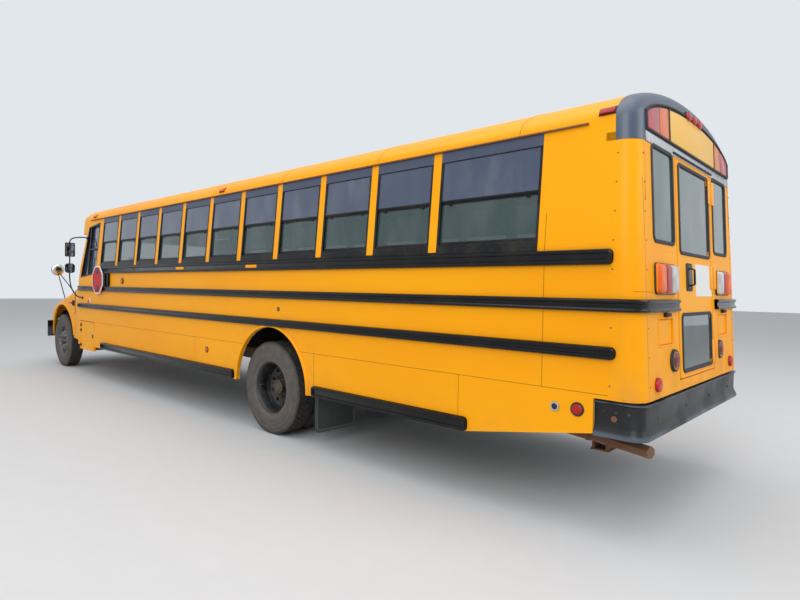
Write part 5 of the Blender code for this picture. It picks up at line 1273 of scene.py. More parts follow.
def make_rear_lamps():
    """The tail lamps, the round lamps, the reflectors and the small number-plate lamps."""
    shape = Shape()
    for _, side in SIDES:
        outline = rounded((0.538, 1.606), (0.944, 1.814), 0.03)
        shape.plate(mirrored(outline, side), on_rear, 0.014, 0, 0.004, back=0.004)
        for look, (_, middle, wide) in enumerate(TAIL_LENSES, 1):
            lens_outline = rounded(
                (middle - wide / 2 + 0.002, 1.614), (middle + wide / 2 - 0.002, 1.806), 0.022,
            )
            shape.plate(mirrored(lens_outline, side), on_rear, 0.042 if look != 2 else 0.037, look, 0.02)
        ring = circle((side * 0.6, 1.152), 0.078, 40)
        shape.frame(ring, on_rear, 0.02, 0.02, 0, 0.008, back=0.006)
        x, y, z = on_rear(side * 0.6, 1.152, 0.012)
        shape.dome((x, y, z), REARWARD, 0.06, 0.02, 4, 36, 7)
        small = circle((side * 0.943, 1.023), 0.046, 32)
        shape.frame(small, on_rear, 0.005, 0.02, 2, 0.003, back=0.004)
        shape.dome(on_rear(side * 0.943, 1.023, 0.017), REARWARD, 0.044, 0.008, 2, 32, 5)
        shape.plate(mirrored(rounded((0.7, 1.456), (0.78, 1.482), 0.008), side), on_rear, 0.03, 0, 0.006)
        shape.frame(
            mirrored(rounded((0.585, 1.255), (0.895, 1.455), 0.02), side), on_rear, 0.012, 0.004, 6, 0.002,
            back=0.012,
        )
        shape.plate(
            mirrored(rounded((0.605, 1.275), (0.875, 1.435), 0.012), side), on_rear, -0.0085, 6, 0,
            back=0.0115,
        )
    shape.made(
        "rear_lamps", ("seal", "amber", "red", "clear_lens", "dark_red", "zinc", "yellow"),
        slot="signal_red", angle=50,
    )


def make_rear_seals():
    """The rubber round the rear windows, the rear corners' rivets, and the panel's small fastenings."""
    shape = Shape()
    for _, side in SIDES:
        outline = mirrored(rounded(*REAR_PANE, 0.055, 6), side)
        shape.frame(outline, on_rear, 0.026, 0.007, 0, 0.003, back=0.05)
    shape.bar((-0.49, -0.004, 2.604), (0.5, 0.014, 2.618), 0.004, 0, upright(on_rear))
    shape.made("rear_window_seals", ("seal", "trim_brown"), slot="black_trim")
    rows = []
    for _, side in SIDES:
        for i in range(15):
            z = 1.0 + 1.55 * i / 14
            edge, skin = side_y(z), rear_x(z)
            rows.append(((skin + 0.145, side * edge, z), (0, side, 0.05)))
            rows.append(((skin, side * 1.075, z), REARWARD))
        for i in range(9):
            rows.append((on_rear(side * (0.53 + 0.05 * i), 1.9, 0.0), REARWARD))
            rows.append((on_rear(side * (0.53 + 0.05 * i), 0.965, 0.0), REARWARD))
    studs("rear_rivets", rows, 0.0045, "yellow")


def make_rear_door():
    """What the emergency door carries: window rubber, its handle, hinges, edge seal and a blank sticker."""
    body = "emergency_door"
    shape = Shape()
    for low, high in (((-0.392, 1.895), (0.402, 2.565)), ((-0.388, 1.04), (0.398, 1.475))):
        shape.frame(rounded(low, high, 0.05, 6), on_rear, 0.026, 0.007, 0, 0.003, back=0.03)
    shape.frame(
        rounded((-0.434, 1.012), (0.456, 2.598), 0.02), on_rear, 0.016, 0.004, 2, 0.0015, back=0.006,
    )
    shape.plate(rounded((0.118, 1.633), (0.262, 1.84), 0.02), on_rear, 0.006, 0, 0.002)
    shape.plate(rounded((0.14, 1.655), (0.24, 1.82), 0.012), on_rear, 0.009, 3, 0.001)
    shape.tube(
        [
            on_rear(0.19, 1.67, 0.006), on_rear(0.19, 1.685, 0.04), on_rear(0.19, 1.79, 0.04),
            on_rear(0.19, 1.805, 0.006),
        ],
        0.008, 3, 10,
    )
    shape.plate(rounded((-0.425, 1.595), (0.022, 1.842), 0.006), on_rear, 0.0012, 4)
    for z in REAR_HINGES_Z:
        shape.plate(rounded((-0.43, z - 0.095), (-0.37, z + 0.095), 0.006), on_rear, 0.011, 2, 0.003)
    shape.made("rear_door_trim", ("seal", "sash", "yellow", "black", "white"), body, slot="black_trim")
    rows = []
    for z in REAR_HINGES_Z:
        for dz in (-0.07, -0.025, 0.025, 0.07):
            rows.append((on_rear(-0.405, z + dz, 0.011), REARWARD))
    studs("rear_door_bolts", rows, 0.007, "zinc", body, slot="black_trim")
    fixed = Shape()
    for z in REAR_HINGES_Z:
        fixed.plate(rounded((-0.535, z - 0.095), (-0.463, z + 0.095), 0.006), on_rear, 0.012, 0, 0.003)
    fixed.made("rear_hinge_straps", ("yellow",), slot="yellow")


# Rear corners, rear glass and rear bumper


def corner_path(side, z, proud):
    """Points round a rear corner at a height, from the side to the rear face."""
    edge, skin = side_y(z), rear_x(z)
    points = [(at(0.235), side * (edge + proud), z)]
    for i in range(11):
        turn = math.radians(9 * i)
        x = skin + CORNER_RADIUS - (CORNER_RADIUS + proud) * math.sin(turn)
        y = edge - CORNER_RADIUS + (CORNER_RADIUS + proud) * math.cos(turn)
        points.append((x, side * y, z))
    points.append((skin - proud, side * 1.068, z))
    return points


def make_corner_posts():
    """The rounded posts at the rear corners, with the screws down both of their edges."""
    shape = Shape()
    rows = []
    for _, side in SIDES:
        rings = []
        for z in (0.945, 1.2, 1.5, 1.905, 2.2, 2.587):
            outer = corner_path(side, z, 0.002)
            inner = corner_path(side, z, -0.004)
            rings.append([*outer, *inner[::-1]])
        shape.loft(rings)
        for i in range(9):
            z = 1.02 + 0.185 * i
            if 1.46 < z < 1.6:
                continue
            rows.append(((at(0.225), side * (side_y(z) + 0.002), z), (0, side, 0.05)))
            rows.append(((rear_x(z) - 0.002, side * 1.077, z), REARWARD))
    shape.made("corner_posts", ("rear",), slot="yellow")
    studs("corner_screws", rows, 0.006, "trim_brown")


def make_rear_glass():
    """The rear windows, nearly flush in thin black rubber that is heavier at the bottom."""
    for name, side in SIDES:
        low, high = sorted((side * 0.507, side * 0.943))
        shape = Shape()
        shape.plate(rounded((low, 1.95), (high, 2.59), 0.045, 6), on_rear, -0.004, 0, back=0.01)
        shape.made(
            f"rear_pane_{name}", ("rear_pane",), slot="tinted_glass", replaces=(f"rear_glass_{name}",),
        )
    shape = Shape()
    for low, high in (((-0.387, 1.9), (0.397, 2.56)), ((-0.383, 1.045), (0.393, 1.47))):
        shape.plate(rounded(low, high, 0.04, 6), on_rear, -0.004, 0, back=0.01)
    shape.made(
        "rear_door_panes", ("rear_pane",), "emergency_door", slot="tinted_glass",
        replaces=("rear_door_glass",),
    )


BUMPER_PROFILE = (
    (0.03, 0.913), (0.014, 0.9145), (0.012, 0.905), (0.024, 0.897), (0.026, 0.86), (0.026, 0.765),
    (0.018, 0.74), (0.002, 0.715), (0.0005, 0.7), (0.004, 0.688), (0.03, 0.6855), (0.06, 0.69),
    (0.06, 0.905),
)


def make_rear_bumper():
    """The rear bumper, a pressed channel with a lip at its top and a flared foot, wrapping both corners."""
    shape = Shape()
    half, radius = 1.219, 0.1
    path = []
    for s in (0.329, 0.3, 0.16):
        path.append((at(s), half, 0, 1))
    for i in range(9):
        turn = math.radians(11.25 * i)
        path.append(
            (
                REAR_X + radius - radius * math.sin(turn), half - radius + radius * math.cos(turn),
                -math.sin(turn), math.cos(turn),
            )
        )
    for y in (0.6, 0.0):
        path.append((REAR_X, y, -1, 0))
    path += [(x, -y, nx, -ny) for x, y, nx, ny in reversed(path[:-1])]
    rings = []
    for x, y, nx, ny in path:
        rings.append([(x - nx * deep, y - ny * deep, z) for deep, z in BUMPER_PROFILE])
    shape.loft(rings)
    for _, side in SIDES:
        for s in (0.27, 0.19, 0.11):
            shape.dome((at(s), side * (half - 0.026), 0.85), (0, side, 0), 0.012, 0.008, 1, 10, 3)
        shape.tube(
            [(at(0.2), side * (half - 0.03), 0.81), (at(0.2), side * (half - 0.018), 0.81)], 0.02, 2, 16,
        )
    for y in (-0.9, -0.3, 0.3, 0.9):
        shape.dome((REAR_X + 0.026, y, 0.8), (-1, 0, 0), 0.013, 0.006, 1, 10, 3)
    shape.made(
        "rear_bumper_face", ("bumper", "chassis", "rust"), slot="black_trim", replaces=("rear_bumper",),
    )


# Roof, rub rails and the sides' small parts

RUB_RAILS = {
    1: ((0.22, 9.05, 1.79, 1.889), (0.19, 9.9, 1.187, 1.267)),
    -1: (
        (0.22, 8.83, 1.79, 1.889), (0.19, 8.83, 1.187, 1.267), (9.57, 9.9, 1.187, 1.267),
        (9.57, 9.9, 1.49, 1.572),
    ),
}
SKIRT_RAILS = ((1.32, 3.2), (4.66, 8.8))
SKIRT_RAIL_Z = (0.531, 0.638)
MIDDLE_RAIL_Z = (1.49, 1.572)
ROOF_FRONT_S = 9.6


HATCHES = (("rear", 2.75), ("front", 7.05))
HATCH_CURB_Z = 3.088
HATCH_HOLE, HATCH_CURB, HATCH_LID, HATCH_HANDLE = 0.257, 0.3, 0.325, 0.16


def square(x, half, radius):
    """A square with round corners on the roof's middle line, by half its width."""
    return rounded((x - half, -half), (x + half, half), radius)


def opened(shape):
    """A shell that runs over the cabin, with the two roof hatches' openings cut out of it."""
    made = mesh_of(shape)
    for _, middle in HATCHES:
        x = at(middle)
        made = cut_by(made, block((x - HATCH_HOLE, -HATCH_HOLE, 2.9), (x + HATCH_HOLE, HATCH_HOLE, 3.2)))
    return made


def make_roof():
    """The roof's skin with its panel laps, the rivets along its sides, and the hatches' curbs and lids."""
    back, front = at(0.3096), at(ROOF_FRONT_S)
    shape = Shape()
    arc = roof_arc(TOP_Y, GUTTER_Z, ROOF_RISE)
    inner = roof_arc(TOP_Y - 0.03, GUTTER_Z, ROOF_RISE - 0.03)
    ring = [*arc, *inner[::-1]]
    shape.loft([[(x, y, z) for y, z in ring] for x in (back, front)], 0)
    piece("roof_skin", opened(shape), ("roof_yellow",), "root", "yellow", replaces=("roof",), angle=40)
    laps = Shape()
    for s in ROOF_LAPS_S:
        outer = roof_arc(TOP_Y + 0.0015, GUTTER_Z, ROOF_RISE + 0.0015)
        under = roof_arc(TOP_Y - 0.004, GUTTER_Z, ROOF_RISE - 0.004)
        lap = [*outer, *under[::-1]]
        laps.loft([[(x, y, z) for y, z in lap] for x in (at(s) - 0.025, at(s) + 0.025)], 0)
    laps.made("roof_laps", ("roof_yellow",), slot="yellow", angle=40)
    rows = []
    for s in ROOF_LAPS_S:
        for i in range(1, 30):
            turn = math.pi * i / 30
            half, rise = TOP_Y + 0.001, ROOF_RISE + 0.001
            y, z = half * math.cos(turn), GUTTER_Z + rise * math.sin(turn)
            out = (0, math.cos(turn) / half, math.sin(turn) / rise)
            rows += [((at(s) - 0.016, y, z), out), ((at(s) + 0.016, y, z), out)]
    studs("roof_lap_rivets", rows, 0.0045, "roof_yellow")
    for name, middle in HATCHES:
        x = at(middle)
        curb = Shape()

        def over(u, v, out):
            return (u, v, HATCH_CURB_Z + out)

        curb.frame(square(x, HATCH_CURB, 0.04), over, 0.045, 0.0, 0, 0, back=0.075)
        curb.made(f"{name}_hatch_curb", ("black",), slot="black_trim")
        lid = Shape()
        outline = square(x, HATCH_LID, 0.05)
        lid.plate(inset(outline, 0.002), over, 0.018, 0, 0.012, back=-0.001)
        lid.frame(inset(outline, 0.09), over, 0.03, 0.024, 0, 0.008)
        lid.plate(square(x, HATCH_HANDLE, 0.03), over, 0.026, 0, 0.006)
        lid.made(
            f"{name}_hatch_lid", ("white",), f"{name}_roof_hatch", slot="yellow",
            replaces=(f"roof_hatch_{name}",),
        )


def rail(shape, side, rear_end, front_end, low, high):
    """A pressed rub rail: a raised rim round a flatter face."""
    place = on_side(side)
    outline = rounded((rear_end, low - 0.001), (front_end, high + 0.001), 0.032, 6)
    shape.plate(outline, place, 0.0215, 0, 0.003, back=0.004)
    shape.frame(outline, place, 0.03, 0.034, 0, 0.013, back=0.002)


def rail_path(side, section):
    """Rings of a rail from its front end, round the rear corner, to beside the rear window."""
    rings = []
    ends = (at(9.9 if side > 0 else 8.83), 0.505)

    def ring(point):
        return [point(z, out) for z, out in section]

    for x in (ends[0], at(5.0), at(1.0)):
        rings.append(ring(lambda z, out, x=x: (x, side * (side_y(z) + out), z)))
    for step in range(9):
        turn = math.radians(11.25 * step)

        def corner(z, out, turn=turn):
            x = rear_x(z) + CORNER_RADIUS - (CORNER_RADIUS + out) * math.sin(turn)
            y = side_y(z) - CORNER_RADIUS + (CORNER_RADIUS + out) * math.cos(turn)
            return (x, side * y, z)

        rings.append(ring(corner))
    rings.append(ring(lambda z, out: (rear_x(z) - out, side * ends[1], z)))
    return rings


def make_rails():
    """The rub rails along both sides, the middle one round the rear corners, and the skirt's rails."""
    low, high = MIDDLE_RAIL_Z
    low, high = low - 0.001, high + 0.001
    section = [
        (low, -0.004), (low, 0.021), (low + 0.004, 0.03), (low + 0.013, 0.034), (low + 0.022, 0.03),
        (low + 0.03, 0.0215), (high - 0.03, 0.0215), (high - 0.022, 0.03), (high - 0.013, 0.034),
        (high - 0.004, 0.03), (high, 0.021), (high, -0.004),
    ]
    for name, side in SIDES:
        shape = Shape()
        for rear_end, front_end, bottom, top in RUB_RAILS[side]:
            rail(shape, side, at(rear_end), at(front_end), bottom, top)
        for rear_end, front_end in SKIRT_RAILS:
            rail(shape, side, at(rear_end), at(front_end), *SKIRT_RAIL_Z)
        shape.loft(rail_path(side, section), 0)
        shape.made(f"rub_rails_{name}", ("black",), angle=30)


def side_lamp(shape, side, s, z, half, high, proud, look, base=0):
    place = on_side(side)
    x = at(s)
    outline = rounded((x - half - 0.008, z - high - 0.008), (x + half + 0.008, z + high + 0.008), 0.012)
    shape.plate(outline, place, proud * 0.5, base, 0.003, back=0.002)
    outline = rounded((x - half, z - high), (x + half, z + high), 0.01)
    shape.plate(outline, place, proud, look, 0.006)


def round_lamp(shape, side, s, z, radius, proud, look, base=0):
    place = on_side(side)
    ring = circle((at(s), z), radius + 0.009, 32)
    shape.frame(ring, place, 0.014, proud * 0.7, base, 0.004, back=0.002)
    x, y, height = place(at(s), z, proud * 0.35)
    shape.dome((x, y, height), (0, side, 0.03), radius, proud * 0.7, look, 32, 6)


def make_side_lamps():
    """The marker lamps, reflectors, signal lamps and the small caps on both sides."""
    for name, side in SIDES:
        shape = Shape()
        round_lamp(shape, side, 0.436, 0.84, 0.038, 0.014, 2)
        round_lamp(shape, side, 0.595, 0.837, 0.024, 0.018, 0, 5)
        round_lamp(shape, side, 5.3, 0.818, 0.028, 0.012, 1)
        round_lamp(shape, side, 3.8, 1.378, 0.014, 0.01, 1)
        side_lamp(
            shape, side, 9.38 if side > 0 else 9.72, 1.35 if side < 0 else 1.313, 0.035, 0.035, 0.03, 1, 4,
        )
        round_lamp(shape, side, 7.95, 1.666, 0.036, 0.022, 1)
        for s in (4.3, 6.0):
            x = at(s)
            outline = rounded((x - 0.11, 1.822), (x + 0.11, 1.856), 0.006)
            shape.plate(outline, on_side(side), 0.0245, 3, 0.001)
        for s, look in ((0.312, 2), (5.11, 1), (9.35, 1)):
            shape.bar(
                (at(s) - 0.05, -0.01, 2.768), (at(s) + 0.05, 0.028, 2.81), 0.008, look,
                lambda x, out, z: (x, side * (roof_half(z) + out), z),
            )
            shape.bar(
                (at(s) - 0.058, -0.01, 2.76), (at(s) + 0.058, 0.008, 2.818), 0.004, 0,
                lambda x, out, z: (x, side * (roof_half(z) + out), z),
            )
        shape.made(
            f"side_lamps_{name}", ("seal", "amber", "red", "yellow", "white", "zinc"), slot="signal_red",
        )
        rows = []
        for s in (0.7, 1.41):
            for i in range(12):
                z = 1.0 + (0.9 if s > 1 else 1.55) * i / 11
                rows.append((on_side(side)(at(s) + 0.022, z, 0), (0, side, 0.03)))
        for i in range(60):
            rows.append((on_side(side)(at(1.25 + 0.128 * i), 0.97, 0), (0, side, 0.03)))
        for s in (1.41, 3.19, 5.6, 7.0, 8.4):
            for i in range(7):
                rows.append((on_side(side)(at(s) + 0.02, 0.66 + 0.28 * i / 6, 0), (0, side, 0.03)))
        rows = [row for row in rows if not 3.24 < row[0][0] - at(0) < 4.66 or row[0][2] > 1.2]
        studs(f"side_rivets_{name}", rows, 0.004, "yellow")


def roof_half(z):
    """The roof's half width at a height above its gutter."""
    share = (z - GUTTER_Z) / ROOF_RISE
    return TOP_Y * math.sqrt(max(1 - share * share, 0))


def make_arches():
    """The rolled lips of the rear wheel arches."""
    for name, side in SIDES:
        shape = Shape()
        rings = []
        for i in range(41):
            turn = math.radians(-12 + 204 * i / 40)
            ring = []
            for radius, out in (
                (0.648, -0.03), (0.648, 0.012), (0.653, 0.0165), (0.672, 0.0165), (0.684, 0.004),
                (0.684, -0.004),
            ):
                x, z = at(3.947) + radius * math.cos(turn), 0.53 + radius * math.sin(turn)
                ring.append((x, side * (side_y(z) + out), max(z, 0.531)))
            rings.append(ring)
        shape.loft(rings, 0)
        shape.made(f"arch_lip_{name}", ("yellow",), slot="yellow")


FLAP_S = 3.25


def make_flaps():
    """The mud flaps: a plain sheet with a pale worn rim and rounded lower corners, on a steel strip."""
    for name, side in SIDES:
        shape = Shape()
        x = at(FLAP_S)

        def sheet(y, z, out):
            return (x - out - 0.02 * (0.7 - z), y, z)

        low, high = sorted((side * 0.6, side * 1.15))
        outline = rounded((low, 0.14), (high, 0.7), 0.06, 6)
        shape.plate(outline, sheet, 0.008, 0, 0.003, back=0.004)
        shape.frame(inset(outline, 0.012), sheet, 0.02, 0.0105, 1, 0.003)
        shape.bar((x - 0.016, low, 0.655), (x + 0.016, high, 0.698), 0.004, 2)
        shape.made(
            f"flap_{name}", ("flap", "worn_flap", "chassis"), slot="rubber_flap",
            replaces=(f"mud_flap_{name}",),
        )


# Wheels and tyres

TYRE_HALF = 0.1275
WHEELS = (
    ("front_left", "wheel_front_left", FRONT_AXLE_S, 1.02, 1, "front"),
    ("front_right", "wheel_front_right", FRONT_AXLE_S, 1.02, -1, "front"),
    ("rear_left", "wheels_rear_left", REAR_AXLE_S, 1.06, 1, "rear"),
    ("rear_right", "wheels_rear_right", REAR_AXLE_S, 1.06, -1, "rear"),
)
REAR_INNER_Y = 0.73
TREAD_LOW, TREAD_TOP = 0.4935, 0.5045


def tyre_profile():
    """A tyre's section, from the inner bead round the tread to the outer bead, with wall ribs."""
    half = TYRE_HALF
    wall = [
        (0.2845, half - 0.028), (0.292, half - 0.016), (0.306, half - 0.014), (0.312, half - 0.009),
        (0.33, half - 0.008), (0.336, half - 0.0025), (0.362, half), (0.366, half - 0.0025),
        (0.4, half - 0.001), (0.404, half - 0.004), (0.43, half - 0.0055), (0.434, half - 0.003),
        (0.44, half - 0.0035), (0.444, half - 0.008), (0.462, half - 0.013), (0.478, half - 0.02),
        (TREAD_LOW - 0.002, half - 0.03), (TREAD_LOW, half - 0.04),
    ]
    return [(r, -out) for r, out in wall] + [
        (r, out) for r, out in reversed(wall)
    ] + [(0.27, 0.09), (0.27, -0.09)]


def tread_block(shape, y0, y1, a0, a1, skew):
    """One tread block on the tyre's rim, between two places across and two angles round."""
    rows = []
    for radius, drawn in ((TREAD_LOW - 0.002, 0.0), (TREAD_TOP - 0.0015, 0.0), (TREAD_TOP, 0.0014)):
        ring = []
        for y, a in ((y0 + drawn, a0), (y1 - drawn, a0), (y1 - drawn, a1), (y0 + drawn, a1)):
            turn = a + skew * (y - (y0 + y1) / 2) + (drawn * 2.5 if a == a0 else -drawn * 2.5)
            ring.append((radius * math.sin(turn), y, radius * math.cos(turn)))
        rows.append(ring)
    shape.loft(rows)


def tread_pitch(traction):
    """One pitch of the tread. Lugged shoulders for driven wheels, plainer ribs for steered ones."""
    shape = Shape()
    pitch = 2 * math.pi / bpy.context.scene.bus_fittings.tread_pitches
    skew = 1.1 if traction else 0.5
    gap = 0.24 if traction else 0.1
    bands = ((-0.098, -0.063), (-0.055, -0.02), (-0.013, 0.013), (0.02, 0.055), (0.063, 0.098))
    for number, (y0, y1) in enumerate(bands):
        shift = pitch * 0.5 * (number % 2)
        lean = skew * (1 if y0 + y1 > 0.01 else -1 if y0 + y1 < -0.01 else 0)
        tread_block(shape, y0, y1, shift + pitch * gap / 2, shift + pitch * (1 - gap / 2), lean)
    for side in (-1, 1):
        rows = []
        for radius, out in (
            (0.472, 0.1095), (0.4925, 0.0995), (TREAD_TOP - 0.003, 0.0985), (TREAD_TOP - 0.001, 0.09),
        ):
            ring = []
            for depth in (0.0, 0.012):
                for turn in (pitch * gap / 2, pitch * (1 - gap / 2)):
                    r = radius - depth
                    ring.append((r * math.sin(turn), side * (out - depth * 0.5), r * math.cos(turn)))
            rows.append([ring[0], ring[1], ring[3], ring[2]])
        shape.loft(rows)
    return shape


def make_tyres():
    """Each tyre's ribbed walls, and the tread repeated round it."""
    pitches = bpy.context.scene.bus_fittings.tread_pitches
    for name, body, s, y, side, axle in WHEELS:
        tyres = [("outer", y)] if axle == "front" else [("outer", y), ("inner", REAR_INNER_Y)]
        for place, across in tyres:
            node = f"front_tyre_{name[6:]}" if axle == "front" else f"rear_tyre_{name[5:]}_{place}"
            shape = Shape()
            centre = (at(s), side * across, AXLE_Z)
            shape.lathe(tyre_profile(), centre, side, 0, 96)
            shape.made(
                f"tyre_walls_{name}_{place}", (f"{axle}_tyre",), body, slot="tyre", replaces=(node,),
                angle=28,
            )
            turns = [(0, 2 * math.pi * i / pitches, 0) for i in range(pitches)]
            copied(
                f"tread_{name}_{place}", tread_pitch(axle == "rear"), [centre] * pitches, turns,
                f"{axle}_tyre", body, "tyre",
            )


FRONT_DISC = (
    (0.262, -0.09), (0.262, 0.03), (0.248, 0.045), (0.225, 0.052), (0.19, 0.068), (0.172, 0.082),
    (0.165, 0.084), (0.09, 0.084), (0.088, 0.075), (0.088, 0.06), (0.16, 0.072), (0.186, 0.055),
    (0.222, 0.04), (0.244, 0.032), (0.252, 0.02), (0.252, -0.09),
)
REAR_DISC = (
    (0.262, -0.09), (0.262, 0.02), (0.256, 0.012), (0.246, -0.02), (0.232, -0.05), (0.212, -0.062),
    (0.19, -0.072), (0.168, -0.084), (0.09, -0.084), (0.088, -0.09), (0.088, -0.095), (0.165, -0.095),
    (0.188, -0.083), (0.21, -0.074), (0.234, -0.062), (0.25, -0.03), (0.252, -0.09),
)
RIM = (
    (0.2815, -0.106), (0.2835, -0.1), (0.2815, -0.094), (0.27, -0.088), (0.262, -0.06), (0.255, -0.03),
    (0.255, 0.03), (0.262, 0.06), (0.27, 0.088), (0.2815, 0.094), (0.2835, 0.1), (0.2815, 0.106),
    (0.277, 0.104), (0.268, 0.094), (0.256, 0.064), (0.249, 0.03), (0.249, -0.03), (0.256, -0.064),
    (0.268, -0.094), (0.277, -0.104),
)
HAND_HOLES = 10
HAND_HOLES_AT = 0.2
NUTS = 10
NUT_CIRCLE = 0.1425


def disc_mesh(profile, centre, side, hole_at):
    """The wheel's disc with its round hand holes cut through."""
    disc = Shape()
    disc.lathe(profile, centre, side, 0, 80)
    cutter = Shape()
    x, y, z = centre
    for i in range(HAND_HOLES):
        turn = 2 * math.pi * (i + 0.5) / HAND_HOLES
        hx, hz = x + hole_at * math.cos(turn), z + hole_at * math.sin(turn)
        cutter.tube([(hx, y - side * 0.12, hz), (hx, y + side * 0.12, hz)], 0.0205, 0, 20)
    return cut_by(mesh_of(disc), mesh_of(cutter))


def hub(shape, centre, side, axle):
    """The hub that stands out of the wheel: a stepped drum with its cap and cap bolts."""
    if axle == "front":
        shape.lathe(
            (
                (0.086, 0.0), (0.086, 0.09), (0.083, 0.098), (0.074, 0.102), (0.07, 0.118), (0.062, 0.122),
                (0.0005, 0.123), (0.0005, 0.0),
            ),
            centre, side, 0, 48,
        )
        return
    profile = (
        (0.086, -0.14), (0.086, -0.075), (0.07, -0.06), (0.062, -0.02), (0.064, 0.0), (0.078, 0.003),
        (0.079, 0.014), (0.074, 0.018), (0.045, 0.02), (0.04, 0.028), (0.0005, 0.03), (0.0005, -0.14),
    )
    shape.lathe(profile, centre, side, 0, 56)
    x, y, z = centre
    for i in range(8):
        turn = 2 * math.pi * i / 8
        px, pz = x + 0.063 * math.cos(turn), z + 0.063 * math.sin(turn)
        shape.tube([(px, y + side * 0.012, pz), (px, y + side * 0.028, pz)], 0.008, 0, 6)


def make_wheels():
    """Rims, discs with hand holes, hubs, brake drums, wheel nuts and valves."""
    for name, body, s, across, side, axle in WHEELS:
        centre = (at(s), side * across, AXLE_Z)
        finish = f"{axle}_rim"
        disc = disc_mesh(FRONT_DISC if axle == "front" else REAR_DISC, centre, side, HAND_HOLES_AT)
        piece(f"disc_{name}", disc, (finish,), body, "grey_wheel", angle=30)
        shape = Shape()
        shape.lathe(RIM, centre, side, 0, 80)
        if axle == "rear":
            inner = (at(s), side * REAR_INNER_Y, AXLE_Z)
            shape.lathe(RIM, inner, side, 0, 64)
            shape.lathe(
                (
                    (0.25, -0.02), (0.25, 0.1), (0.2, 0.11), (0.16, 0.125), (0.09, 0.125), (0.09, 0.11),
                    (0.16, 0.11), (0.24, -0.02),
                ),
                inner, side, 0, 48,
            )
        x, y, z = centre
        shape.tube([(x + 0.236, y + side * 0.02, z), (x + 0.236, y + side * 0.085, z + 0.004)], 0.005, 1, 8)
        shape.made(
            f"rim_{name}", (finish, "zinc"), body, slot="grey_wheel",
            replaces=(f"{axle}_wheel_{name[6:] if axle == 'front' else name[5:]}",), angle=30,
        )
        middle = Shape()
        hub(middle, centre, side, axle)
        middle.made(
            f"hub_{name}", ("hub_brown" if axle == "rear" else "front_hub",), body, slot="rusty_pipe",
        )
        face = 0.084 if axle == "front" else -0.084
        nut = Shape()
        nut.tube([(0, 0, 0), (0, side * 0.006, 0)], 0.021, 0, 16)
        nut.tube([(0, side * 0.005, 0), (0, side * 0.03, 0)], 0.0175, 0, 6)
        nut.tube([(0, side * 0.02, 0), (0, side * 0.044, 0)], 0.0105, 0, 10)
        points = []
        for i in range(NUTS):
            turn = 2 * math.pi * i / NUTS
            points.append(
                (x + NUT_CIRCLE * math.cos(turn), y + side * face, z + NUT_CIRCLE * math.sin(turn))
            )
        turns = [(0, 0.7 * i, 0) for i in range(NUTS)]
        copied(
            f"nuts_{name}", nut, points, turns, "zinc" if axle == "front" else "hub_brown", body,
            "grey_wheel",
        )


# Hood, cowl and windshield

HOOD_SECTIONS = (
    (10.335, 0.069, 0.6, 1.5, 1.6), (10.7, 0.069, 0.6, 1.395, 1.56), (11.33, 0.074, 0.6, 1.235, 1.46),
    (11.75, 0.109, 0.56, 1.12, 1.36), (11.9, 0.169, 0.72, 1.06, 1.3), (11.965, 0.259, 0.93, 1.01, 1.22),
)
HOOD_WALL = 0.022
HOOD_HINGE = (12.0, 0.885)
HOOD_REACH = 1.665
HOOD_RELIEF = 0.297
CROWN_SHARE = 0.62
ARCH_RADIUS = 0.705
COWL_SECTIONS = ((9.9304, 0.0005, 0.6, 1.64, 1.655), (10.32, 0.069, 0.6, 1.5, 1.6))
SHIELD_FOOT = (9.945, 1.6565)
SHIELD_HEAD = (9.67, 2.5)
SHIELD_HALF = 1.13
SHIELD_BULGE = 0.13


def between(values, place):
    """A smooth curve through equally spaced values, at a place counted in steps."""
    index = min(int(place), len(values) - 2)
    t = place - index
    p1, p2 = values[index], values[index + 1]
    p0 = values[index - 1] if index > 0 else 2 * p1 - p2
    p3 = values[index + 2] if index + 2 < len(values) else 2 * p2 - p1
    return 0.5 * (
        2 * p1 + (p2 - p0) * t + (
            2 * p0 - 5 * p1 + 4 * p2 - p3
        ) * t * t + (3 * p1 - p0 - 3 * p2 + p3) * t**3
    )


def smooth(points, steps):
    """Points along a smooth curve through the given ones."""
    columns = list(zip(*points))
    count = (len(points) - 1) * steps
    return [tuple(between(column, i / steps) for column in columns) for i in range(count + 1)]


def shell_ring(section, drawn=0.0, shift=0.0):
    """The shell's outline at a section: upright fenders, rounded shoulders and a raised crown."""
    s, setback, low, shoulder, top = section
    half = SIDE_Y - setback - drawn
    shoulder, top = shoulder - drawn, top - drawn
    middle = shoulder + (top - shoulder) / 2
    ridge = half * CROWN_SHARE
    side = [(half, low), (half, (low + shoulder) / 2), (half, shoulder - 0.1)]
    curve = smooth(
        [
            (half, shoulder - 0.1), (half - 0.006, shoulder - 0.035), (half - 0.04, shoulder - 0.002),
            ((half + ridge) / 2 + 0.03, shoulder + (middle - shoulder) * 0.45), (ridge, middle),
            (ridge - 0.07, middle + (top - middle) * 0.7), (ridge / 2, top - 0.003), (0, top),
        ],
        4,
    )
    ring = [*side, *curve[1:]]
    ring += [(-y, z) for y, z in reversed(ring[:-1])]
    return [(at(s) + shift, y, z) for y, z in ring]


def wall_ring(section, thick):
    """The shell's outline at a section as a wall of some thickness, open at the bottom."""
    outer = shell_ring(section)
    inner = shell_ring(section, thick)
    return [*outer, *inner[::-1]]


def hood_section(s):
    """The hood's section values at a station."""
    for before, after in zip(HOOD_SECTIONS, HOOD_SECTIONS[1:]):
        if s <= after[0]:
            share = (s - before[0]) / (after[0] - before[0])
            return tuple(a + (b - a) * share for a, b in zip(before, after))
    return HOOD_SECTIONS[-1]


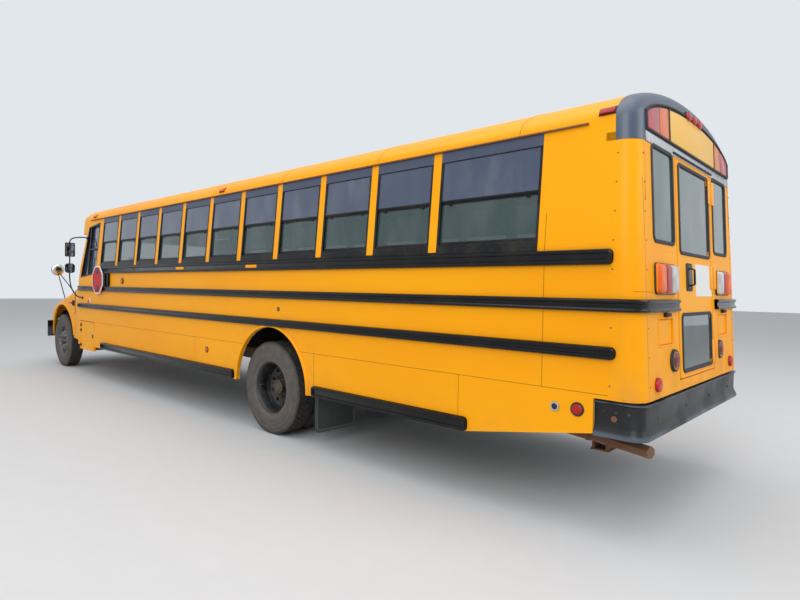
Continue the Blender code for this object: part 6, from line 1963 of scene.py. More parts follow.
def hood_skin(s, y):
    """The height of the hood's skin at a place."""
    _, setback, _, shoulder, top = hood_section(s)
    half = SIDE_Y - setback
    middle = shoulder + (top - shoulder) / 2
    ridge = half * CROWN_SHARE
    if abs(y) > ridge:
        return shoulder + (middle - shoulder) * (half - 0.04 - abs(y)) / (half - 0.04 - ridge)
    return middle + (top - middle) * (1 - abs(y) / ridge)


def cylinder_across(x, z, radius, half):
    """A cylinder that lies across the bus, to cut with."""
    shape = Shape()
    shape.tube([(x, -half, z), (x, half, z)], radius, 0, 96)
    return mesh_of(shape)


def make_hood():
    """The hood and its fenders, one shell with wheel arches, a grille opening and rolled arch lips."""
    sections = smooth(HOOD_SECTIONS, 5)
    shape = Shape()
    shape.loft([wall_ring(section, HOOD_WALL) for section in sections])
    hood = cut_by(mesh_of(shape), cylinder_across(at(FRONT_AXLE_S), 0.5, ARCH_RADIUS, 1.4))
    wall = Shape()
    wall.loft([shell_ring(sections[-1], 0.004, shift) for shift in (-0.022, -0.008, 0.0)])
    nose = cut_by(mesh_of(wall), block((at(11.8), -0.4195, 0.9555), (at(12.1), 0.4195, 1.1645)))
    piece("hood_nose", nose, ("hood_yellow",), "hood", "yellow", angle=38)
    relief = Shape()
    edge = []
    for step in range(1, 9):
        drop = HOOD_RELIEF * step / 8
        reach = math.sqrt(HOOD_REACH**2 - drop**2)
        edge.append((at(HOOD_HINGE[0] - reach), HOOD_HINGE[1] - drop))
    back = at(10.2)
    outline = [*edge, (back, HOOD_HINGE[1] - HOOD_RELIEF), (back, edge[0][1])]
    relief.loft([[(x, y, z) for x, z in outline] for y in (-1.3, 1.3)])
    hood = cut_by(hood, mesh_of(relief))
    piece("hood_shell", hood, ("hood_yellow",), "hood", "yellow", replaces=("hood",), angle=38)
    lips = Shape()
    for _, side in SIDES:
        rings = []
        for i in range(49):
            turn = math.radians(9 + 159 * i / 48)
            ring = []
            for radius, out in (
                (0.7, -0.02), (0.7, 0.006), (0.704, 0.009), (0.722, 0.008), (0.73, 0.001), (0.73, -0.004),
            ):
                x, z = at(FRONT_AXLE_S) + radius * math.cos(turn), 0.5 + radius * math.sin(turn)
                half = SIDE_Y - hood_section(x - at(0))[1]
                ring.append((x, side * (half + out), z))
            rings.append(ring)
        lips.loft(rings)
    for _, side in SIDES:
        lips.tube(
            [
                (at(10.36), side * 0.72, hood_skin(10.36, 0.72) + 0.003),
                (at(11.0), side * 0.715, hood_skin(11.0, 0.715) + 0.003),
                (at(11.85), side * 0.66, hood_skin(11.85, 0.66) + 0.002),
            ],
            0.006, 0, 8,
        )
    lips.made("hood_lips", ("hood_yellow",), "hood", "yellow")
    catches = Shape()
    for _, side in SIDES:
        half = SIDE_Y - 0.069

        def place(x, z, out, side=side, half=half):
            return (x, side * (half + out), z)

        catches.plate(rounded((at(10.36), 1.2), (at(10.46), 1.3), 0.012), place, 0.014, 0, 0.004)
        catches.tube(
            [place(at(10.41), 1.22, 0.014), place(at(10.41), 1.25, 0.035), place(at(10.41), 1.28, 0.014)],
            0.008, 0, 8,
        )
        catches.plate(rounded((at(10.52), 1.235), (at(10.66), 1.275), 0.012), place, 0.016, 1, 0.006)
    catches.made("hood_catches", ("seal", "amber"), "hood")


def make_nose():
    """The grille's frame and slats, and the headlamps with their turn signals."""
    face = on_level(1, at(11.955))
    shape = Shape()
    shape.frame(rounded((-0.42, 0.955), (0.42, 1.165), 0.03), face, 0.024, 0.02, 0, 0.006, back=0.03)
    for i in range(7):
        z = 0.985 + 0.025 * i
        shape.bar((-0.4, -0.02, z), (0.4, 0.012, z + 0.009), 0.003, 0, upright(face))
    for y in (-0.2, 0.0, 0.2):
        shape.bar((y - 0.006, -0.025, 0.965), (y + 0.006, 0.0, 1.155), 0.002, 0, upright(face))
    shape.plate(rectangle(-0.4, 0.4, 0.965, 1.155), face, -0.03, 1, 0, back=0.034)
    shape.made("grille_slats", ("black", "seal"), "hood", replaces=("grille",))
    core = Shape()
    core.bar((at(11.52), -0.43, 0.66), (at(11.58), 0.43, 1.19), 0.006, 0)
    for i in range(40):
        y = -0.405 + 0.0208 * i
        core.bar((at(11.578), y, 0.7), (at(11.586), y + 0.007, 1.15), 0, 1)
    for low, high in ((0.66, 0.7), (1.15, 1.2)):
        core.bar((at(11.51), -0.44, low), (at(11.592), 0.44, high), 0.012, 0)
    for y in (-0.36, 0.36):
        core.bar((at(11.5), y - 0.03, 0.6), (at(11.56), y + 0.03, 0.68), 0.004, 0)
    core.made("radiator", ("seal", "chassis"), slot="chassis_steel")
    lamps = Shape()
    face = on_level(1, at(11.964))
    for _, side in SIDES:
        low, high = sorted((side * 0.508, side * 0.892))
        outline = rounded((low, 0.912), (high, 1.088), 0.035, 6)
        lamps.frame(outline, face, 0.02, 0.02, 0, 0.006, back=0.03)
        lamps.plate(outline, face, 0.0125, 1, 0.003, back=0.02)
        for middle, radius in ((0.6, 0.068), (0.74, 0.068)):
            centre = face(side * middle, 1.0, 0.013)
            lamps.dome(centre, (1, 0, 0), radius, 0.007, 2, 36, 6)
        low, high = sorted((side * 0.82, side * 0.875))
        lamps.plate(rounded((low, 0.93), (high, 1.07), 0.012), face, 0.02, 3, 0.006)
    lamps.made("headlamps", ("seal", "chrome", "clear_lens", "amber"), "hood", "clear_glass")


def make_cowl():
    """The fixed shell behind the hood, its rubber edge, and the air intake under the glass."""
    first, last = COWL_SECTIONS
    sections = [tuple(a + (b - a) * i / 6 for a, b in zip(first, last)) for i in range(7)]
    shape = Shape()
    shape.loft([wall_ring(section, 0.02) for section in sections])
    cowl = mesh_of(shape)
    piece("cowl_shell", cowl, ("yellow",), "root", "yellow", replaces=("cowl",), angle=38)
    trim = Shape()
    ring = shell_ring(COWL_SECTIONS[1], -0.001, 0.001)
    outer = [ring[1]] + ring[2:-2] + [ring[-2]]
    trim.tube(outer, 0.006, 0, 8)
    for i in range(9):
        y = -0.48 + 0.12 * i
        top = shell_top(10.1, y)
        trim.bar((at(10.06), y - 0.045, top), (at(10.14), y + 0.045, top + 0.008), 0.003, 1)
    trim.made("cowl_trim", ("seal", "black"))


def shell_top(s, y):
    """The height of the cowl's skin at a place near its middle."""
    first, last = COWL_SECTIONS
    share = (s - first[0]) / (last[0] - first[0])
    _, setback, _, shoulder, top = [a + (b - a) * share for a, b in zip(first, last)]
    middle = shoulder + (top - shoulder) / 2
    ridge = (SIDE_Y - setback) * CROWN_SHARE
    return middle + (top - middle) * min(1, (1 - abs(y) / ridge) * 1.5)


def shield_point(share, height, out=0.0):
    """A place on the windshield: its share across, from -1 to 1, and its share of the height."""
    s = SHIELD_FOOT[0] + (SHIELD_HEAD[0] - SHIELD_FOOT[0]) * height
    z = SHIELD_FOOT[1] + (SHIELD_HEAD[1] - SHIELD_FOOT[1]) * height
    return (at(s) + SHIELD_BULGE * (1 - share * share) + out, share * SHIELD_HALF, z)


def make_windshield():
    """The curved windshield in its rubber, with a dark band along its top and two wipers."""
    glass_shape = Shape()
    steps = 28
    rings = []
    for height in (0.0, 0.5, 1.0):
        outer = [shield_point(2 * i / steps - 1, height) for i in range(steps + 1)]
        inner = [shield_point(2 * i / steps - 1, height, -0.012) for i in range(steps + 1)]
        rings.append([*outer, *inner[::-1]])
    glass_shape.loft(rings)
    glass_shape.made("windshield_glass", ("clear",), slot="clear_glass", replaces=("windshield",))
    trim = Shape()
    shares = [2 * i / steps - 1 for i in range(steps + 1)]
    for height in (0.008, 0.99):
        trim.tube([shield_point(share * 0.995, height, 0.0) for share in shares], 0.016, 0, 10)
    for end in (-0.995, 0.995):
        trim.tube([shield_point(end, height, 0.0) for height in (0.008, 0.5, 0.99)], 0.016, 0, 10)
    band = []
    for height in (0.9, 0.985):
        outer = [shield_point(share * 0.98, height, 0.0015) for share in shares]
        inner = [shield_point(share * 0.98, height, -0.0005) for share in shares]
        band.append([*outer, *inner[::-1]])
    trim.loft(band, 1)
    for start, end in ((0.62, 0.1), (-0.1, -0.62)):
        foot = shield_point(start, 0.01, 0.03)
        tip = shield_point((start + end) / 2, 0.34, 0.03)
        trim.tube([foot, tip], [0.009, 0.006], 2, 8)
        low = shield_point(start - 0.02, 0.08, 0.012)
        high = shield_point(end + 0.06, 0.6, 0.012)
        trim.tube([low, high], 0.006, 0, 6)
        trim.tube(
            [(foot[0], foot[1], foot[2] - 0.01), (foot[0] + 0.002, foot[1], foot[2] + 0.02)], 0.02, 2, 16,
        )
    trim.made("windshield_trim", ("seal", "sash", "black"))


# Front of the roof

FRONT_CAP_EDGE = 0.2
FRONT_CAP_LOW_Z = 2.5
FRONT_LAMP_Z = 2.66
FRONT_LAMPS_Y = (0.675, 0.895)


def front_ring(x, drawn):
    arc = roof_arc(TOP_Y - drawn, GUTTER_Z, ROOF_RISE - drawn)
    low_half = side_y(FRONT_CAP_LOW_Z) - drawn
    return [(x, y, z) for y, z in [(low_half, FRONT_CAP_LOW_Z), *arc, (-low_half, FRONT_CAP_LOW_Z)]]


def make_front_cap():
    """The roof's rounded front, with hooded warning lamps, cab lamps and a blank sign."""
    shape = Shape()
    back, front = at(9.6005), at(10.0)
    rings = [front_ring(back, 0)]
    for step in range(11):
        turn = math.radians(90 - 9 * step)
        drawn = FRONT_CAP_EDGE * (1 - math.sin(turn))
        rings.append(front_ring(front - FRONT_CAP_EDGE * (1 - math.cos(turn)), drawn))
    shape.loft(rings)
    shape.made("front_crown", ("yellow",), slot="yellow", replaces=("front_cap",))
    face = on_level(1, front)
    lamps = Shape()
    for _, side in SIDES:
        for look, y in enumerate(FRONT_LAMPS_Y, 1):
            ring = circle((side * y, FRONT_LAMP_Z), 0.098, 40)
            lamps.frame(ring, face, 0.02, 0.02, 0, 0.005, back=0.05)
            lamps.plate(ring, face, 0.004, 0, 0, back=0.05)
            lamps.dome(face(side * y, FRONT_LAMP_Z, 0.004), (1, 0, 0), 0.08, 0.022, look, 36, 7)
    lamps.plate(rounded((-0.545, 2.58), (0.545, 2.75), 0.012), face, 0.006, 3, 0.002, back=0.01)
    lamps.frame(rounded((-0.555, 2.57), (0.555, 2.76), 0.018), face, 0.014, 0.012, 0, 0.004, back=0.01)
    for y in (-0.18, 0.0, 0.18, -0.8, 0.8):
        low = 2.96 if abs(y) < 0.5 else 2.85
        lamps.bar((at(9.86), y - 0.05, low), (at(9.985), y + 0.05, low + 0.04), 0.012, 2)
    lamps.made("front_lamps", ("seal", "red", "amber", "sign_amber"), slot="signal_red", angle=45)
    hoods = Shape()
    for _, side in SIDES:
        for y in FRONT_LAMPS_Y:
            rows = []
            for step in range(25):
                turn = math.radians(-35 + 250 * step / 24)
                reach = 0.05 + 0.13 * min(1, max(0, (math.sin(turn) + 0.5) / 1.1)) ** 0.7
                points = []
                for radius, ahead in (
                    (0.104, -0.09), (0.106, reach * 0.4), (0.1, reach), (0.096, reach),
                    (0.101, reach * 0.4), (0.099, -0.09),
                ):
                    points.append(
                        (
                            front + ahead, side * y + radius * math.cos(turn),
                            FRONT_LAMP_Z + radius * math.sin(turn),
                        )
                    )
                rows.append(points)
            hoods.loft(rows)
    hoods.made("lamp_hoods", ("yellow",), slot="yellow")


def make_front_bumper():
    """The front bumper, a channel with rounded edges, swept back at its ends."""
    shape = Shape()
    face, half = at(12.1205), 1.14
    profile = (
        (0.07, 0.845), (0.012, 0.85), (0.003, 0.842), (0.0, 0.83), (0.0, 0.54), (0.003, 0.528),
        (0.012, 0.52), (0.07, 0.525), (0.07, 0.533), (0.013, 0.533), (0.009, 0.545), (0.009, 0.825),
        (0.013, 0.837), (0.07, 0.837),
    )
    rings = []
    for i in range(25):
        y = half * (1 - i / 12)
        sweep = 0.1 * max((abs(y) - half / 2) / (half / 2), 0) ** 1.5
        rings.append([(face - sweep - deep, y, z) for deep, z in profile])
    shape.loft(rings)
    for y in (-0.43, 0.43):
        shape.tube([(face - 0.03, y * 1.5, 0.6), (face - 0.002, y * 1.5, 0.6)], 0.03, 1, 24)
    shape.made("front_bumper_face", ("bumper", "seal"), replaces=("front_bumper",))


# Mirrors, stop sign, doors and hatches on the sides

STOP_HINGE_S = 8.55
STOP_SIGN_S = 8.87
STOP_Z = 1.68
STOP_Y = 1.2684
ENTRANCE_Y = 1.147


def make_mirrors():
    """The side mirrors on their bent bracket, and the round mirrors on the hood."""
    for name, side in SIDES:
        shape = Shape()
        x = at(9.9)
        for low, high, corner, depth in ((2.09, 2.34, 0.02, 0.06), (1.8, 1.97, 0.05, 0.058)):
            rings = []
            y0, y1 = 1.288, 1.447
            for drawn, ahead in (
                (0.004, 0.0), (0.0, 0.008), (0.0, 0.026), (0.012, 0.044), (0.03, depth * 0.93),
                (0.05, depth),
            ):
                outline = rounded(
                    (y0 + drawn, low + drawn), (y1 - drawn, high - drawn), max(corner - drawn * 0.2, 0.012),
                    5,
                )
                rings.append([(x + ahead, side * y, z) for y, z in outline])
            shape.loft(rings, 0)
            glass_outline = rounded(
                (y0 + 0.01, low + 0.01), (y1 - 0.01, high - 0.01), max(corner - 0.008, 0.01), 5,
            )
            shape.loft(
                [[(x + ahead, side * y, z) for y, z in glass_outline] for ahead in (-0.0015, 0.003)], 1,
            )
        post_x, post_y = x + 0.03, 1.3675
        foot_low = (at(9.72), side_y(1.36) - 0.002, 1.36)
        foot_high = (at(9.635), side_y(2.42) - 0.004, 2.42)
        path = smooth(
            [
                foot_high, (at(9.66), foot_high[1] + 0.07, 2.43), (post_x - 0.05, post_y - 0.04, 2.42),
                (post_x, post_y, 2.36), (post_x, post_y, 2.2), (post_x, post_y, 2.0),
                (post_x, post_y, 1.75), (post_x - 0.02, post_y - 0.02, 1.55),
                (post_x - 0.1, post_y - 0.08, 1.4), foot_low,
            ],
            6,
        )
        shape.tube([(px, side * py, pz) for px, py, pz in path], 0.0105, 2, 10)
        for foot in (foot_low, foot_high):
            shape.dome((foot[0], side * (foot[1] - 0.002), foot[2]), (0, side, 0), 0.032, 0.016, 2, 20, 4)
        for z in (2.13, 2.3, 1.885):
            shape.bar(
                (post_x - 0.02, side * post_y - 0.02, z - 0.015),
                (post_x + 0.034, side * post_y + 0.02, z + 0.015), 0.004, 2,
            )
        shape.made(f"mirror_{name}", ("mirror_shell", "mirror", "sash"), replaces=(f"side_mirror_{name}",))
        ball = Shape()
        x, y, z = at(11.6), side * 1.07, 1.885
        ball.dome((x + 0.036, y, z), (-1, 0, 0), 0.1135, 0.036, 0, 40, 9)
        ball.dome((x + 0.036, y, z), (1, 0, 0), 0.115, 0.052, 1, 40, 8)
        ball.tube([(x + 0.03, y, z), (x + 0.04, y, z)], 0.1145, 1, 40)
        for s in (10.75, 11.25):
            foot = hood_skin(s, 1.04) + 0.004
            bend = (at(s), side * 1.04, foot)
            path = smooth(
                [
                    bend, (at(s) + 0.004, side * 1.04, foot + 0.03),
                    (at(s) + 0.04, side * 1.043, foot + 0.07), (x + 0.06, y, z - 0.01),
                ],
                6,
            )
            ball.tube(path, 0.009, 2, 10)
            ball.dome((at(s), side * 1.04, foot - 0.008), (0, 0, 1), 0.03, 0.022, 2, 20, 4)
        ball.dome((x + 0.075, y, z - 0.01), (1, 0, 0), 0.02, 0.014, 2, 16, 4)
        ball.made(
            f"crossview_{name}", ("chrome", "mirror_shell", "sash"), "hood",
            replaces=(f"crossview_mirror_{name}",),
        )


def make_stop_sign():
    """The stop sign: a blank red octagon with a white border and two lamps, on its black arm and housing."""
    body = "stop_sign"
    x, y, z = at(STOP_SIGN_S), STOP_Y, STOP_Z
    turned = 0.5

    def outward(u, v, out):
        return (u, y + 0.004 + out, v)

    def inward(u, v, out):
        return (u, y - 0.004 - out, v)

    shape = Shape()
    outline = circle((x, z), 0.249, 8, turned)
    for place in (outward, inward):
        shape.plate(outline, place, 0.002, 1, 0.0008, back=0.004)
        small = circle((x, z), 0.226, 8, turned)
        shape.plate(small, place, 0.0026, 0, 0, back=0.001)
    for dz in (-0.15, 0.15):
        shape.frame(circle((x, z + dz), 0.052, 32), outward, 0.008, 0.008, 2, 0.002)
        shape.dome(outward(x, z + dz, 0.002), (0, 1, 0), 0.045, 0.008, 3, 28, 5)
    hinge = at(STOP_HINGE_S)
    shape.bar((hinge, y - 0.008, z - 0.05), (x - 0.2, y - 0.0045, z + 0.05), 0.001, 2)
    shape.bar((hinge, y - 0.0085, z - 0.03), (x, y - 0.0065, z + 0.03), 0.001, 2)
    shape.tube([(hinge, y, z - 0.085), (hinge, y, z + 0.085)], 0.0135, 2, 20)
    for dz in (-0.035, 0.035):
        for dx in (0.1, 0.14):
            shape.dome((hinge + dx, y - 0.0045, z + dz), (0, 1, 0), 0.007, 0.004, 4, 10, 3)
    shape.made(
        "stop_sign_plate", ("sign_red", "white", "sash", "dark_red", "zinc"), body, "signal_red",
        replaces=("stop_arm",), angle=30,
    )
    fixed = Shape()
    place = on_side(1)
    fixed.plate(rounded((at(8.458), 1.575), (at(9.142), 1.787), 0.02), place, 0.0362, 0, 0.008, back=0.002)
    for dz, end in ((-0.075, -1), (0.075, 1)):
        near, far = z + dz + 0.012 * end, z + dz + 0.026 * end
        fixed.tube([(hinge, y, near), (hinge, y, far)], 0.017, 0, 16)
        low, high = sorted((near, far))
        fixed.bar((hinge - 0.012, SIDE_Y + 0.02, low), (hinge + 0.012, y, high), 0.002, 0)
    fixed.made("stop_sign_housing", ("black",))


def make_battery_door():
    """The battery hatch's raised rim, its three hinges, a latch and a round lock."""
    body = "battery_hatch"
    place = on_side(1)
    shape = Shape()
    outline = rounded((at(9.1575), 0.456), (at(9.805), 0.946), 0.012)
    shape.frame(outline, place, 0.02, 0.004, 0, 0.002, back=0.004)
    for z in (0.53, 0.79, 0.88):
        shape.bar((at(9.75), 0.0, z - 0.022), (at(9.8), 0.009, z + 0.022), 0.003, 1, upright(place))
        shape.tube([place(at(9.798), z - 0.028, 0.006), place(at(9.798), z + 0.028, 0.006)], 0.0065, 1, 10)
    shape.plate(rounded((at(9.2), 0.68), (at(9.25), 0.735), 0.012), place, 0.01, 1, 0.003)
    shape.plate(rounded((at(9.21), 0.695), (at(9.24), 0.72), 0.008), place, 0.016, 2, 0.003)
    shape.dome(place(at(9.36), 0.735, 0.0), (0, 1, 0), 0.013, 0.006, 2, 20, 3)
    shape.made("battery_door_fittings", ("yellow", "seal", "zinc"), body, "black_trim")


def make_entrance():
    """The entrance door leaves: rubber round their panes and down their meeting edges, with a pull."""
    leaves = (
        ("rear", 8.847, 9.1965, "entrance_leaf_rear", 1),
        ("front", 9.2035, 9.553, "entrance_leaf_front", -1),
    )
    for name, s0, s1, body, meets in leaves:
        shape = Shape()

        def place(x, z, out):
            return (x, -(ENTRANCE_Y + out), z)

        x0, x1 = at(s0), at(s1)
        for low, high in ((0.62, 1.42), (1.5, 2.45)):
            outline = rounded((x0 + 0.04, low - 0.01), (x1 - 0.04, high + 0.01), 0.03, 5)
            shape.frame(outline, place, 0.016, 0.006, 0, 0.002, back=0.012)
            shape.plate(
                rounded((x0 + 0.048, low), (x1 - 0.048, high), 0.024, 5), place, -0.012, 1, back=0.016,
            )
        edge = x1 if meets > 0 else x0
        shape.tube([(edge, -1.131, 0.43), (edge, -1.131, 2.53)], 0.0035 if meets < 0 else 0.0034, 0, 8)
        shape.bar((x0 + 0.004, 1.118, 0.416), (x1 - 0.004, 1.15, 0.5), 0.003, 2, lambda x, y, z: (x, -y, z))
        grab = x0 + 0.06 if meets < 0 else x1 - 0.06
        shape.tube(
            [(grab, -1.1, 1.05), (grab, -1.07, 1.08), (grab, -1.07, 1.38), (grab, -1.1, 1.41)], 0.011, 3,
            10,
        )
        shape.made(
            f"entrance_trim_{name}", ("seal", "tinted", "black", "zinc"), body, "black_trim",
            replaces=(f"door_glass_{name}",),
        )


def make_underside():
    """Small things under the bus: straps on the pipe and the muffler, the tank's bearers, frame bolts."""
    shape = Shape()
    for s, y, z in ((6.2, 0.56, 0.782), (4.9, 0.535, 0.79), (2.3, 0.66, 0.72), (0.5, 0.89, 0.606)):
        shape.tube([(at(s) - 0.012, y, z), (at(s) + 0.012, y, z)], 0.045, 0, 24)
        shape.bar((at(s) - 0.01, y - 0.004, z + 0.03), (at(s) + 0.01, y + 0.004, 0.96), 0.001, 0)
    for s in (6.52, 7.58):
        shape.tube([(at(s) - 0.014, 0.57, 0.74), (at(s) + 0.014, 0.57, 0.74)], 0.123, 0, 40)
    shape.bar((at(0.42), 0.57, 0.452), (at(0.56), 0.72, 0.466), 0.004)
    for s in (0.43, 0.53):
        shape.bar((at(s), 0.575, 0.46), (at(s + 0.02), 0.715, 0.54), 0.003)
    for s in (5.5, 6.7):
        shape.bar((at(s) - 0.02, -1.02, 0.497), (at(s) + 0.02, -0.47, 0.503), 0.002, 0)
    shape.made("underside_straps", ("rust",), slot="rusty_pipe")
    rows = []
    for side in (-1, 1):
        for i in range(80):
            s = 0.6 + 0.14 * i
            for z in (0.7, 0.9):
                rows.append(((at(s), side * 0.4705, z), (0, side, 0)))
    studs("frame_bolts", rows, 0.009, "chassis", height=0.007, slot="chassis_steel")


# Inside the bus

BENCH_S = 0.72
BENCH_OUTER_Y = 1.179
BENCH_WIDTH = 0.96


def cushion(shape, centre, size, crown, look, turn=0.0, along=20, around=28, dents=0.0):
    """A stuffed form: crowned, rounded at its ends, its sides drawn in a little between its corners."""
    lean = Matrix.Rotation(turn, 4, "Y")
    middle = Vector(centre)
    half_x, half_y, half_z = (value / 2 for value in size)

    def rounded_share(value, power):
        return math.copysign(abs(value) ** power, value)

    rings = []
    for i in range(along + 1):
        t = -math.cos(math.pi * i / along)
        ends = max(1 - abs(t) ** 8, 0.0) ** 0.125
        draw = 1 - 0.012 * (1 - t * t)
        ring = []
        for j in range(around):
            a = 2 * math.pi * (j + 0.5) / around
            u, v = rounded_share(math.cos(a), 0.42), rounded_share(math.sin(a), 0.42)
            x = half_x * u * (0.9 + 0.1 * ends) * (draw if abs(v) < 0.9 else 1)
            z = half_z * v * (0.35 + 0.65 * ends)
            lift = crown * (1 - t * t) * (1 - u * u) if v > 0 else -crown * 0.3 * (1 - t * t) * (1 - u * u)
            ripple = dents * math.sin(5.1 * t + 2.3 * u) * math.sin(3.7 * u + 1.3 * v) * (1 - t * t)
            y = half_y * t
            ring.append(tuple(middle + lean @ Vector((x, y, z + lift + ripple))))
        rings.append(ring)
    shape.loft(rings, look)


def make_benches():
    """Padded bench seats with welted seams, on steel legs and a wall rail, in rows down both sides."""
    count = bpy.context.scene.bus_fittings.bench_rows
    pitch = bpy.context.scene.bus_fittings.bench_pitch
    for name, side in SIDES:
        middle = side * (BENCH_OUTER_Y - BENCH_WIDTH / 2)
        x = at(BENCH_S)
        pads = Shape()
        cushion(
            pads, (x + 0.275, middle, 1.401), (0.41, BENCH_WIDTH - 0.01, 0.104), 0.012, 0,
            math.radians(-2.5), dents=0.004,
        )
        rake = math.atan2(0.1, 0.42)
        cushion(
            pads, (x + 0.004, middle, 1.664), (0.41, BENCH_WIDTH - 0.012, 0.08), 0.012, 0,
            math.pi / 2 - rake, dents=0.004,
        )
        welt = [(x + 0.478, middle - 0.455 + 0.91 * i / 12, 1.431) for i in range(13)]
        pads.tube(welt, 0.0035, 1, 6)
        pads_name = f"bench_pads_{name}"
        made = row_of(
            pads_name, pads, count, pitch, ("vinyl", "seal"), slot="seat_vinyl",
            replaces=(f"benches_{name}",), angle=60,
        )
        frames = Shape()
        leg_y = side * 0.39
        for ahead in (0.13, 0.42):
            frames.tube([(x + ahead, leg_y, 1.345), (x + ahead, leg_y, 1.045)], 0.0125, 0, 12)
        frames.tube([(x + 0.1, leg_y, 1.035), (x + 0.45, leg_y, 1.035)], 0.012, 0, 10)
        frames.bar((x + 0.08, side * 0.39 - 0.02, 1.02), (x + 0.47, side * 0.39 + 0.02, 1.03), 0.002, 0)
        for ahead in (0.1, 0.46):
            frames.tube([(x + ahead, side * 0.24, 1.345), (x + ahead, side * 1.165, 1.345)], 0.011, 0, 8)
        row_of(f"bench_frames_{name}", frames, count, pitch, ("chassis",), slot="chassis_steel")
        rail_shape = Shape()
        low, high = sorted((side * 1.16, side * 1.178))
        rail_shape.bar(
            (x + 0.02, low, 1.3), (at(BENCH_S + pitch * (count - 1)) + 0.49, high, 1.34), 0.003, 0,
        )
        rail_shape.made(f"bench_wall_rail_{name}", ("zinc",))


def make_driver_seat():
    """The driver's seat: bolstered cushion and back with a headrest, on a pedestal with a bellows."""
    x, y = at(8.8), 0.66
    pads = Shape()
    cushion(pads, (x + 0.275, y, 1.4), (0.4, 0.47, 0.105), 0.014, 0, math.radians(-3), dents=0.003)
    rake = math.atan2(0.1, 0.62)
    cushion(pads, (x - 0.005, y, 1.73), (0.56, 0.47, 0.085), 0.014, 0, math.pi / 2 - rake, dents=0.003)
    for edge in (-0.19, 0.19):
        cushion(pads, (x + 0.275, y + edge, 1.425), (0.38, 0.075, 0.08), 0.004, 0, math.radians(-3), 10, 16)
        cushion(pads, (x + 0.03, y + edge, 1.68), (0.4, 0.07, 0.07), 0.004, 0, math.pi / 2 - rake, 10, 16)
    cushion(pads, (x - 0.055, y, 2.03), (0.09, 0.3, 0.07), 0.008, 0, math.pi / 2 - rake, 14, 20)
    made = pads.made(
        "driver_seat_pads", ("driver_vinyl",), slot="seat_vinyl", replaces=("driver_seat",), angle=60,
    )
    base = Shape()
    for i in range(5):
        z = 1.06 + 0.05 * i
        base.bar((x + 0.17, y - 0.125, z), (x + 0.41, y + 0.125, z + 0.035), 0.014, 1)
        if i < 4:
            base.bar((x + 0.185, y - 0.11, z + 0.03), (x + 0.395, y + 0.11, z + 0.055), 0.004, 1)
    base.bar((x + 0.12, y - 0.16, 1.022), (x + 0.46, y + 0.16, 1.06), 0.006, 0)
    base.bar((x + 0.09, y - 0.19, 1.3), (x + 0.46, y + 0.19, 1.345), 0.01, 0)
    base.tube(
        [(x + 0.35, y - 0.2, 1.32), (x + 0.35, y - 0.235, 1.36), (x + 0.33, y - 0.235, 1.44)], 0.011, 2, 10,
    )
    base.made("driver_seat_base", ("chassis", "seal", "dark_red"), slot="chassis_steel")


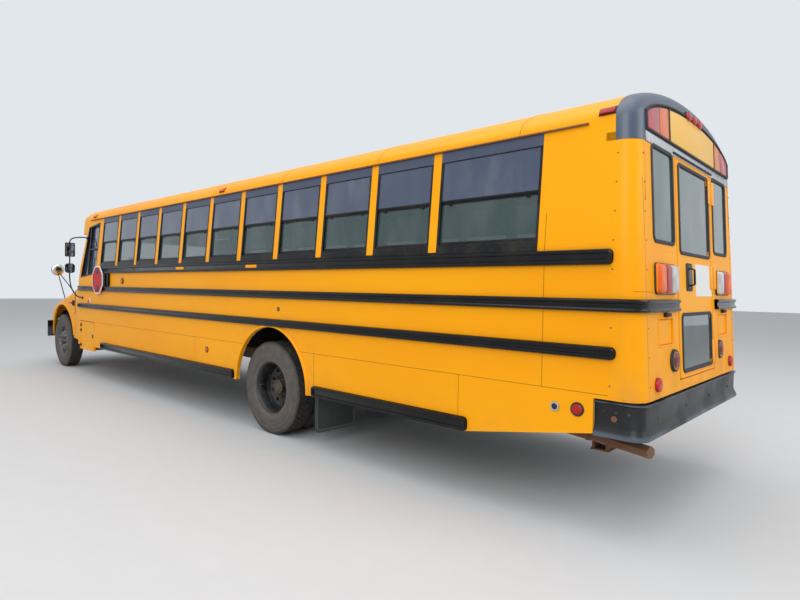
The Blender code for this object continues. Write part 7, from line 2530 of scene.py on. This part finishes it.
def make_dashboard():
    """The dashboard with its hood, blank gauges, vents and switches, and the steering wheel."""
    x0, x1 = at(9.62), at(9.9)
    shape = Shape()
    section = smooth(
        [
            (x1, 1.03), (x1, 1.3), (x1 - 0.004, 1.6), (x1 - 0.04, 1.638), (x0 + 0.08, 1.63),
            (x0 + 0.02, 1.6), (x0 + 0.005, 1.5), (x0 + 0.015, 1.36), (x0 + 0.05, 1.3), (x1 - 0.05, 1.1),
            (x1 - 0.01, 1.03),
        ],
        4,
    )[:-1]
    rings = [[(x, y, z) for x, z in section] for y in (1.095, 0.6, 0.0, -0.5, -1.095)]
    shape.loft(rings, 0)
    cluster = []
    for y in (0.93, 0.9, 0.42, 0.39):
        grown_by = 0.03 if 0.4 < y < 0.92 else 0.005
        cluster.append(
            [
                (x0 - grown_by, y, 1.5), (x0 + 0.16, y, 1.5), (x0 + 0.16, y, 1.648),
                (x0 - grown_by + 0.015, y, 1.645),
            ]
        )
    shape.loft(cluster, 0)
    face = on_level(-1, x0 - 0.028)
    for y, z, radius in ((0.78, 1.575, 0.05), (0.54, 1.575, 0.05), (0.66, 1.59, 0.03), (0.66, 1.53, 0.022)):
        shape.frame(circle((y, z), radius, 32), face, 0.006, 0.006, 1, 0.002, back=0.01)
        shape.plate(circle((y, z), radius - 0.005, 32), face, 0.001, 2, 0, back=0.006)
        shape.bar((y - 0.0015, -0.0015, z), (y + 0.0015, 0.003, z + radius * 0.75), 0, 3, upright(face))
    face = on_level(-1, x0 + 0.006)
    for i in range(8):
        y = 0.3 - 0.06 * i
        shape.bar((y - 0.018, -0.01, 1.44), (y + 0.018, 0.01, 1.48), 0.003, 1, upright(face))
    for y in (0.2, -0.2, -0.8):
        shape.frame(
            rounded((y - 0.09, 1.52), (y + 0.09, 1.58), 0.012), face, 0.008, 0.01, 1, 0.003, back=0.02,
        )
        for k in range(4):
            shape.bar(
                (y - 0.08, -0.005, 1.528 + 0.013 * k), (y + 0.08, 0.006, 1.533 + 0.013 * k), 0, 1,
                upright(face),
            )
    centre = Vector((at(9.48), 0.66, 1.62))
    tilt = math.radians(35)
    along = Vector((math.cos(tilt), 0, -math.sin(tilt)))
    across, up = Vector((0, 1, 0)), Vector((math.sin(tilt), 0, math.cos(tilt)))
    rim = []
    for i in range(48):
        turn = 2 * math.pi * i / 48
        rim.append(centre + across * 0.22 * math.cos(turn) + up * 0.22 * math.sin(turn))
    shape.tube(rim, 0.0145, 1, 12, closed=True)
    for turn in (0.0, math.pi, -math.pi / 2):
        out = across * math.cos(turn) + up * math.sin(turn)
        shape.tube([centre + along * 0.02 + out * 0.05, centre + out * 0.215], [0.016, 0.009], 1, 10)
    shape.tube(
        [centre - along * 0.004, centre + along * 0.012, centre + along * 0.05], [0.05, 0.062, 0.04], 1, 28,
    )
    shape.tube([centre + along * 0.03, centre + along * 0.31], 0.027, 1, 20)
    shape.tube([centre + along * 0.09, centre + along * 0.08 + across * 0.2], 0.006, 1, 8)
    shape.made(
        "dash_and_wheel", ("dash_grey", "seal", "gauge", "sign_amber"), replaces=("dashboard",), angle=40,
    )


def make_linings():
    """The ceiling panels, the wall ledge, the floor's edge trims, the step treads and a handrail."""
    shape = Shape()
    outer = roof_arc(TOP_Y - 0.034, GUTTER_Z - 0.03, ROOF_RISE - 0.03)
    inner = roof_arc(TOP_Y - 0.04, GUTTER_Z - 0.03, ROOF_RISE - 0.036)
    ring = [*outer, *inner[::-1]]
    shape.loft([[(x, y, z) for y, z in ring] for x in (at(0.32), at(9.58))], 0)
    piece("ceiling", opened(shape), ("lining",), "root", "clear_glass")
    shape = Shape()
    for i in range(13):
        x = at(0.9 + 0.724 * i)
        outer = roof_arc(TOP_Y - 0.039, GUTTER_Z - 0.03, ROOF_RISE - 0.035)
        inner = roof_arc(TOP_Y - 0.052, GUTTER_Z - 0.03, ROOF_RISE - 0.048)
        band = [*outer, *inner[::-1]]
        shape.loft([[(px, y, z) for y, z in band] for px in (x - 0.02, x + 0.02)], 0)
    for _, side in SIDES:
        low, high = sorted((side * 1.09, side * 1.175))
        shape.bar((at(0.35), low, 1.885), (at(8.6), high, 1.9), 0.004, 0)
    shape.made("cabin_lining", ("lining",), slot="clear_glass")
    treads = Shape()
    for y0, y1, z in ((-1.095, -0.935, 0.437), (-0.925, -0.78, 0.62), (-0.77, -0.625, 0.8)):
        treads.bar((at(8.83), y0, z), (at(9.57), y1, z + 0.004), 0.001, 0)
        treads.bar((at(8.83), y0, z + 0.003), (at(9.57), y0 + 0.02, z + 0.006), 0.001, 1)
    treads.made("step_treads", ("mat", "white"))
    rails = Shape()
    for s in (8.8, 9.59):
        rails.tube(
            smooth(
                [
                    (at(s), -0.6, 1.03), (at(s), -0.6, 1.5), (at(s), -0.66, 1.78), (at(s), -0.9, 1.9),
                    (at(s), -1.1, 1.92),
                ],
                5,
            ),
            0.014, 0, 12,
        )
    rails.made("entry_handrails", ("zinc",))


# The settings


class BusPaint(bpy.types.PropertyGroup):
    """The paints that a user would change."""

    yellow: bpy.props.FloatVectorProperty(
        name="Body yellow", description="The body's paint", subtype="COLOR", size=3, min=0, max=1,
        default=tint(250, 168, 0)[:3],
    )
    deep_yellow: bpy.props.FloatVectorProperty(
        name="Weathered yellow", description="The body's paint where it has deepened", subtype="COLOR",
        size=3, min=0, max=1, default=tint(240, 148, 0)[:3],
    )
    black: bpy.props.FloatVectorProperty(
        name="Trim black", description="The paint of the rails, frames and bumpers", subtype="COLOR",
        size=3, min=0, max=1, default=tint(14, 14, 16)[:3],
    )


class BusFittings(bpy.types.PropertyGroup):
    """The sizes and counts of what repeats."""

    bench_rows: bpy.props.IntProperty(
        name="Bench rows", description="How many benches stand on each side", default=11, min=1, max=12,
    )
    bench_pitch: bpy.props.FloatProperty(
        name="Bench pitch", description="From one bench to the next", default=0.724, min=0.6, max=1,
        unit="LENGTH",
    )
    tread_pitches: bpy.props.IntProperty(
        name="Tread pitches", description="How many times the tread's blocks repeat round a tyre",
        default=54, min=24, max=90,
    )
    rivet_size: bpy.props.FloatProperty(
        name="Rivet size", description="The rivets' and bolts' size, as a share of the usual one",
        default=1.0, min=0.5, max=2, subtype="FACTOR",
    )


class BusStage(bpy.types.PropertyGroup):
    """The camera's lens and the plain stage's colours and lamps."""

    lens: bpy.props.FloatProperty(
        name="Lens", description="The camera's focal length", default=25.226, min=15, max=120,
        unit="CAMERA",
    )
    lamp_level: bpy.props.FloatProperty(
        name="Lamp level", description="The lamps' power, as a share of the usual one", default=1.0, min=0,
        max=4, subtype="FACTOR",
    )
    floor_colour: bpy.props.FloatVectorProperty(
        name="Floor", description="The floor's colour", subtype="COLOR", size=3, min=0, max=1,
        default=tint(206, 207, 208)[:3],
    )
    sky_colour: bpy.props.FloatVectorProperty(
        name="Background", description="The background's colour", subtype="COLOR", size=3, min=0, max=1,
        default=tint(226, 231, 236)[:3],
    )


# The operators


class BUS_OT_stage(bpy.types.Operator):
    """Makes the pale floor, the lamps, the background and the camera"""

    bl_idname = "bus.stage"
    bl_label = "Stage"

    def execute(self, context):
        make_stage()
        return {"FINISHED"}


class BUS_OT_finishes(bpy.types.Operator):
    """Makes every finish and puts one on each part of the frame that stays"""

    bl_idname = "bus.finishes"
    bl_label = "Finishes"

    def execute(self, context):
        make_finishes()
        dress_frame()
        return {"FINISHED"}


class BUS_OT_windows(bpy.types.Operator):
    """Makes the framed sash windows down both sides, with their dark surrounds"""

    bl_idname = "bus.windows"
    bl_label = "Side windows"

    def execute(self, context):
        make_windows()
        return {"FINISHED"}


class BUS_OT_driver_window(bpy.types.Operator):
    """Makes the frame and the post of the driver's window"""

    bl_idname = "bus.driver_window"
    bl_label = "Driver's window"

    def execute(self, context):
        make_driver_window()
        return {"FINISHED"}


class BUS_OT_crown(bpy.types.Operator):
    """Makes the slate crown over the rear wall, with its blank panel and top lamps"""

    bl_idname = "bus.crown"
    bl_label = "Rear crown"

    def execute(self, context):
        make_crown()
        return {"FINISHED"}


class BUS_OT_rear_lamps(bpy.types.Operator):
    """Makes the tail, turn and reversing lamps and the reflectors on the rear wall"""

    bl_idname = "bus.rear_lamps"
    bl_label = "Rear lamps"

    def execute(self, context):
        make_rear_lamps()
        return {"FINISHED"}


class BUS_OT_rear_seals(bpy.types.Operator):
    """Makes the rubber round the rear panes, a rubber strip over the door, and the rivets on the rear wall
    """

    bl_idname = "bus.rear_seals"
    bl_label = "Rear seals"

    def execute(self, context):
        make_rear_seals()
        return {"FINISHED"}


class BUS_OT_rear_door(bpy.types.Operator):
    """Makes the rear door's rubber, handle, hinges, bolts and blank sticker"""

    bl_idname = "bus.rear_door"
    bl_label = "Rear door"

    def execute(self, context):
        make_rear_door()
        return {"FINISHED"}


class BUS_OT_roof(bpy.types.Operator):
    """Makes the roof skin with its laps and rivets, and the two hatches' curbs and lids"""

    bl_idname = "bus.roof"
    bl_label = "Roof"

    def execute(self, context):
        make_roof()
        return {"FINISHED"}


class BUS_OT_rub_rails(bpy.types.Operator):
    """Makes the pressed rub rails along both sides and round the rear corners"""

    bl_idname = "bus.rub_rails"
    bl_label = "Rub rails"

    def execute(self, context):
        make_rails()
        return {"FINISHED"}


class BUS_OT_side_lamps(bpy.types.Operator):
    """Makes the markers, reflectors, signal lamps and rivets on both sides"""

    bl_idname = "bus.side_lamps"
    bl_label = "Side lamps"

    def execute(self, context):
        make_side_lamps()
        return {"FINISHED"}


class BUS_OT_arches(bpy.types.Operator):
    """Makes the rolled lips of the rear wheel arches"""

    bl_idname = "bus.arches"
    bl_label = "Wheel arches"

    def execute(self, context):
        make_arches()
        return {"FINISHED"}


class BUS_OT_flaps(bpy.types.Operator):
    """Makes the rubber mud flaps with their hanger plates"""

    bl_idname = "bus.flaps"
    bl_label = "Mud flaps"

    def execute(self, context):
        make_flaps()
        return {"FINISHED"}


class BUS_OT_corner_posts(bpy.types.Operator):
    """Makes the rounded rear corner posts with their screws"""

    bl_idname = "bus.corner_posts"
    bl_label = "Corner posts"

    def execute(self, context):
        make_corner_posts()
        return {"FINISHED"}


class BUS_OT_rear_glass(bpy.types.Operator):
    """Makes the fixed panes beside the rear door"""

    bl_idname = "bus.rear_glass"
    bl_label = "Rear panes"

    def execute(self, context):
        make_rear_glass()
        return {"FINISHED"}


class BUS_OT_rear_bumper(bpy.types.Operator):
    """Makes the formed rear bumper with its lip, its flared foot and its bolts"""

    bl_idname = "bus.rear_bumper"
    bl_label = "Rear bumper"

    def execute(self, context):
        make_rear_bumper()
        return {"FINISHED"}


class BUS_OT_tyres(bpy.types.Operator):
    """Makes the tyres' walls, ribs and tread blocks"""

    bl_idname = "bus.tyres"
    bl_label = "Tyres"

    def execute(self, context):
        make_tyres()
        return {"FINISHED"}


class BUS_OT_wheels(bpy.types.Operator):
    """Makes the dished discs, rims, hubs and nuts"""

    bl_idname = "bus.wheels"
    bl_label = "Wheels"

    def execute(self, context):
        make_wheels()
        return {"FINISHED"}


class BUS_OT_hood(bpy.types.Operator):
    """Makes the sloped hood with its fenders, lips and catches"""

    bl_idname = "bus.hood"
    bl_label = "Hood"

    def execute(self, context):
        make_hood()
        return {"FINISHED"}


class BUS_OT_nose(bpy.types.Operator):
    """Makes the grille's bars and the headlamps in their bezels"""

    bl_idname = "bus.nose"
    bl_label = "Grille and headlamps"

    def execute(self, context):
        make_nose()
        return {"FINISHED"}


class BUS_OT_cowl(bpy.types.Operator):
    """Makes the cowl between the hood and the windshield"""

    bl_idname = "bus.cowl"
    bl_label = "Cowl"

    def execute(self, context):
        make_cowl()
        return {"FINISHED"}


class BUS_OT_windshield(bpy.types.Operator):
    """Makes the curved windshield with its rubber, band and wipers"""

    bl_idname = "bus.windshield"
    bl_label = "Windshield"

    def execute(self, context):
        make_windshield()
        return {"FINISHED"}


class BUS_OT_front_cap(bpy.types.Operator):
    """Makes the cap over the windshield, with its lamps, visors and blank panel"""

    bl_idname = "bus.front_cap"
    bl_label = "Front cap"

    def execute(self, context):
        make_front_cap()
        return {"FINISHED"}


class BUS_OT_front_bumper(bpy.types.Operator):
    """Makes the channel of the front bumper with its swept ends and its two holes"""

    bl_idname = "bus.front_bumper"
    bl_label = "Front bumper"

    def execute(self, context):
        make_front_bumper()
        return {"FINISHED"}


class BUS_OT_mirrors(bpy.types.Operator):
    """Makes the side mirrors and the round mirrors on the hood, with their arms"""

    bl_idname = "bus.mirrors"
    bl_label = "Mirrors"

    def execute(self, context):
        make_mirrors()
        return {"FINISHED"}


class BUS_OT_stop_sign(bpy.types.Operator):
    """Makes the blank eight-sided sign with its border, lamps, arm and housing"""

    bl_idname = "bus.stop_sign"
    bl_label = "Stop sign"

    def execute(self, context):
        make_stop_sign()
        return {"FINISHED"}


class BUS_OT_battery_door(bpy.types.Operator):
    """Makes the battery door's rim, hinges, latch and lock"""

    bl_idname = "bus.battery_door"
    bl_label = "Battery door"

    def execute(self, context):
        make_battery_door()
        return {"FINISHED"}


class BUS_OT_entrance(bpy.types.Operator):
    """Makes the two leaves of the entrance door with their rubber and handles"""

    bl_idname = "bus.entrance"
    bl_label = "Entrance door"

    def execute(self, context):
        make_entrance()
        return {"FINISHED"}


class BUS_OT_underside(bpy.types.Operator):
    """Makes the pipe's hangers, the tank's straps and the frame's bolts"""

    bl_idname = "bus.underside"
    bl_label = "Underside fittings"

    def execute(self, context):
        make_underside()
        return {"FINISHED"}


class BUS_OT_benches(bpy.types.Operator):
    """Makes the padded benches in rows down both sides, on their legs and rails"""

    bl_idname = "bus.benches"
    bl_label = "Benches"

    def execute(self, context):
        make_benches()
        return {"FINISHED"}


class BUS_OT_driver_seat(bpy.types.Operator):
    """Makes the driver's bolstered seat on its bellows and pedestal"""

    bl_idname = "bus.driver_seat"
    bl_label = "Driver's seat"

    def execute(self, context):
        make_driver_seat()
        return {"FINISHED"}


class BUS_OT_dashboard(bpy.types.Operator):
    """Makes the dashboard with blank gauges and vents, and the steering wheel"""

    bl_idname = "bus.dashboard"
    bl_label = "Dashboard"

    def execute(self, context):
        make_dashboard()
        return {"FINISHED"}


class BUS_OT_linings(bpy.types.Operator):
    """Makes the ceiling, the ledges, the step treads and the handrails"""

    bl_idname = "bus.linings"
    bl_label = "Linings"

    def execute(self, context):
        make_linings()
        return {"FINISHED"}


OPERATORS = (
    BUS_OT_stage,
    BUS_OT_finishes,
    BUS_OT_windows,
    BUS_OT_driver_window,
    BUS_OT_crown,
    BUS_OT_rear_lamps,
    BUS_OT_rear_seals,
    BUS_OT_rear_door,
    BUS_OT_roof,
    BUS_OT_rub_rails,
    BUS_OT_side_lamps,
    BUS_OT_arches,
    BUS_OT_flaps,
    BUS_OT_corner_posts,
    BUS_OT_rear_glass,
    BUS_OT_rear_bumper,
    BUS_OT_tyres,
    BUS_OT_wheels,
    BUS_OT_hood,
    BUS_OT_nose,
    BUS_OT_cowl,
    BUS_OT_windshield,
    BUS_OT_front_cap,
    BUS_OT_front_bumper,
    BUS_OT_mirrors,
    BUS_OT_stop_sign,
    BUS_OT_battery_door,
    BUS_OT_entrance,
    BUS_OT_underside,
    BUS_OT_benches,
    BUS_OT_driver_seat,
    BUS_OT_dashboard,
    BUS_OT_linings,
)


class BUS_PT_looks(bpy.types.Panel):
    """Lists the bus's settings and the pieces that can be made."""

    bl_idname = "BUS_PT_looks"
    bl_label = "School bus"
    bl_space_type = "VIEW_3D"
    bl_region_type = "UI"
    bl_category = "Bus"

    def draw(self, context):
        for group in SETTINGS:
            box = self.layout.box()
            for name in SETTINGS[group].__annotations__:
                box.prop(getattr(context.scene, group), name)
        for kind in OPERATORS:
            self.layout.operator(kind.bl_idname)


SETTINGS = {"bus_paint": BusPaint, "bus_fittings": BusFittings, "bus_stage": BusStage}


def register():
    for kind in (*SETTINGS.values(), *OPERATORS, BUS_PT_looks):
        bpy.utils.register_class(kind)
    for name, kind in SETTINGS.items():
        setattr(bpy.types.Scene, name, bpy.props.PointerProperty(type=kind))


def unregister():
    for name in SETTINGS:
        delattr(bpy.types.Scene, name)
    for kind in reversed((*SETTINGS.values(), *OPERATORS, BUS_PT_looks)):
        bpy.utils.unregister_class(kind)


def main():
    """Makes everything in order."""
    register()
    for kind in OPERATORS:
        getattr(bpy.ops.bus, kind.bl_idname.split(".")[1])()


if __name__ == "__main__":
    main()
